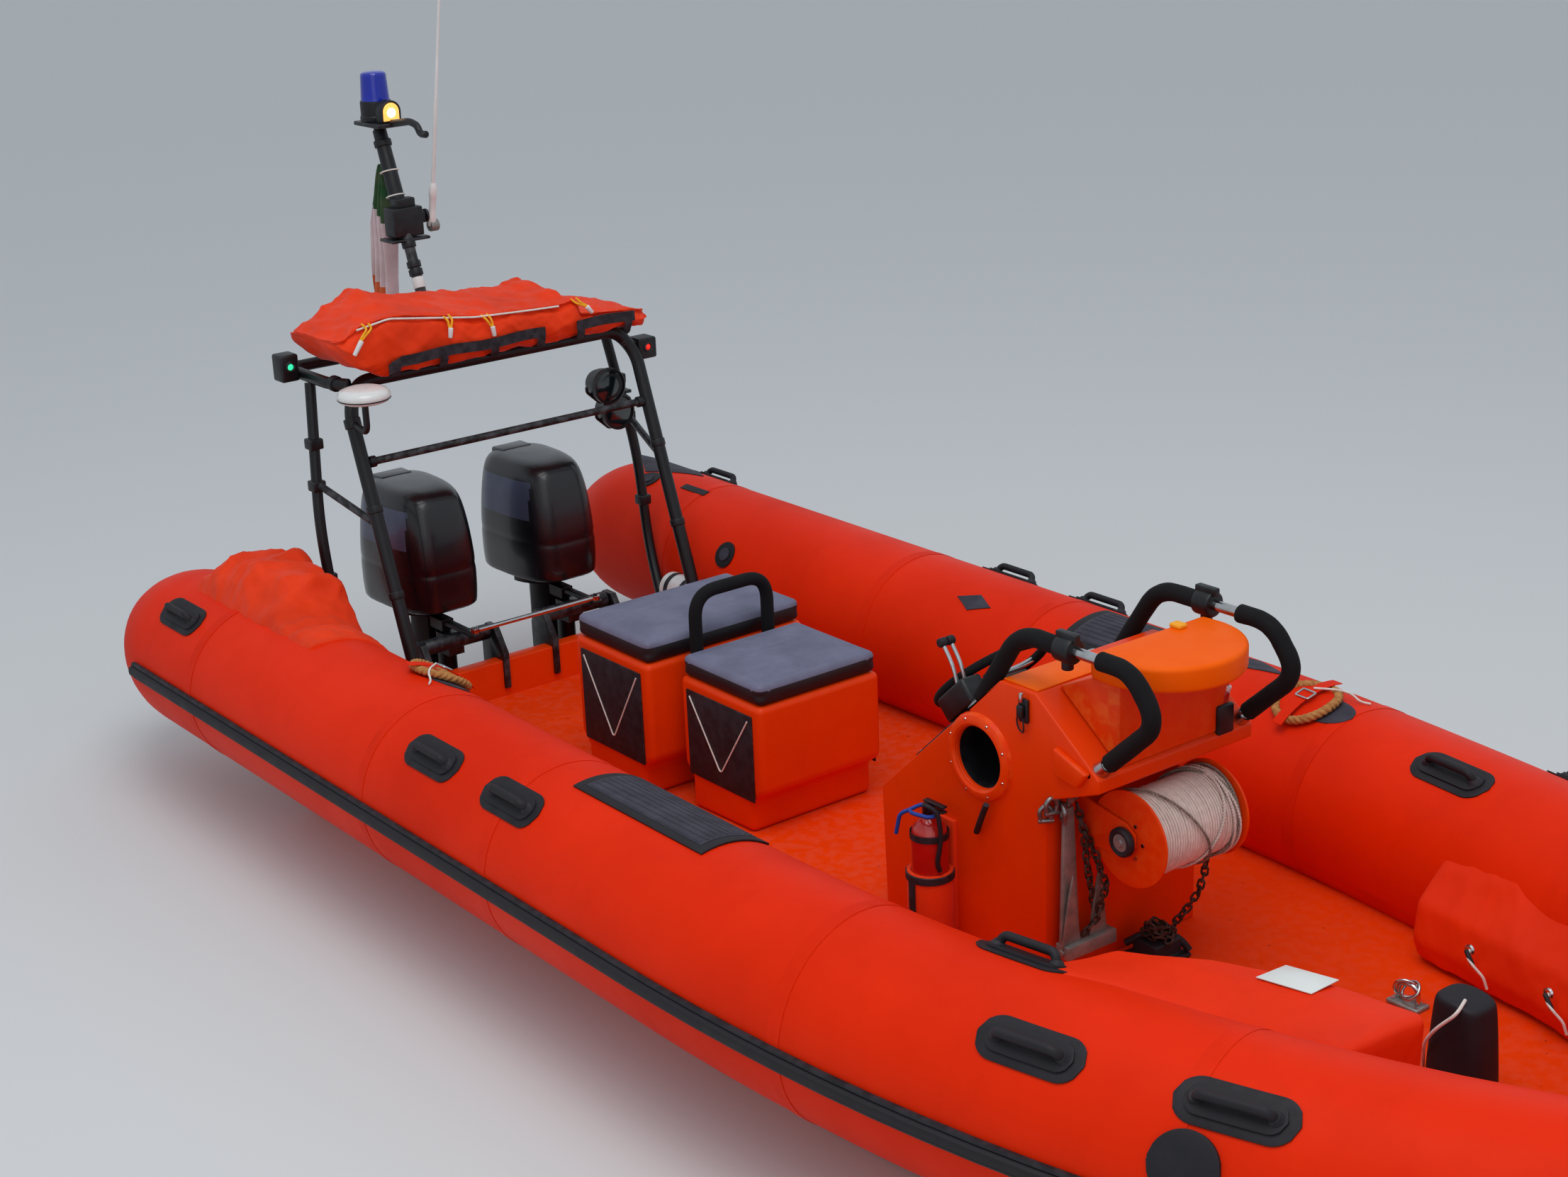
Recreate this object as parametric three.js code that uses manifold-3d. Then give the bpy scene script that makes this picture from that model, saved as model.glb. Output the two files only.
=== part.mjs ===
// Inshore rescue boat: a rigid inflatable with a deep-V hull, console, gantry, mast and twin outboards.
// Millimetres. X points to the bow, Y to port, Z up; the origin lies on the centreline at the waterline.
import * as THREE from "three";
import { mergeVertices } from "three/addons/utils/BufferGeometryUtils.js";
import Module from "manifold-3d";

// Running fit between pieces that touch
const GAP = 0.3;

// Buoyancy tubes: a straight run, a long bow arc, a short straight run and the nose arc
const TUBE_RADIUS = 300;
const TUBE_Y = 1025;
const TUBE_Z = 495;
const STERN_END = -3500;
const CONE_LENGTH = 430;
const CONE_TIP_RADIUS = 110;
const BOW_START = 100;
const BOW_RADIUS = 7200;
const BOW_ANGLE = THREE.MathUtils.degToRad(17.8);
const NOSE_RADIUS = 370;
const SHEER_START = 800;
const SHEER_RATE = 2.1e-5;
const TUBE_SIDES = 20;

// Rigid hull and deck
const TRANSOM_X = -2520;
const TRANSOM_THICK = 60;
const TRANSOM_TOP = 380;
const DECK_Z = 306;
const DECK_SLOPE = 0.028;
const DECK_THICK = 40;
const DECK_FRONT = 3450;

// Console
const CONSOLE_HALF = 300;
const HATCH_X = 440;
const HATCH_Z = 930;
const HATCH_RADIUS = 92;
const HATCH_DEPTH = 240;
const HATCH_RIM = 34;
const REEL_X = 880;
const REEL_Z = 783;
const REEL_HALF = 165;
const REEL_FLANGE = 138;
const WARP_RADIUS = 122;
const DASH_ANGLE = Math.atan2(480, 520);

// Gantry
const FRAME_R = 25;
const GANTRY_HALF = 620;
const GANTRY_Z = 1530;
const RACK_HALF = 640;
const RACK_REAR_X = -2968;

// Engines
const ENGINE_Y = 270;
const TILT_X = -2545;
const TILT_Z = 480;
const STEER_X = -2620;
const PROP_Z = -450;
const PROP_RADIUS = 158;
const TILLER_X = -2395;
const TILT_TUBE_RADIUS = 16;
const KING_PIN_RADIUS = 19;
const CLAMP_INNER = 146;
const CLAMP_THICK = 24;
const CLAMP_LIP = 12;

// Mast
const MAST_Y = -30;
const MAST_FOOT = new THREE.Vector3(-2973.5, MAST_Y, 1610);
const MAST_LEAN = THREE.MathUtils.degToRad(19.6);
const MAST_LENGTH = 775;
const MAST_PIN_RADIUS = 9;

const wasm = await Module();
wasm.setup();

// Materials
const finish = (color, roughness, metalness = 0) =>
  new THREE.MeshStandardMaterial({ color, roughness, metalness });
const ORANGE_TUBE = finish(0xe03404, 0.55);
const ORANGE_GRP = finish(0xf26a0a, 0.35);
const ORANGE_FABRIC = finish(0xe8481a, 0.8);
const BLACK_RUBBER = finish(0x2c2830, 0.8);
const BLACK_PAINT = finish(0x18191c, 0.45);
const GREY_CUSHION = finish(0x55555f, 0.7);
const GREY_RUBBER = finish(0x46414f, 0.85);
const STEEL = finish(0xb8bcc0, 0.3, 1);
const GALVANISED = finish(0x8f8f8c, 0.6, 0.8);
const DARK_METAL = finish(0x2e2a28, 0.6, 0.6);
const RED_PAINT = finish(0xc01810, 0.3);
const WHITE = finish(0xe8e8e6, 0.4);
const BLUE_LENS = finish(0x1030c0, 0.2);
const AMBER_LENS = finish(0xf0a030, 0.3);
const ROPE = finish(0xbcb0a8, 0.9);
const FLAG_GREEN = finish(0x20804a, 0.8);

// Geometry helpers

function solid(geometry) {
  const plain = geometry.clone();
  plain.deleteAttribute("normal");
  plain.deleteAttribute("uv");
  const merged = mergeVertices(plain, 1e-3);
  return new wasm.Manifold(
    new wasm.Mesh({
      numProp: 3,
      vertProperties: merged.attributes.position.array,
      triVerts: new Uint32Array(merged.index.array),
    }),
  );
}

function meshOf(name, shape, material) {
  const { vertProperties, triVerts, numProp, numVert } = shape.getMesh();
  const position = new Float32Array(numVert * 3);
  for (let i = 0; i < numVert; i++) {
    position.set(vertProperties.subarray(i * numProp, i * numProp + 3), i * 3);
  }
  const geometry = new THREE.BufferGeometry();
  geometry.setAttribute("position", new THREE.BufferAttribute(position, 3));
  geometry.setIndex(new THREE.BufferAttribute(triVerts, 1));
  geometry.computeVertexNormals();
  const mesh = new THREE.Mesh(geometry, material);
  mesh.name = name;
  return mesh;
}

const at = (x, y, z) => new THREE.Vector3(x, y, z);

// Box between two corners
function block(x0, x1, y0, y1, z0, z1) {
  const geometry = new THREE.BoxGeometry(x1 - x0, y1 - y0, z1 - z0);
  geometry.translate((x0 + x1) / 2, (y0 + y1) / 2, (z0 + z1) / 2);
  return solid(geometry);
}

// Cylinder or cone between two points
function rod(from, to, radius, sides = 16, endRadius = radius) {
  const span = to.clone().sub(from);
  const geometry = new THREE.CylinderGeometry(endRadius, radius, span.length(), sides);
  const turn = new THREE.Quaternion().setFromUnitVectors(at(0, 1, 0), span.clone().normalize());
  geometry.applyQuaternion(turn);
  geometry.translate(...from.clone().add(to).multiplyScalar(0.5).toArray());
  return solid(geometry);
}

// Path of straight runs with rounded corners
function roundedPath(points, radius) {
  const path = new THREE.CurvePath();
  let from = points[0];
  for (let i = 1; i < points.length - 1; i++) {
    const corner = points[i];
    const shortest = Math.min(corner.distanceTo(points[i - 1]), corner.distanceTo(points[i + 1]));
    const reach = Math.min(radius, shortest / 2.1);
    const start = corner.clone().add(points[i - 1].clone().sub(corner).setLength(reach));
    const end = corner.clone().add(points[i + 1].clone().sub(corner).setLength(reach));
    path.add(new THREE.LineCurve3(from, start));
    path.add(new THREE.QuadraticBezierCurve3(start, corner, end));
    from = end;
  }
  path.add(new THREE.LineCurve3(from, points[points.length - 1]));
  return path;
}

// Round tube along a path
function pipe(path, radius, steps, sides) {
  const outline = new THREE.Shape();
  outline.absarc(0, 0, radius, 0, 2 * Math.PI, false);
  const geometry = new THREE.ExtrudeGeometry(outline, {
    steps,
    extrudePath: path,
    bevelEnabled: false,
    curveSegments: sides / 2,
  });
  return solid(geometry);
}

// Flat outline of [a, b] points as a shape
const outlineOf = (points) => new THREE.Shape(points.map(([a, b]) => new THREE.Vector2(a, b)));

// Side profile of [x, z] points, extruded across the boat between two y values
function acrossY(shape, y0, y1, curveSegments = 12) {
  const geometry = new THREE.ExtrudeGeometry(shape, { depth: y1 - y0, bevelEnabled: false, curveSegments });
  geometry.rotateX(Math.PI / 2);
  geometry.translate(0, y1, 0);
  return solid(geometry);
}

// Plan outline of [x, y] points, extruded up between two z values
function upZ(shape, z0, z1, curveSegments = 12) {
  const geometry = new THREE.ExtrudeGeometry(shape, { depth: z1 - z0, bevelEnabled: false, curveSegments });
  geometry.translate(0, 0, z0);
  return solid(geometry);
}

// Section of [y, z] points, extruded fore and aft between two x values
function alongX(shape, x0, x1, curveSegments = 12) {
  const geometry = new THREE.ExtrudeGeometry(shape, { depth: x1 - x0, bevelEnabled: false, curveSegments });
  geometry.rotateY(Math.PI / 2);
  geometry.rotateX(Math.PI / 2);
  geometry.translate(x0, 0, 0);
  return solid(geometry);
}

// Closed skin through rings of equal point counts, with a fan on each end
function loft(rings) {
  const count = rings[0].length;
  const position = [];
  for (const ring of rings) {
    for (const p of ring) {
      position.push(p.x, p.y, p.z);
    }
  }
  const index = [];
  for (let k = 0; k + 1 < rings.length; k++) {
    for (let i = 0; i < count; i++) {
      const a = k * count + i;
      const b = k * count + ((i + 1) % count);
      index.push(a, b, a + count, b, b + count, a + count);
    }
  }
  const last = (rings.length - 1) * count;
  for (let i = 1; i + 1 < count; i++) {
    index.push(0, i + 1, i);
    index.push(last, last + i, last + i + 1);
  }
  const geometry = new THREE.BufferGeometry();
  geometry.setAttribute("position", new THREE.Float32BufferAttribute(position, 3));
  geometry.setIndex(index);
  const shape = solid(geometry);
  if (shape.volume() > 0) {
    return shape;
  }
  // Rings that run the other way round need their faces turned
  geometry.setIndex(index.reverse());
  return solid(geometry);
}

const mirrored = (shape) => shape.mirror([0, 1, 0]);

// Buoyancy tubes

const sheer = (x) => TUBE_Z + SHEER_RATE * Math.max(0, x - SHEER_START) ** 2;
const bowArcEnd = {
  x: BOW_START + BOW_RADIUS * Math.sin(BOW_ANGLE),
  y: TUBE_Y - BOW_RADIUS * (1 - Math.cos(BOW_ANGLE)),
};
const noseY = NOSE_RADIUS * Math.cos(BOW_ANGLE);
const noseX = bowArcEnd.x + (bowArcEnd.y - noseY) / Math.tan(BOW_ANGLE);
const noseCentreX = noseX - NOSE_RADIUS * Math.sin(BOW_ANGLE);

// Stations of the port tube's axis: x, y, heading and radius
function tubeStations() {
  const stations = [
    { x: STERN_END, y: TUBE_Y, heading: 0, radius: CONE_TIP_RADIUS },
    { x: STERN_END + 60, y: TUBE_Y, heading: 0, radius: CONE_TIP_RADIUS + 60 },
    { x: STERN_END + CONE_LENGTH, y: TUBE_Y, heading: 0, radius: TUBE_RADIUS },
    { x: BOW_START - 400, y: TUBE_Y, heading: 0, radius: TUBE_RADIUS },
  ];
  const bowSteps = 5;
  for (let i = 0; i <= bowSteps; i++) {
    const heading = (BOW_ANGLE * i) / bowSteps;
    stations.push({
      x: BOW_START + BOW_RADIUS * Math.sin(heading),
      y: TUBE_Y - BOW_RADIUS * (1 - Math.cos(heading)),
      heading,
      radius: TUBE_RADIUS,
    });
  }
  const noseSteps = 5;
  for (let i = 0; i <= noseSteps; i++) {
    const heading = BOW_ANGLE + ((Math.PI / 2 - BOW_ANGLE) * i) / noseSteps;
    stations.push({
      x: noseCentreX + NOSE_RADIUS * Math.sin(heading),
      y: Math.max(GAP / 2, NOSE_RADIUS * Math.cos(heading)),
      heading,
      radius: TUBE_RADIUS,
    });
  }
  return stations;
}

// Point at a station, at an angle up from the outboard side and a distance from the axis
function aroundTube(station, angle, distance) {
  const out = distance * Math.cos(angle);
  return at(
    station.x + out * Math.sin(station.heading),
    station.y + out * Math.cos(station.heading),
    sheer(station.x) + distance * Math.sin(angle),
  );
}

// Port tube of the given extra thickness
function tubeBody(extra) {
  return loft(
    tubeStations().map((station) =>
      Array.from({ length: TUBE_SIDES }, (_, i) =>
        aroundTube(station, (-2 * Math.PI * i) / TUBE_SIDES, station.radius + extra),
      ),
    ),
  );
}

// Axis station of the port tube at x, for what is fixed to it
function stationAt(x) {
  const heading = Math.asin(Math.min(Math.max(0, x - BOW_START) / BOW_RADIUS, Math.sin(BOW_ANGLE)));
  const past = Math.max(0, x - bowArcEnd.x);
  const y = TUBE_Y - BOW_RADIUS * (1 - Math.cos(heading)) - past * Math.tan(BOW_ANGLE);
  return { x, y, heading, radius: TUBE_RADIUS };
}

// Grab handle: a low loop standing on the tube, along its axis
function handle(x, angleDegrees) {
  const angle = THREE.MathUtils.degToRad(angleDegrees);
  const half = 115;
  const sunk = TUBE_RADIUS - 12;
  const top = TUBE_RADIUS + 38;
  const points = [
    aroundTube(stationAt(x - half), angle, sunk),
    aroundTube(stationAt(x - half), angle, top),
    aroundTube(stationAt(x + half), angle, top),
    aroundTube(stationAt(x + half), angle, sunk),
  ];
  return pipe(roundedPath(points, 45), 12, 9, 6);
}

// Handle places: x, degrees up from the outboard side
const HANDLES = [
  [1200, 112],
  [1450, 52],
  [1970, 52],
  [-600, 52],
  [-1050, 52],
  [-2850, 52],
];

const portTubeCut = tubeBody(GAP);
const starboardTubeCut = mirrored(portTubeCut);
const clearOfTubes = (shape) => shape.subtract(portTubeCut).subtract(starboardTubeCut);

function sponson() {
  let shape = tubeBody(0);
  for (const [x, angle] of HANDLES) {
    shape = shape.add(handle(x, angle));
  }
  return shape;
}

// Rubber strake along the outboard side of a tube
function rubbingStrake() {
  const inner = TUBE_RADIUS + GAP;
  const outer = TUBE_RADIUS + 30;
  const half = 32;
  const corners = [
    [inner, -half],
    [inner, half],
    [outer, half / 2],
    [outer, -half / 2],
  ];
  const stations = tubeStations().filter((station) => station.x > STERN_END + CONE_LENGTH - 1);
  return loft(
    stations.map((station) =>
      corners.map(([out, up]) => {
        const p = aroundTube(station, 0, out);
        p.z += up;
        return p;
      }),
    ),
  );
}

// Strip lying on a tube between two angles
function tubePad(x0, x1, fromDegrees, toDegrees, thick) {
  const steps = 4;
  const rings = [x0, x1].map((x) => {
    const station = stationAt(x);
    const ring = [];
    for (let i = 0; i <= steps; i++) {
      const angle = THREE.MathUtils.degToRad(fromDegrees + ((toDegrees - fromDegrees) * i) / steps);
      ring.push(aroundTube(station, angle, TUBE_RADIUS + thick));
    }
    for (let i = steps; i >= 0; i--) {
      const angle = THREE.MathUtils.degToRad(fromDegrees + ((toDegrees - fromDegrees) * i) / steps);
      ring.push(aroundTube(station, angle, TUBE_RADIUS - 20));
    }
    return ring.reverse();
  });
  return clearOfTubes(loft(rings));
}

// Hull, deck and transom

const deckZ = (x) => DECK_Z + DECK_SLOPE * x;
const hullAft = TRANSOM_X + TRANSOM_THICK + GAP;

// Half sections of the rigid hull: x, keel z, chine y, chine z
const HULL_SECTIONS = [
  [hullAft, -380, 930, -10],
  [300, -380, 930, 0],
  [1300, -365, 850, 40],
  [2200, -270, 640, 120],
  [3000, -60, 340, 235],
  [3500, 190, 90, 325],
];

function hull() {
  const rings = HULL_SECTIONS.map(([x, keel, chineY, chineZ]) => {
    const top = deckZ(x) - DECK_THICK - GAP;
    const edge = Math.max(120, x > noseX ? NOSE_RADIUS - 150 : stationAt(x).y - 20);
    const side = [
      [0, keel],
      [chineY, chineZ],
      [edge, top - 30],
      [edge - 5, top],
    ];
    const port = side.slice(1).map(([y, z]) => at(x, -y, z));
    return [at(x, 0, keel), ...side.slice(1).map(([y, z]) => at(x, y, z)), ...port.reverse()];
  });
  return clearOfTubes(loft(rings));
}

function deck() {
  const xs = [hullAft, BOW_START, 1200, bowArcEnd.x, noseX, DECK_FRONT];
  const rings = xs.map((x) => {
    const half = x > noseX ? 120 : stationAt(x).y - 20;
    const top = deckZ(x);
    const under = top - DECK_THICK;
    return [at(x, -half, under), at(x, half, under), at(x, half, top), at(x, -half, top)];
  });
  return clearOfTubes(loft(rings));
}

function transom() {
  const outline = outlineOf([
    [0, -380],
    [930, -10],
    [985, 150],
    [985, 300],
    [760, 300],
    [690, TRANSOM_TOP],
    [-690, TRANSOM_TOP],
    [-760, 300],
    [-985, 300],
    [-985, 150],
    [-930, -10],
  ]);
  return clearOfTubes(alongX(outline, TRANSOM_X, TRANSOM_X + TRANSOM_THICK));
}

// All below the deck's surface, to cut what stands on it
const belowDeck = acrossY(
  outlineOf([
    [hullAft - 200, -600],
    [DECK_FRONT, -600],
    [DECK_FRONT, deckZ(DECK_FRONT) + GAP],
    [hullAft - 200, deckZ(hullAft - 200) + GAP],
  ]),
  -1300,
  1300,
);
const onDeck = (shape) => shape.subtract(belowDeck);

// Console

// Side profile, grown outwards by a running fit where it cuts other pieces
function consoleProfile(grow) {
  return outlineOf([
    [20 - grow, 0],
    [-grow, 700 + grow / 2],
    [520 - grow / 2, 1180 + grow],
    [660 + grow / 2, 1180 + grow],
    [900 + grow, 1000 + grow],
    [900 + grow, 960 - grow],
    [700 + grow, 880 - grow],
    [690 + grow, 0],
  ]);
}

const consoleCut = acrossY(consoleProfile(GAP), -CONSOLE_HALF - GAP, CONSOLE_HALF + GAP);

function consoleShell() {
  const body = acrossY(consoleProfile(0), -CONSOLE_HALF, CONSOLE_HALF);
  const ring = rod(
    at(HATCH_X, -CONSOLE_HALF - 12, HATCH_Z),
    at(HATCH_X, -CONSOLE_HALF + 20, HATCH_Z),
    HATCH_RADIUS + HATCH_RIM,
    28,
  );
  const hole = rod(
    at(HATCH_X, -CONSOLE_HALF - 50, HATCH_Z),
    at(HATCH_X, -CONSOLE_HALF + HATCH_DEPTH, HATCH_Z),
    HATCH_RADIUS,
    28,
  );
  return onDeck(body.add(ring).subtract(hole));
}

function consoleHood() {
  const plan = new THREE.Shape();
  plan.moveTo(560, -215);
  plan.lineTo(850, -225);
  plan.absellipse(850, 0, 220, 225, -Math.PI / 2, Math.PI / 2, false);
  plan.lineTo(560, 215);
  plan.closePath();
  const lid = upZ(plan, 1235, 1310);
  const neck = block(580, 895, -190, 190, 1004, 1240);
  return lid.add(neck).subtract(consoleCut);
}

// Instrument panel on the sloped aft face, with the wheel's boss; local x runs up the slope
const dashCentre = at(245, 0, 926);
const dashNormal = at(-Math.sin(DASH_ANGLE), 0, Math.cos(DASH_ANGLE));
const dashUp = at(Math.cos(DASH_ANGLE), 0, Math.sin(DASH_ANGLE));
const WHEEL_STAND = 130;

function slopedBlock(along, y, length, width, from, to) {
  const geometry = new THREE.BoxGeometry(length, width, to - from);
  geometry.translate(along, y, (from + to) / 2);
  geometry.rotateY(-DASH_ANGLE);
  geometry.translate(dashCentre.x, dashCentre.y, dashCentre.z);
  return solid(geometry);
}

function instrumentDash() {
  const panel = slopedBlock(20, 0, 480, 460, -5, 28);
  const bossTop = dashCentre.clone().addScaledVector(dashNormal, WHEEL_STAND - 44 - GAP);
  const boss = rod(dashCentre, bossTop, 38, 14);
  return panel.add(boss).subtract(consoleCut);
}

const wheelCentre = dashCentre.clone().addScaledVector(dashNormal, WHEEL_STAND);

function steeringWheel() {
  const rim = new THREE.TorusGeometry(175, 15, 7, 28);
  const hub = new THREE.CylinderGeometry(34, 34, 44, 16);
  hub.rotateX(Math.PI / 2);
  hub.translate(0, 0, -22);
  let wheel = solid(rim).add(solid(hub));
  for (let i = 0; i < 3; i++) {
    const spoke = new THREE.BoxGeometry(165, 22, 12);
    spoke.translate(92, 0, -4);
    spoke.rotateZ(Math.PI / 2 + (2 * Math.PI * i) / 3);
    wheel = wheel.add(solid(spoke));
  }
  return wheel.rotate([0, -THREE.MathUtils.radToDeg(DASH_ANGLE), 0]).translate(wheelCentre.toArray());
}

function throttleControl() {
  const box = slopedBlock(60, -185, 150, 80, 28 + GAP, 110);
  const lever = slopedBlock(110, -185, 26, 20, 105, 230);
  const knob = slopedBlock(110, -185, 34, 60, 215, 245);
  return box.add(lever).add(knob);
}

// Padded grab rail at the side of the console: [x, z] corners at the rail's y
const RAIL_Y = 268;
const RAIL = [
  [395, 1040],
  [570, 1325],
  [985, 1325],
  [1085, 1205],
  [850, 990],
];

function grabRail(side) {
  const points = RAIL.map(([x, z]) => at(x, side * RAIL_Y, z));
  const clamp = rod(at(735, side * RAIL_Y, 1325), at(790, side * RAIL_Y, 1325), 40, 12);
  return pipe(roundedPath(points, 75), 27, 26, 8).add(clamp).subtract(consoleCut);
}

// Reel of anchor warp, its side plates and its axle
function reelBracket(side) {
  const y0 = side * REEL_HALF + (side > 0 ? GAP + 6 : -GAP - 12);
  const plate = outlineOf([
    [690, REEL_Z - 60],
    [880, REEL_Z - 45],
    [915, REEL_Z - 10],
    [915, REEL_Z + 25],
    [880, REEL_Z + 50],
    [690, REEL_Z + 85],
  ]);
  const pin = rod(
    at(REEL_X, side * (REEL_HALF - 60), REEL_Z),
    at(REEL_X, side * (REEL_HALF + 24), REEL_Z),
    14,
    12,
  );
  const capFrom = at(REEL_X, side * (REEL_HALF + 12), REEL_Z);
  const capTo = at(REEL_X, side * (REEL_HALF + 30), REEL_Z);
  const cap = rod(capFrom, capTo, 34);
  return acrossY(plate, y0, y0 + 6).add(pin).add(cap).subtract(consoleCut);
}

function ropeReel() {
  const y = REEL_HALF;
  const centre = (along) => at(REEL_X, along, REEL_Z);
  const disc = (y0, y1, radius, sides) => rod(centre(y0), centre(y1), radius, sides);
  const wound = disc(-y + 5, y - 5, WARP_RADIUS, 24);
  const flanges = disc(-y, -y + 10, REEL_FLANGE, 28).add(disc(y - 10, y, REEL_FLANGE, 28));
  const bore = disc(-y - 5, y + 5, 16, 12);
  return wound.add(flanges).subtract(bore);
}

// Stock of the anchor up the front of the console, with its flukes
function anchor() {
  const shank = block(722, 734, -262, -222, 420, 850);
  const crown = block(712, 760, -275, -90, 405, 445);
  const fluke = acrossY(
    outlineOf([
      [712, 430],
      [760, 430],
      [742, 640],
      [724, 640],
    ]),
    -175,
    -115,
  );
  const clip = block(690, 730, -255, -230, 600, 640);
  return shank.add(crown).add(fluke).add(clip).subtract(consoleCut);
}

// Chain from the end of the warp, under the reel, to the chock on the deck
const CHAIN_TOP = at(REEL_X, 120, REEL_Z - WARP_RADIUS - GAP);
const CHOCK_TOP = 392;

function anchorChain() {
  const foot = at(830, 60, CHOCK_TOP + GAP);
  const points = [CHAIN_TOP, at(REEL_X, 120, 540), foot.clone().setZ(480), foot];
  return pipe(roundedPath(points, 60), 13, 10, 6);
}

function anchorChock() {
  const body = block(735, 870, -40, 105, 300, 345).add(block(755, 850, -20, 85, 340, CHOCK_TOP));
  return onDeck(body);
}

// Fire extinguisher in its holder beside the console
const EXTINGUISHER = { x: 295, y: -372, radius: 56 };

function extinguisher() {
  const { x, y, radius } = EXTINGUISHER;
  const profile = [
    [0, 0],
    [radius, 0],
    [radius, 230],
    [radius * 0.55, 275],
    [20, 290],
    [20, 330],
    [0, 330],
  ].map(([r, h]) => new THREE.Vector2(r, h));
  const bottle = new THREE.LatheGeometry(profile, 20);
  bottle.rotateX(Math.PI / 2);
  bottle.translate(x, y, 440);
  const lever = block(x - 15, x + 70, y - 12, y + 12, 752, 772);
  return solid(bottle).add(lever);
}

function extinguisherHolder() {
  const { x, y, radius } = EXTINGUISHER;
  const cup = rod(at(x, y, 300), at(x, y, 560), radius + 12, 20);
  const bore = rod(at(x, y, 440 - GAP), at(x, y, 600), radius + GAP, 20);
  const back = block(x - 40, x + 40, y + radius, -CONSOLE_HALF - GAP, 330, 700);
  const cutBack = rod(at(x, y, 400), at(x, y, 800), radius + GAP, 20);
  return onDeck(cup.add(back).subtract(bore).subtract(cutBack));
}

// Seats: pod with a toe recess, and its cushion
function seatPod({ x0, x1, half, top }) {
  const side = outlineOf([
    [x0 + 40, 0],
    [x1 - 60, 0],
    [x1 - 60, deckZ(x1) + 110],
    [x1, deckZ(x1) + 150],
    [x1, top],
    [x0, top],
    [x0, deckZ(x0) + 150],
    [x0 + 40, deckZ(x0) + 110],
  ]);
  return onDeck(acrossY(side, -half, half));
}

function cushion({ x0, x1, half, top, thick }) {
  const edge = 26;
  const z0 = top + GAP;
  const side = outlineOf([
    [x0, z0],
    [x1, z0],
    [x1, z0 + thick - edge],
    [x1 - edge, z0 + thick],
    [x0 + edge, z0 + thick],
    [x0, z0 + thick - edge],
  ]);
  return acrossY(side, -half, half);
}

const CREW_SEAT = { x0: -1600, x1: -1165, half: 330, top: 765, thick: 85 };
const HELM_SEAT = { x0: -1095, x1: -660, half: 250, top: 735, thick: 80 };

function seatHoop() {
  const y = 150;
  const x = (CREW_SEAT.x1 + HELM_SEAT.x0) / 2;
  const points = [at(x, -y, 200), at(x, -y, 985), at(x, y, 985), at(x, y, 200)];
  return onDeck(pipe(roundedPath(points, 90), 22, 24, 8));
}

// Bow fittings
const POST_X = 1870;

function samsonPost() {
  const rings = [
    [200, 92, 80],
    [600, 78, 66],
    [650, 60, 48],
  ].map(([z, halfX, halfY]) => {
    const cut = 26;
    return [
      at(POST_X - halfX, -halfY + cut, z),
      at(POST_X - halfX + cut, -halfY, z),
      at(POST_X + halfX - cut, -halfY, z),
      at(POST_X + halfX, -halfY + cut, z),
      at(POST_X + halfX, halfY - cut, z),
      at(POST_X + halfX - cut, halfY, z),
      at(POST_X - halfX + cut, halfY, z),
      at(POST_X - halfX, halfY - cut, z),
    ];
  });
  return onDeck(loft(rings));
}

function deckRing() {
  const base = block(1420, 1520, 275, 325, 300, 360);
  const bolt = roundedPath(
    [at(1435, 300, 340), at(1435, 300, 415), at(1505, 300, 415), at(1505, 300, 340)],
    34,
  );
  return onDeck(base.add(pipe(bolt, 7, 12, 6)));
}

// Fabric pouch between a tube and the deck: x, inboard y and top z at each end
function bowPouch(side, x0, x1, inner0, inner1, top) {
  const ring = (x, inner, lift) => {
    const outer = stationAt(x).y;
    const high = top + lift;
    const points = [
      [outer - 100, 250],
      [inner + 30, 250],
      [inner, high - 130],
      [inner + 40, high - 20],
      [outer - 180, high + 40],
      [outer - 100, high],
    ];
    return points.map(([y, z]) => at(x, side * y, z));
  };
  const rings = [ring(x0, inner0, 0), ring(x1, inner1, sheer(x1) - sheer(x0))];
  if (side > 0) {
    rings.forEach((r) => r.reverse());
  }
  return clearOfTubes(onDeck(loft(rings)));
}

// Stern fittings

function quarterBag() {
  const rings = [
    [-2950, 0.4],
    [-2820, 1],
    [-2400, 0.9],
    [-2250, 0.4],
  ].map(([x, swell]) => {
    const high = 795 + 165 * swell;
    return [
      at(x, -1120, 700),
      at(x, -790, 700),
      at(x, -770, high - 70),
      at(x, -830, high),
      at(x, -1000, high - 10),
      at(x, -1120, 780),
    ].reverse();
  });
  return clearOfTubes(loft(rings));
}

// White canister strapped between the port tube and the gantry's leg
function canister() {
  const radius = 62;
  const y = TUBE_Y - TUBE_RADIUS - GAP - radius;
  return rod(at(-2455, y, TUBE_Z), at(-2240, y, TUBE_Z), radius, 16).subtract(hoopCut);
}

// Gantry

const hoopPoints = [
  at(-2110, -GANTRY_HALF, 200),
  at(-2538, -GANTRY_HALF, 1440),
  at(-2580, -GANTRY_HALF + 60, GANTRY_Z),
  at(-2580, GANTRY_HALF - 60, GANTRY_Z),
  at(-2538, GANTRY_HALF, 1440),
  at(-2110, GANTRY_HALF, 200),
];
const hoopBody = (extra) => pipe(roundedPath(hoopPoints, 110), FRAME_R + extra, 44, 10);
const hoopCut = hoopBody(GAP);
const crossBar = rod(at(-2475, -GANTRY_HALF, 1260), at(-2475, GANTRY_HALF, 1260), 14, 8);

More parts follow.
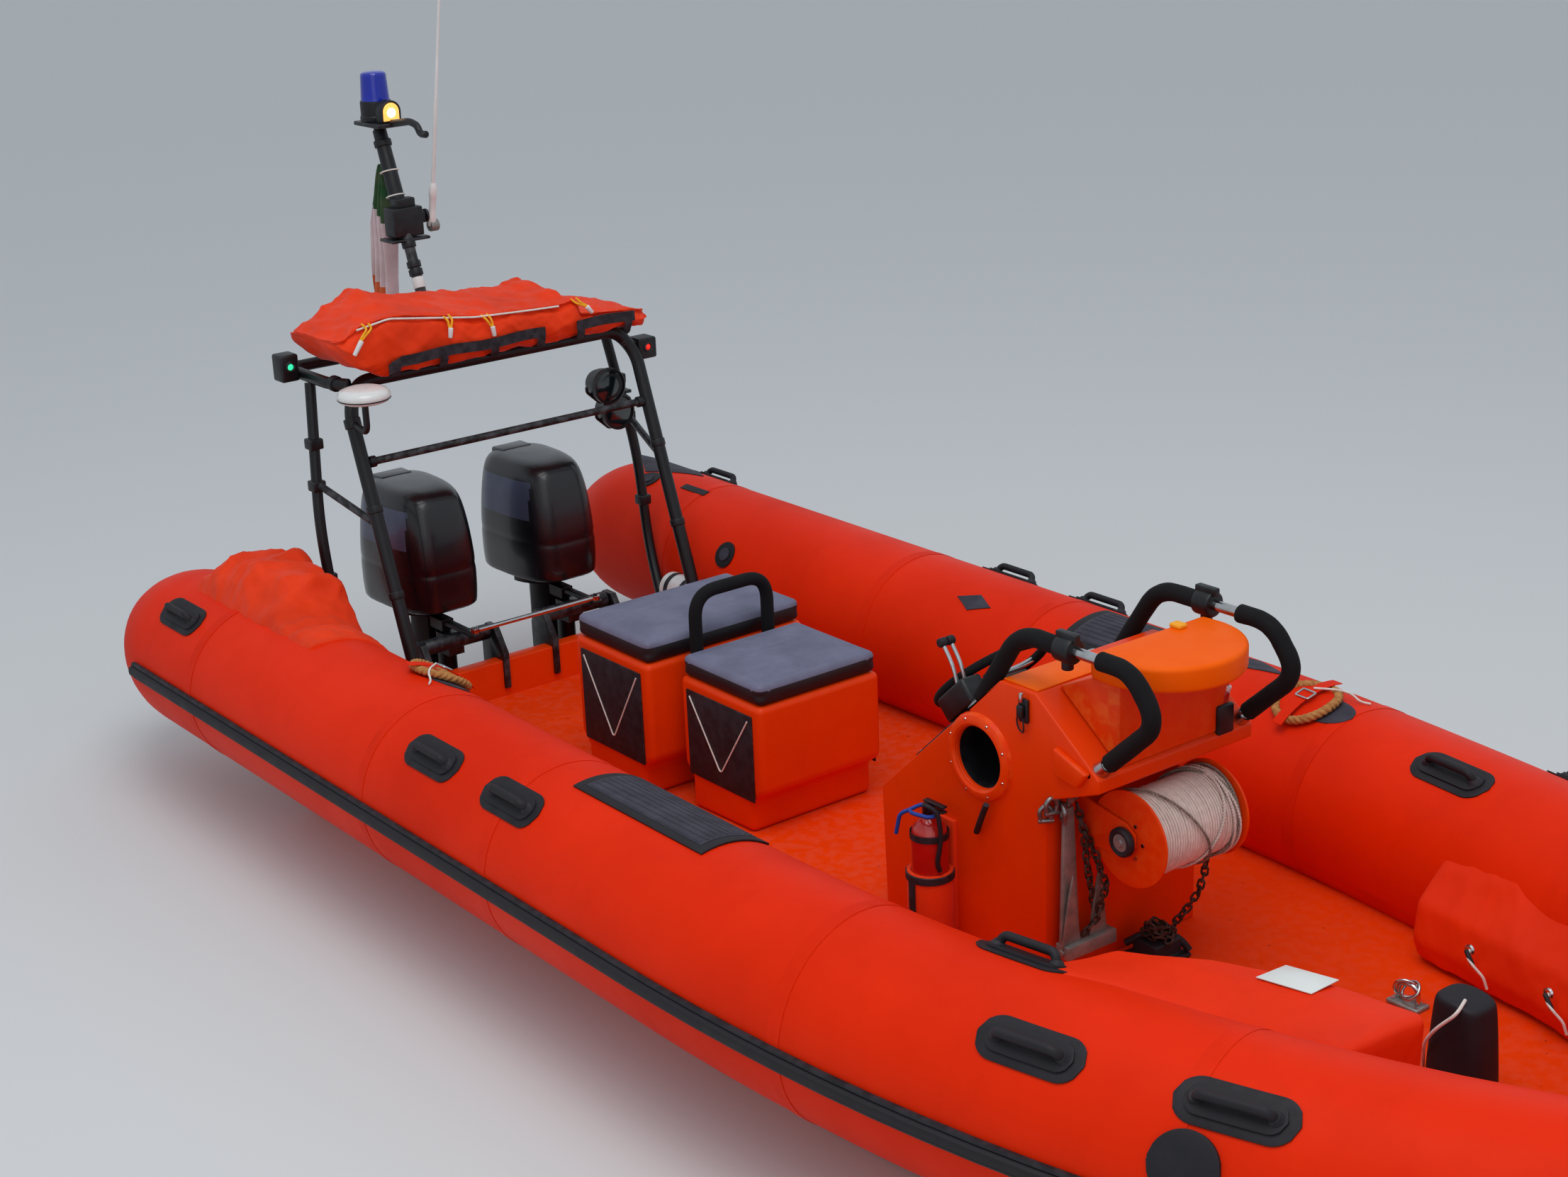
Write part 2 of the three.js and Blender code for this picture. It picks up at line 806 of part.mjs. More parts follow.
function rack() {
  const corner = 60;
  const frame = [
    at(-2570, -RACK_HALF + 40, GANTRY_Z),
    at(-2640, -RACK_HALF, GANTRY_Z),
    at(RACK_REAR_X, -RACK_HALF, GANTRY_Z),
    at(RACK_REAR_X, RACK_HALF, GANTRY_Z),
    at(-2640, RACK_HALF, GANTRY_Z),
    at(-2570, RACK_HALF - 40, GANTRY_Z),
  ];
  let shape = pipe(roundedPath(frame, corner), 22, 36, 8);
  for (const y of [-300, 0, 300]) {
    shape = shape.add(rod(at(-2570, y, GANTRY_Z), at(RACK_REAR_X, y, GANTRY_Z), 14, 8));
  }
  const shoeFloor = GANTRY_Z - 10;
  const shoeAft = RACK_REAR_X - 40;
  const shoe = block(shoeAft, shoeAft + 70, MAST_Y - 60, MAST_Y + 60, shoeFloor, shoeFloor + 40);
  return shape.add(shoe).add(mastStep()).subtract(hoopCut);
}

function aftLegPipe(side, radius) {
  const points = [
    at(-2790, side * 640, GANTRY_Z - 22.6),
    at(-2700, side * 705, 1000),
    at(-2640, side * 700, 600),
    at(-2490, side * 655, TRANSOM_TOP + GAP),
  ];
  return pipe(roundedPath(points, 120), radius, 18, 8);
}

function aftLeg(side) {
  const leg = aftLegPipe(side, 20);
  const [footIn, footOut] = side > 0 ? [620, 690] : [-690, -620];
  const foot = block(-2520, -2460, footIn, footOut, TRANSOM_TOP + GAP, TRANSOM_TOP + 14);
  const brace = rod(at(-2725, side * 690, 1150), at(-2400, side * GANTRY_HALF, 1045), 14, 8);
  const above = block(-2900, -2300, -900, 900, GANTRY_Z - 22.6, GANTRY_Z + 100);
  const below = block(-2700, -2300, -900, 900, 200, TRANSOM_TOP + GAP);
  return leg.add(foot).add(brace).subtract(hoopCut).subtract(above).subtract(below);
}

// Righting bag on the rack: y, and the top's height along its front and its back
const BAG_FLOOR = GANTRY_Z + FRAME_R + GAP;
const BAG_STATIONS = [
  [-645, 1715, 1740],
  [-480, 1765, 1805],
  [50, 1700, 1735],
  [250, 1690, 1720],
  [340, 1635, 1650],
  [650, 1600, 1610],
];

function rightingBag() {
  return loft(
    BAG_STATIONS.map(([y, front, back]) => [
      at(-2890, y, BAG_FLOOR),
      at(-2900, y, back - 40),
      at(-2840, y, back),
      at(-2500, y, front),
      at(-2450, y, front - 30),
      at(-2470, y, BAG_FLOOR),
    ]),
  );
}

const DOME = at(-2375, -GANTRY_HALF - 22, 1510);

function satelliteDome() {
  const profile = [
    [0, 0],
    [82, 0],
    [94, 14],
    [90, 34],
    [55, 50],
    [0, 54],
  ].map(([r, h]) => new THREE.Vector2(r, h));
  const dome = new THREE.LatheGeometry(profile, 24);
  dome.rotateX(Math.PI / 2);
  dome.translate(DOME.x, DOME.y, DOME.z);
  const elbow = DOME.clone().setZ(DOME.z - 110);
  const stem = rod(DOME.clone().setZ(DOME.z + 10), elbow.clone().setZ(elbow.z - 10), 12, 8);
  const arm = rod(elbow, at(-2522, -GANTRY_HALF, elbow.z), 12, 8);
  return solid(dome).add(stem).add(arm).subtract(hoopCut);
}

// The starboard light is on the rack's side and the port one on the hoop's shoulder
function navigationLight(side) {
  if (side > 0) {
    return block(-2612, -2530, 632, 717, 1405, 1487).subtract(hoopCut).subtract(rack());
  }
  const inner = RACK_HALF + 22 + GAP;
  return block(-2890, -2815, -inner - 72, -inner, GANTRY_Z - 15, GANTRY_Z + 85);
}

// Two search lamps on one bracket inside the port aft leg
function searchLamps(legCut) {
  const barrels = [
    [-2655, 545, 1308],
    [-2715, 626, 1200],
  ].map(([x, y, z]) => rod(at(x - 55, y, z), at(x + 55, y, z), 40, 14, 50));
  const bracket = block(-2745, -2660, 560, 672, 1248, 1260);
  const post = block(-2715, -2700, 600, 640, 1225, 1260);
  const drop = block(-2665, -2650, 560, 590, 1250, 1290);
  return barrels[0].add(barrels[1]).add(bracket).add(post).add(drop).subtract(legCut).subtract(hoopCut);
}

// Light mast and what it carries

const mastAxis = at(-Math.sin(MAST_LEAN), 0, Math.cos(MAST_LEAN));
const COLLAR = 395;
const onMast = (height) => MAST_FOOT.clone().addScaledVector(mastAxis, height);

function mastTube() {
  const tube = rod(onMast(-30), onMast(MAST_LENGTH - 10), 21, 12);
  const across = (y) => MAST_FOOT.clone().setY(MAST_Y + y);
  const barrel = rod(across(-28), across(28), 30, 14);
  const bore = rod(across(-60), across(60), MAST_PIN_RADIUS + 2 * GAP, 14);
  const head = onMast(MAST_LENGTH);
  const plate = block(head.x - 66, head.x + 125, MAST_Y - 66, MAST_Y + 66, head.z - 12, head.z + 4);
  const collar = onMast(COLLAR);
  const arm = block(collar.x - 12, collar.x + 45, MAST_Y + 10, MAST_Y + 95, collar.z - 60, collar.z - 20);
  return tube.add(barrel).subtract(bore).add(plate).add(arm);
}

// Ears that carry the mast's hinge pin, on the rack's rear bar
function mastStep() {
  const { x, z } = MAST_FOOT;
  const floor = GANTRY_Z + 20;
  const base = block(x - 35, x + 35, MAST_Y - 50, MAST_Y + 50, floor, floor + 10);
  const ears = [-1, 1].map((side) => {
    const y = MAST_Y + side * 40;
    return block(x - 25, x + 25, y - 8, y + 8, floor, z + 22);
  });
  const pin = rod(at(x, MAST_Y - 52, z), at(x, MAST_Y + 52, z), MAST_PIN_RADIUS, 12);
  return base.add(ears[0]).add(ears[1]).add(pin);
}

function beacon() {
  const head = onMast(MAST_LENGTH);
  const z = head.z + 4 + GAP;
  const base = rod(at(head.x, MAST_Y, z), at(head.x, MAST_Y, z + 80), 62, 20);
  const lens = rod(at(head.x, MAST_Y, z + 75), at(head.x, MAST_Y, z + 186), 55, 20, 50);
  return base.add(lens);
}

function amberLamp() {
  const head = onMast(MAST_LENGTH);
  const z = head.z + 4 + GAP;
  const x0 = head.x + 66;
  return block(x0, x0 + 55, MAST_Y - 42, MAST_Y + 42, z, z + 84);
}

const mastCut = rod(onMast(-30), onMast(MAST_LENGTH), 21 + GAP, 12);

// Ensign, tied to the mast's upper part and hanging down abaft it
const ENSIGN_BOTTOM = 1640;

function ensign() {
  const head = onMast(605);
  const tack = onMast(515);
  const cloth = outlineOf([
    [head.x, head.z],
    [tack.x, tack.z],
    [tack.x - 45, tack.z - 75],
    [head.x - 40, ENSIGN_BOTTOM],
    [head.x - 150, ENSIGN_BOTTOM + 10],
    [head.x - 140, head.z - 250],
    [head.x - 95, head.z - 10],
  ]);
  return acrossY(cloth, MAST_Y - 8, MAST_Y + 8).subtract(mastCut);
}

// Whip aerial on its ratchet, hinged on the mast's bracket
const collarPoint = onMast(COLLAR);
const WHIP_HUB = at(collarPoint.x + 10, MAST_Y + 120, collarPoint.z - 40);
const WHIP_LENGTH = 1490;
const WHIP_LEAN = THREE.MathUtils.degToRad(13);
const whipAxis = at(Math.sin(WHIP_LEAN), 0, Math.cos(WHIP_LEAN));
const onWhip = (height) => WHIP_HUB.clone().addScaledVector(whipAxis, height);

function whipAerial() {
  const across = (y) => WHIP_HUB.clone().setY(WHIP_HUB.y + y);
  const hub = rod(across(-24.7), across(22), 24, 14);
  const ferrule = rod(onWhip(0), onWhip(170), 16, 12);
  const whip = rod(onWhip(140), onWhip(WHIP_LENGTH), 8, 8, 4);
  return hub.add(ferrule).add(whip);
}

// Outboard engines

function clampBracket(side) {
  const y = side * ENGINE_Y;
  const cheek = outlineOf([
    [TRANSOM_X - 80, 130],
    [TRANSOM_X - GAP, 90],
    [TRANSOM_X - GAP, TRANSOM_TOP + GAP],
    [TRANSOM_X + TRANSOM_THICK + GAP, TRANSOM_TOP + GAP],
    [TRANSOM_X + TRANSOM_THICK + GAP, 270],
    [TRANSOM_X + TRANSOM_THICK + CLAMP_LIP, 270],
    [TRANSOM_X + TRANSOM_THICK + CLAMP_LIP, TRANSOM_TOP + 30],
    [TRANSOM_X + 10, TILT_Z + 26],
    [TILT_X - 26, TILT_Z + 26],
    [TRANSOM_X - 80, TILT_Z - 30],
  ]);
  const end = CLAMP_INNER + CLAMP_THICK;
  const tube = rod(
    at(TILT_X, y - CLAMP_INNER - 6, TILT_Z),
    at(TILT_X, y + CLAMP_INNER + 6, TILT_Z),
    TILT_TUBE_RADIUS,
    14,
  );
  return acrossY(cheek, y - end, y - CLAMP_INNER).add(acrossY(cheek, y + CLAMP_INNER, y + end)).add(tube);
}

function swivelBracket(side) {
  const y = side * ENGINE_Y;
  const sleeveHalf = CLAMP_INNER - 8;
  const sleeve = rod(at(TILT_X, y - sleeveHalf, TILT_Z), at(TILT_X, y + sleeveHalf, TILT_Z), 30, 16);
  const web = block(STEER_X, TILT_X, y - 34, y + 34, TILT_Z - 60, TILT_Z + 20);
  const column = rod(at(STEER_X, y, 150), at(STEER_X, y, TILT_Z + 20), 36, 16);
  const bore = rod(at(STEER_X, y, 100), at(STEER_X, y, TILT_Z + 60), KING_PIN_RADIUS + 2 * GAP, 16);
  const tiltRadius = TILT_TUBE_RADIUS + 2 * GAP;
  const tiltBore = rod(
    at(TILT_X, y - CLAMP_INNER, TILT_Z),
    at(TILT_X, y + CLAMP_INNER, TILT_Z),
    tiltRadius,
    14,
  );
  return sleeve.add(web).add(column).subtract(bore).subtract(tiltBore);
}

// Plan section of the leg: front x, aft x and half width about the engine's centreline
function legSection(front, aft, half, y) {
  const shape = new THREE.Shape();
  shape.moveTo(front, y - half * 0.5);
  shape.lineTo(front, y + half * 0.5);
  shape.quadraticCurveTo(front - 0.25 * (front - aft), y + half, front - 0.45 * (front - aft), y + half);
  shape.lineTo(aft, y + 6);
  shape.lineTo(aft, y - 6);
  shape.lineTo(front - 0.45 * (front - aft), y - half);
  shape.quadraticCurveTo(front - 0.25 * (front - aft), y - half, front, y - half * 0.5);
  return shape;
}

const engineX = { front: -2690, aft: -2850 };
const BULLET_NOSE = -2635;
const BULLET_LENGTH = 300;

function engineLeg(side) {
  const y = side * ENGINE_Y;
  const pin = rod(at(STEER_X, y, 100), at(STEER_X, y, 540), KING_PIN_RADIUS, 16);
  const topYoke = block(-2760, STEER_X + 24, y - 26, y + 26, TILT_Z + 26, 548);
  const lowYoke = block(-2760, STEER_X + 24, y - 26, y + 26, 96, 144);
  const arm = block(STEER_X, TILLER_X - 10, y - 16, y + 16, 530, 545).add(
    rod(at(TILLER_X, y, 530), at(TILLER_X, y, 545), 24, 14),
  );
  const tillerPin = rod(at(TILLER_X, y, 540), at(TILLER_X, y, side > 0 ? 571 : 556), 8, 10);
  const middle = upZ(legSection(engineX.front, engineX.aft - 20, 62, y), -275, 585, 5);
  const pan = upZ(legSection(-2650, -2960, 120, y), 560, 594, 5);
  const plate = upZ(legSection(-2700, -3010, 70, y), -284, -276, 5);
  const strut = upZ(legSection(-2700, -2900, 34, y), -460, -270, 5);
  const profile = [
    [0, 0],
    [26, 30],
    [48, 110],
    [50, 250],
    [42, BULLET_LENGTH],
    [0, BULLET_LENGTH],
  ].map(([r, h]) => new THREE.Vector2(r, h));
  const torpedo = new THREE.LatheGeometry(profile, 14);
  torpedo.rotateZ(Math.PI / 2);
  torpedo.translate(BULLET_NOSE, y, PROP_Z);
  const skeg = acrossY(
    outlineOf([
      [-2740, PROP_Z],
      [-2790, -625],
      [-2870, -615],
      [-2890, PROP_Z],
    ]),
    y - 6,
    y + 6,
  );
  const shaft = rod(at(-2930, y, PROP_Z), at(-3000, y, PROP_Z), 14, 10);
  const parts = [topYoke, lowYoke, arm, middle, pan, plate, strut, solid(torpedo), skeg, shaft];
  if (side > 0) {
    parts.push(tillerPin);
  }
  return parts.reduce((sum, part) => sum.add(part), pin);
}

function engineCowl(side) {
  const y = side * ENGINE_Y;
  const centre = STEER_X - 245;
  // Levels of the cowl: z, scale of the plan, shift forward
  const levels = [
    [594 + GAP, 0.88, 10],
    [690, 1, 0],
    [880, 0.97, 8],
    [1000, 0.86, 30],
    [1062, 0.62, 55],
  ];
  const rings = levels.map(([z, scale, shift]) => {
    const plan = [];
    const steps = 8;
    for (let i = 0; i <= steps; i++) {
      const turn = Math.PI / 2 + (Math.PI * i) / steps;
      plan.push([172 * Math.cos(turn), 172 * Math.sin(turn)]);
    }
    plan.push([230, -165], [325, -130], [345, -60], [345, 60], [325, 130], [230, 165]);
    return plan.map(([px, py]) => at(centre + 60 + (px - 60) * scale + shift, y + py * scale, z));
  });
  return loft(rings);
}

function propeller(side) {
  const y = side * ENGINE_Y;
  const start = BULLET_NOSE - BULLET_LENGTH - 2 * GAP;
  const hub = rod(at(start, y, PROP_Z), at(start - 105, y, PROP_Z), 44, 18, 36);
  let shape = hub;
  for (let i = 0; i < 3; i++) {
    const blade = new THREE.Shape();
    blade.moveTo(-34, 30);
    blade.lineTo(34, 30);
    blade.quadraticCurveTo(78, 95, 40, PROP_RADIUS - 8);
    blade.quadraticCurveTo(0, PROP_RADIUS + 6, -36, PROP_RADIUS - 30);
    blade.quadraticCurveTo(-62, 80, -34, 30);
    const geometry = new THREE.ExtrudeGeometry(blade, { depth: 7, bevelEnabled: false, curveSegments: 5 });
    geometry.translate(0, 0, -3.5);
    geometry.rotateY(THREE.MathUtils.degToRad(62 * side));
    geometry.rotateX(Math.PI / 2 + (2 * Math.PI * i) / 3);
    geometry.translate(start - 52, y, PROP_Z);
    shape = shape.add(solid(geometry));
  }
  const bore = rod(at(start + 10, y, PROP_Z), at(start - 70, y, PROP_Z), 15.5, 10);
  return shape.subtract(bore);
}

function tieBar() {
  const z0 = 545 + GAP;
  const bar = rod(at(TILLER_X, -ENGINE_Y, z0 + 10), at(TILLER_X, ENGINE_Y, z0 + 10), 9.5, 10);
  const upright = (side, from, to, radius, sides) => {
    const y = side * ENGINE_Y;
    return rod(at(TILLER_X, y, z0 + from), at(TILLER_X, y, z0 + to), radius, sides);
  };
  const eyes = upright(-1, 0, 20, 18, 14).add(upright(1, 0, 20, 18, 14));
  const holes = upright(-1, -5, 30, 8.8, 10).add(upright(1, -5, 30, 8.8, 10));
  return bar.add(eyes).subtract(holes);
}

// Assembly

const boat = new THREE.Group();
const place = (name, shape, material) => boat.add(meshOf(name, shape, material));
const SIDES = [
  ["port", 1],
  ["starboard", -1],
];

place("hull", hull(), ORANGE_GRP);
place("deck", deck(), ORANGE_GRP);
place("transom", transom(), ORANGE_GRP);

const portSponson = sponson();
const portStrake = rubbingStrake();
const portPad = tubePad(-450, 180, 78, 124, 10);
const whole = { port: (shape) => shape, starboard: mirrored };
for (const [name, side] of SIDES) {
  place("sponson_" + name, whole[name](portSponson), ORANGE_TUBE);
  place("rubbing_strake_" + name, whole[name](portStrake), BLACK_RUBBER);
  place("step_pad_" + name, whole[name](portPad), GREY_RUBBER);
  place("grab_rail_" + name, grabRail(side), BLACK_RUBBER);
  place("reel_bracket_" + name, reelBracket(side), ORANGE_GRP);
  place("gantry_aft_leg_" + name, aftLeg(side), BLACK_PAINT);
  place("nav_light_" + name, navigationLight(side), BLACK_PAINT);
  place("outboard_clamp_" + name, clampBracket(side), BLACK_PAINT);
  place("outboard_swivel_" + name, swivelBracket(side), BLACK_PAINT);
  place("outboard_leg_" + name, engineLeg(side), BLACK_PAINT);
  place("outboard_cowl_" + name, engineCowl(side), BLACK_PAINT);
  place("propeller_" + name, propeller(side), DARK_METAL);
}

place("console", consoleShell(), ORANGE_GRP);
place("console_hood", consoleHood(), ORANGE_GRP);
place("instrument_dash", instrumentDash(), BLACK_PAINT);
place("steering_wheel", steeringWheel(), BLACK_RUBBER);
place("throttle_control", throttleControl(), BLACK_PAINT);
place("rope_reel", ropeReel(), ROPE);
place("anchor", anchor(), GALVANISED);
place("anchor_chain", anchorChain(), DARK_METAL);
place("anchor_chock", anchorChock(), BLACK_RUBBER);
place("fire_extinguisher", extinguisher(), RED_PAINT);
place("extinguisher_holder", extinguisherHolder(), ORANGE_FABRIC);

for (const [name, seat] of Object.entries({ crew: CREW_SEAT, helm: HELM_SEAT })) {
  place(name + "_seat_pod", seatPod(seat), ORANGE_GRP);
  place(name + "_cushion", cushion(seat), GREY_CUSHION);
}
place("seat_hoop", seatHoop(), BLACK_PAINT);

place("samson_post", samsonPost(), BLACK_PAINT);
place("deck_ring", deckRing(), STEEL);
place("bow_pouch_starboard", bowPouch(-1, 1230, 2000, 370, 330, 690), ORANGE_FABRIC);
place("bow_pouch_port", bowPouch(1, 1300, 2400, 560, 330, 650), ORANGE_FABRIC);
place("quarter_bag", quarterBag(), ORANGE_FABRIC);
place("canister", canister(), WHITE);

place("gantry_hoop", onDeck(hoopBody(0).add(crossBar)), BLACK_PAINT);
place("gantry_rack", rack(), BLACK_PAINT);
place("righting_bag", rightingBag(), ORANGE_FABRIC);
place("search_lamps", searchLamps(aftLegPipe(1, 20 + GAP)), BLACK_PAINT);
place("satellite_dome", satelliteDome(), WHITE);
place("light_mast", mastTube(), BLACK_PAINT);
place("blue_beacon", beacon(), BLUE_LENS);
place("amber_lamp", amberLamp(), AMBER_LENS);
place("ensign", ensign(), FLAG_GREEN);
place("whip_aerial", whipAerial(), WHITE);
place("steering_tie_bar", tieBar(), STEEL);

export default boat;
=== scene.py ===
"""Looks of a twin-engine inshore rescue boat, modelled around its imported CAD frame.

Metres; X points to the bow, Y to port and Z up, with the origin on the centreline at the waterline.
"""

import logging
import math
from collections.abc import Callable, Iterator, Sequence
from contextlib import contextmanager
from dataclasses import dataclass, field
from enum import Enum

import bpy
from mathutils import Matrix, Vector


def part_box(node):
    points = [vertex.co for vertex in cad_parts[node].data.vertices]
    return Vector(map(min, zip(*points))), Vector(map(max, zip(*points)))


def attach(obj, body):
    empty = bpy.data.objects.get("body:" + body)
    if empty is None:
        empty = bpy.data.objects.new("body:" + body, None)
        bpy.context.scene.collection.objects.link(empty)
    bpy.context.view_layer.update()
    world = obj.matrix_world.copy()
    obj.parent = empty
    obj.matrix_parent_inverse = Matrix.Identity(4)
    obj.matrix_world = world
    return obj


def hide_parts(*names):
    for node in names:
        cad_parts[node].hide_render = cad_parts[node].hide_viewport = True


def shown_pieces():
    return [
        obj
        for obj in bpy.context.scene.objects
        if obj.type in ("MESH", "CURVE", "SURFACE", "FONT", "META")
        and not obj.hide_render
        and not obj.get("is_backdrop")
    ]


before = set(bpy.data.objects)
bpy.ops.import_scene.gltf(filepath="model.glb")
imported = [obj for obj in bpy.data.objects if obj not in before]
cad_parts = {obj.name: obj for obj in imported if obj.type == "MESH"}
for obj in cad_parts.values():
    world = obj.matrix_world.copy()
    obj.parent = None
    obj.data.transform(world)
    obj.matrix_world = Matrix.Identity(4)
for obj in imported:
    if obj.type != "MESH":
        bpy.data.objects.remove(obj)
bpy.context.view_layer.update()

LOG = logging.getLogger("rescue_boat")
Point = Sequence[float]
Shape = bpy.types.Object

# Modelling tools


def activate(shape: Shape) -> None:
    """Makes one object the only selected and active one."""
    clear_selection()
    shape.select_set(True)
    bpy.context.view_layer.objects.active = shape


def clear_selection() -> None:
    """Deselects every object, in object mode."""
    if bpy.context.object is not None and bpy.context.object.mode != "OBJECT":
        bpy.ops.object.mode_set(mode="OBJECT")
    bpy.ops.object.select_all(action="DESELECT")


@contextmanager
def editing(shape: Shape, select: str = "SELECT") -> Iterator[None]:
    """Opens an object in edit mode.

    Args:
        shape: The object to edit.
        select: SELECT or DESELECT for all of its mesh, or KEEP for what code has selected.
    """
    activate(shape)
    bpy.ops.object.mode_set(mode="EDIT")
    if select != "KEEP":
        bpy.ops.mesh.select_all(action=select)
    yield
    bpy.ops.object.mode_set(mode="OBJECT")


def name_fresh(name: str) -> Shape:
    """Names the newly added object, with its place put in its mesh, and returns it."""
    shape = bpy.context.object
    shape.name = name
    shape.data.name = name
    bpy.ops.object.transform_apply(location=True, rotation=True, scale=True)
    return shape


def turn_to(direction: Vector) -> tuple[float, float, float]:
    """Euler angles that turn the Z axis to a direction."""
    return tuple(direction.to_track_quat("Z", "Y").to_euler())


def box_form(name: str, low: Point, high: Point) -> Shape:
    """Adds a box between two corners.

    Args:
        name: The new object's name.
        low: The lowest corner.
        high: The highest corner.

    Returns:
        The box.
    """
    clear_selection()
    middle = (Vector(low) + Vector(high)) / 2
    span = Vector(high) - Vector(low)
    bpy.ops.mesh.primitive_cube_add(size=1, location=middle, scale=span)
    return name_fresh(name)


def rod_form(name: str, start: Point, end: Point, radius: float, sides: int = 32, end_radius: float = -1) -> Shape:
    """Adds a cylinder or cone between two points.

    Args:
        name: The new object's name.
        start: The centre of the first end.
        end: The centre of the second end.
        radius: The radius at the first end.
        sides: The number of sides.
        end_radius: The radius at the second end, the same where it is negative.

    Returns:
        The rod.
    """
    clear_selection()
    first, last = Vector(start), Vector(end)
    bpy.ops.mesh.primitive_cone_add(
        vertices=sides,
        radius1=radius,
        radius2=radius if end_radius < 0 else end_radius,
        depth=(last - first).length,
        location=(first + last) / 2,
        rotation=turn_to(last - first),
    )
    return name_fresh(name)


def rings_form(name: str, rings: Sequence[Sequence[Point]], closed: bool = False, caps: bool = True) -> Shape:
    """Models a skin by extruding an outline from ring to ring.

    Args:
        name: The new object's name.
        rings: Rings of equally many points, in order.
        closed: Whether the last ring joins the first.
        caps: Whether the first and last rings are filled.

    Returns:
        The skin, with its faces pointing outwards.
    """
    clear_selection()
    count = len(rings[0])
    bpy.ops.mesh.primitive_circle_add(vertices=count, radius=1, fill_type="NGON" if caps and not closed else "NOTHING")
    shape = name_fresh(name)
    for vertex, place in zip(shape.data.vertices, rings[0]):
        vertex.co = place
    loops = list(rings) + ([rings[0]] if closed else [])
    extrude = bpy.ops.mesh.extrude_region_move if caps and not closed else bpy.ops.mesh.extrude_edges_move
    for before, ring in zip(loops, loops[1:]):
        with editing(shape, "SELECT" if before is loops[0] else "KEEP"):
            extrude()
        move_ring(shape, before, ring)
    with editing(shape):
        bpy.ops.mesh.remove_doubles(threshold=1e-5)
        bpy.ops.mesh.normals_make_consistent(inside=False)
    return shape


def move_ring(shape: Shape, before: Sequence[Point], after: Sequence[Point]) -> None:
    """Moves the selected ring of points from one outline to the next.

    Args:
        shape: The object whose last ring is selected.
        before: Where its points are.
        after: Where they go, in the same order.
    """
    fresh = [vertex for vertex in shape.data.vertices if vertex.select]
    open_places = dict(enumerate(Vector(p) for p in before))
    for guess, vertex in enumerate(fresh):
        here = vertex.co
        if guess in open_places and (open_places[guess] - here).length < 1e-6:
            found = guess
        else:
            found = min(open_places, key=lambda index: (open_places[index] - here).length_squared)
        del open_places[found]
        vertex.co = after[found]


def plate_form(name: str, outline: Sequence[Point], thrust: Point) -> Shape:
    """Extrudes a flat outline of 3-D points along a vector.

    Args:
        name: The new object's name.
        outline: The outline's corners, in order.
        thrust: How far and which way it is extruded.

    Returns:
        The closed plate.
    """
    first = [Vector(p) for p in outline]
    return rings_form(name, [first, [p + Vector(thrust) for p in first]])


def turned_form(name: str, profile: Sequence[Point], base: Point, axis: Point, steps: int = 40) -> Shape:
    """Spins a profile about an axis.

    Args:
        name: The new object's name.
        profile: Radius and height pairs from the axis out and back to it.
        base: The point on the axis at height zero.
        axis: The direction of growing height.
        steps: The number of steps round.

    Returns:
        The turned solid.
    """
    clear_selection()
    bpy.ops.mesh.primitive_circle_add(vertices=len(profile), radius=1, fill_type="NOTHING")
    shape = name_fresh(name)
    up = Vector(axis).normalized()
    side = up.orthogonal().normalized()
    for vertex, (radius, height) in zip(shape.data.vertices, profile):
        vertex.co = Vector(base) + side * radius + up * height
    with editing(shape):
        bpy.ops.mesh.spin(steps=steps, angle=2 * math.pi, center=base, axis=up, use_auto_merge=True)
        bpy.ops.mesh.select_all(action="SELECT")
        bpy.ops.mesh.remove_doubles(threshold=2e-5)
        bpy.ops.mesh.delete_loose()
        bpy.ops.mesh.select_all(action="SELECT")
        bpy.ops.mesh.normals_make_consistent(inside=False)
    return shape


def rounded_path(points: Sequence[Point], corner: float) -> list[tuple[Vector, Vector, Vector]]:
    """Turns a path's corners into curves.

    Args:
        points: The path's corners.
        corner: How far before each corner its curve starts.

    Returns:
        Bezier points as place, left handle and right handle.
    """
    path = [Vector(p) for p in points]
    knots = [(path[0], path[0], path[0])]
    for before, here, after in zip(path, path[1:], path[2:]):
        reach = min(corner, (here - before).length / 2.1, (after - here).length / 2.1)
        start = here + (before - here).normalized() * reach
        end = here + (after - here).normalized() * reach
        knots.append((start, start, start.lerp(here, 2 / 3)))
        knots.append((end, end.lerp(here, 2 / 3), end))
    knots.append((path[-1], path[-1], path[-1]))
    return knots


@dataclass
class Section:
    """The section of a bent rod or rope.

    Attributes:
        radius: The radius, to the top of a lobe.
        sides: Points round the section.
        lobes: Strands that the section shows, or none for a round one.
        pitch: The length along the path of one full turn of the strands.
    """

    radius: float
    sides: int = 20
    lobes: int = 0
    pitch: float = 0.0


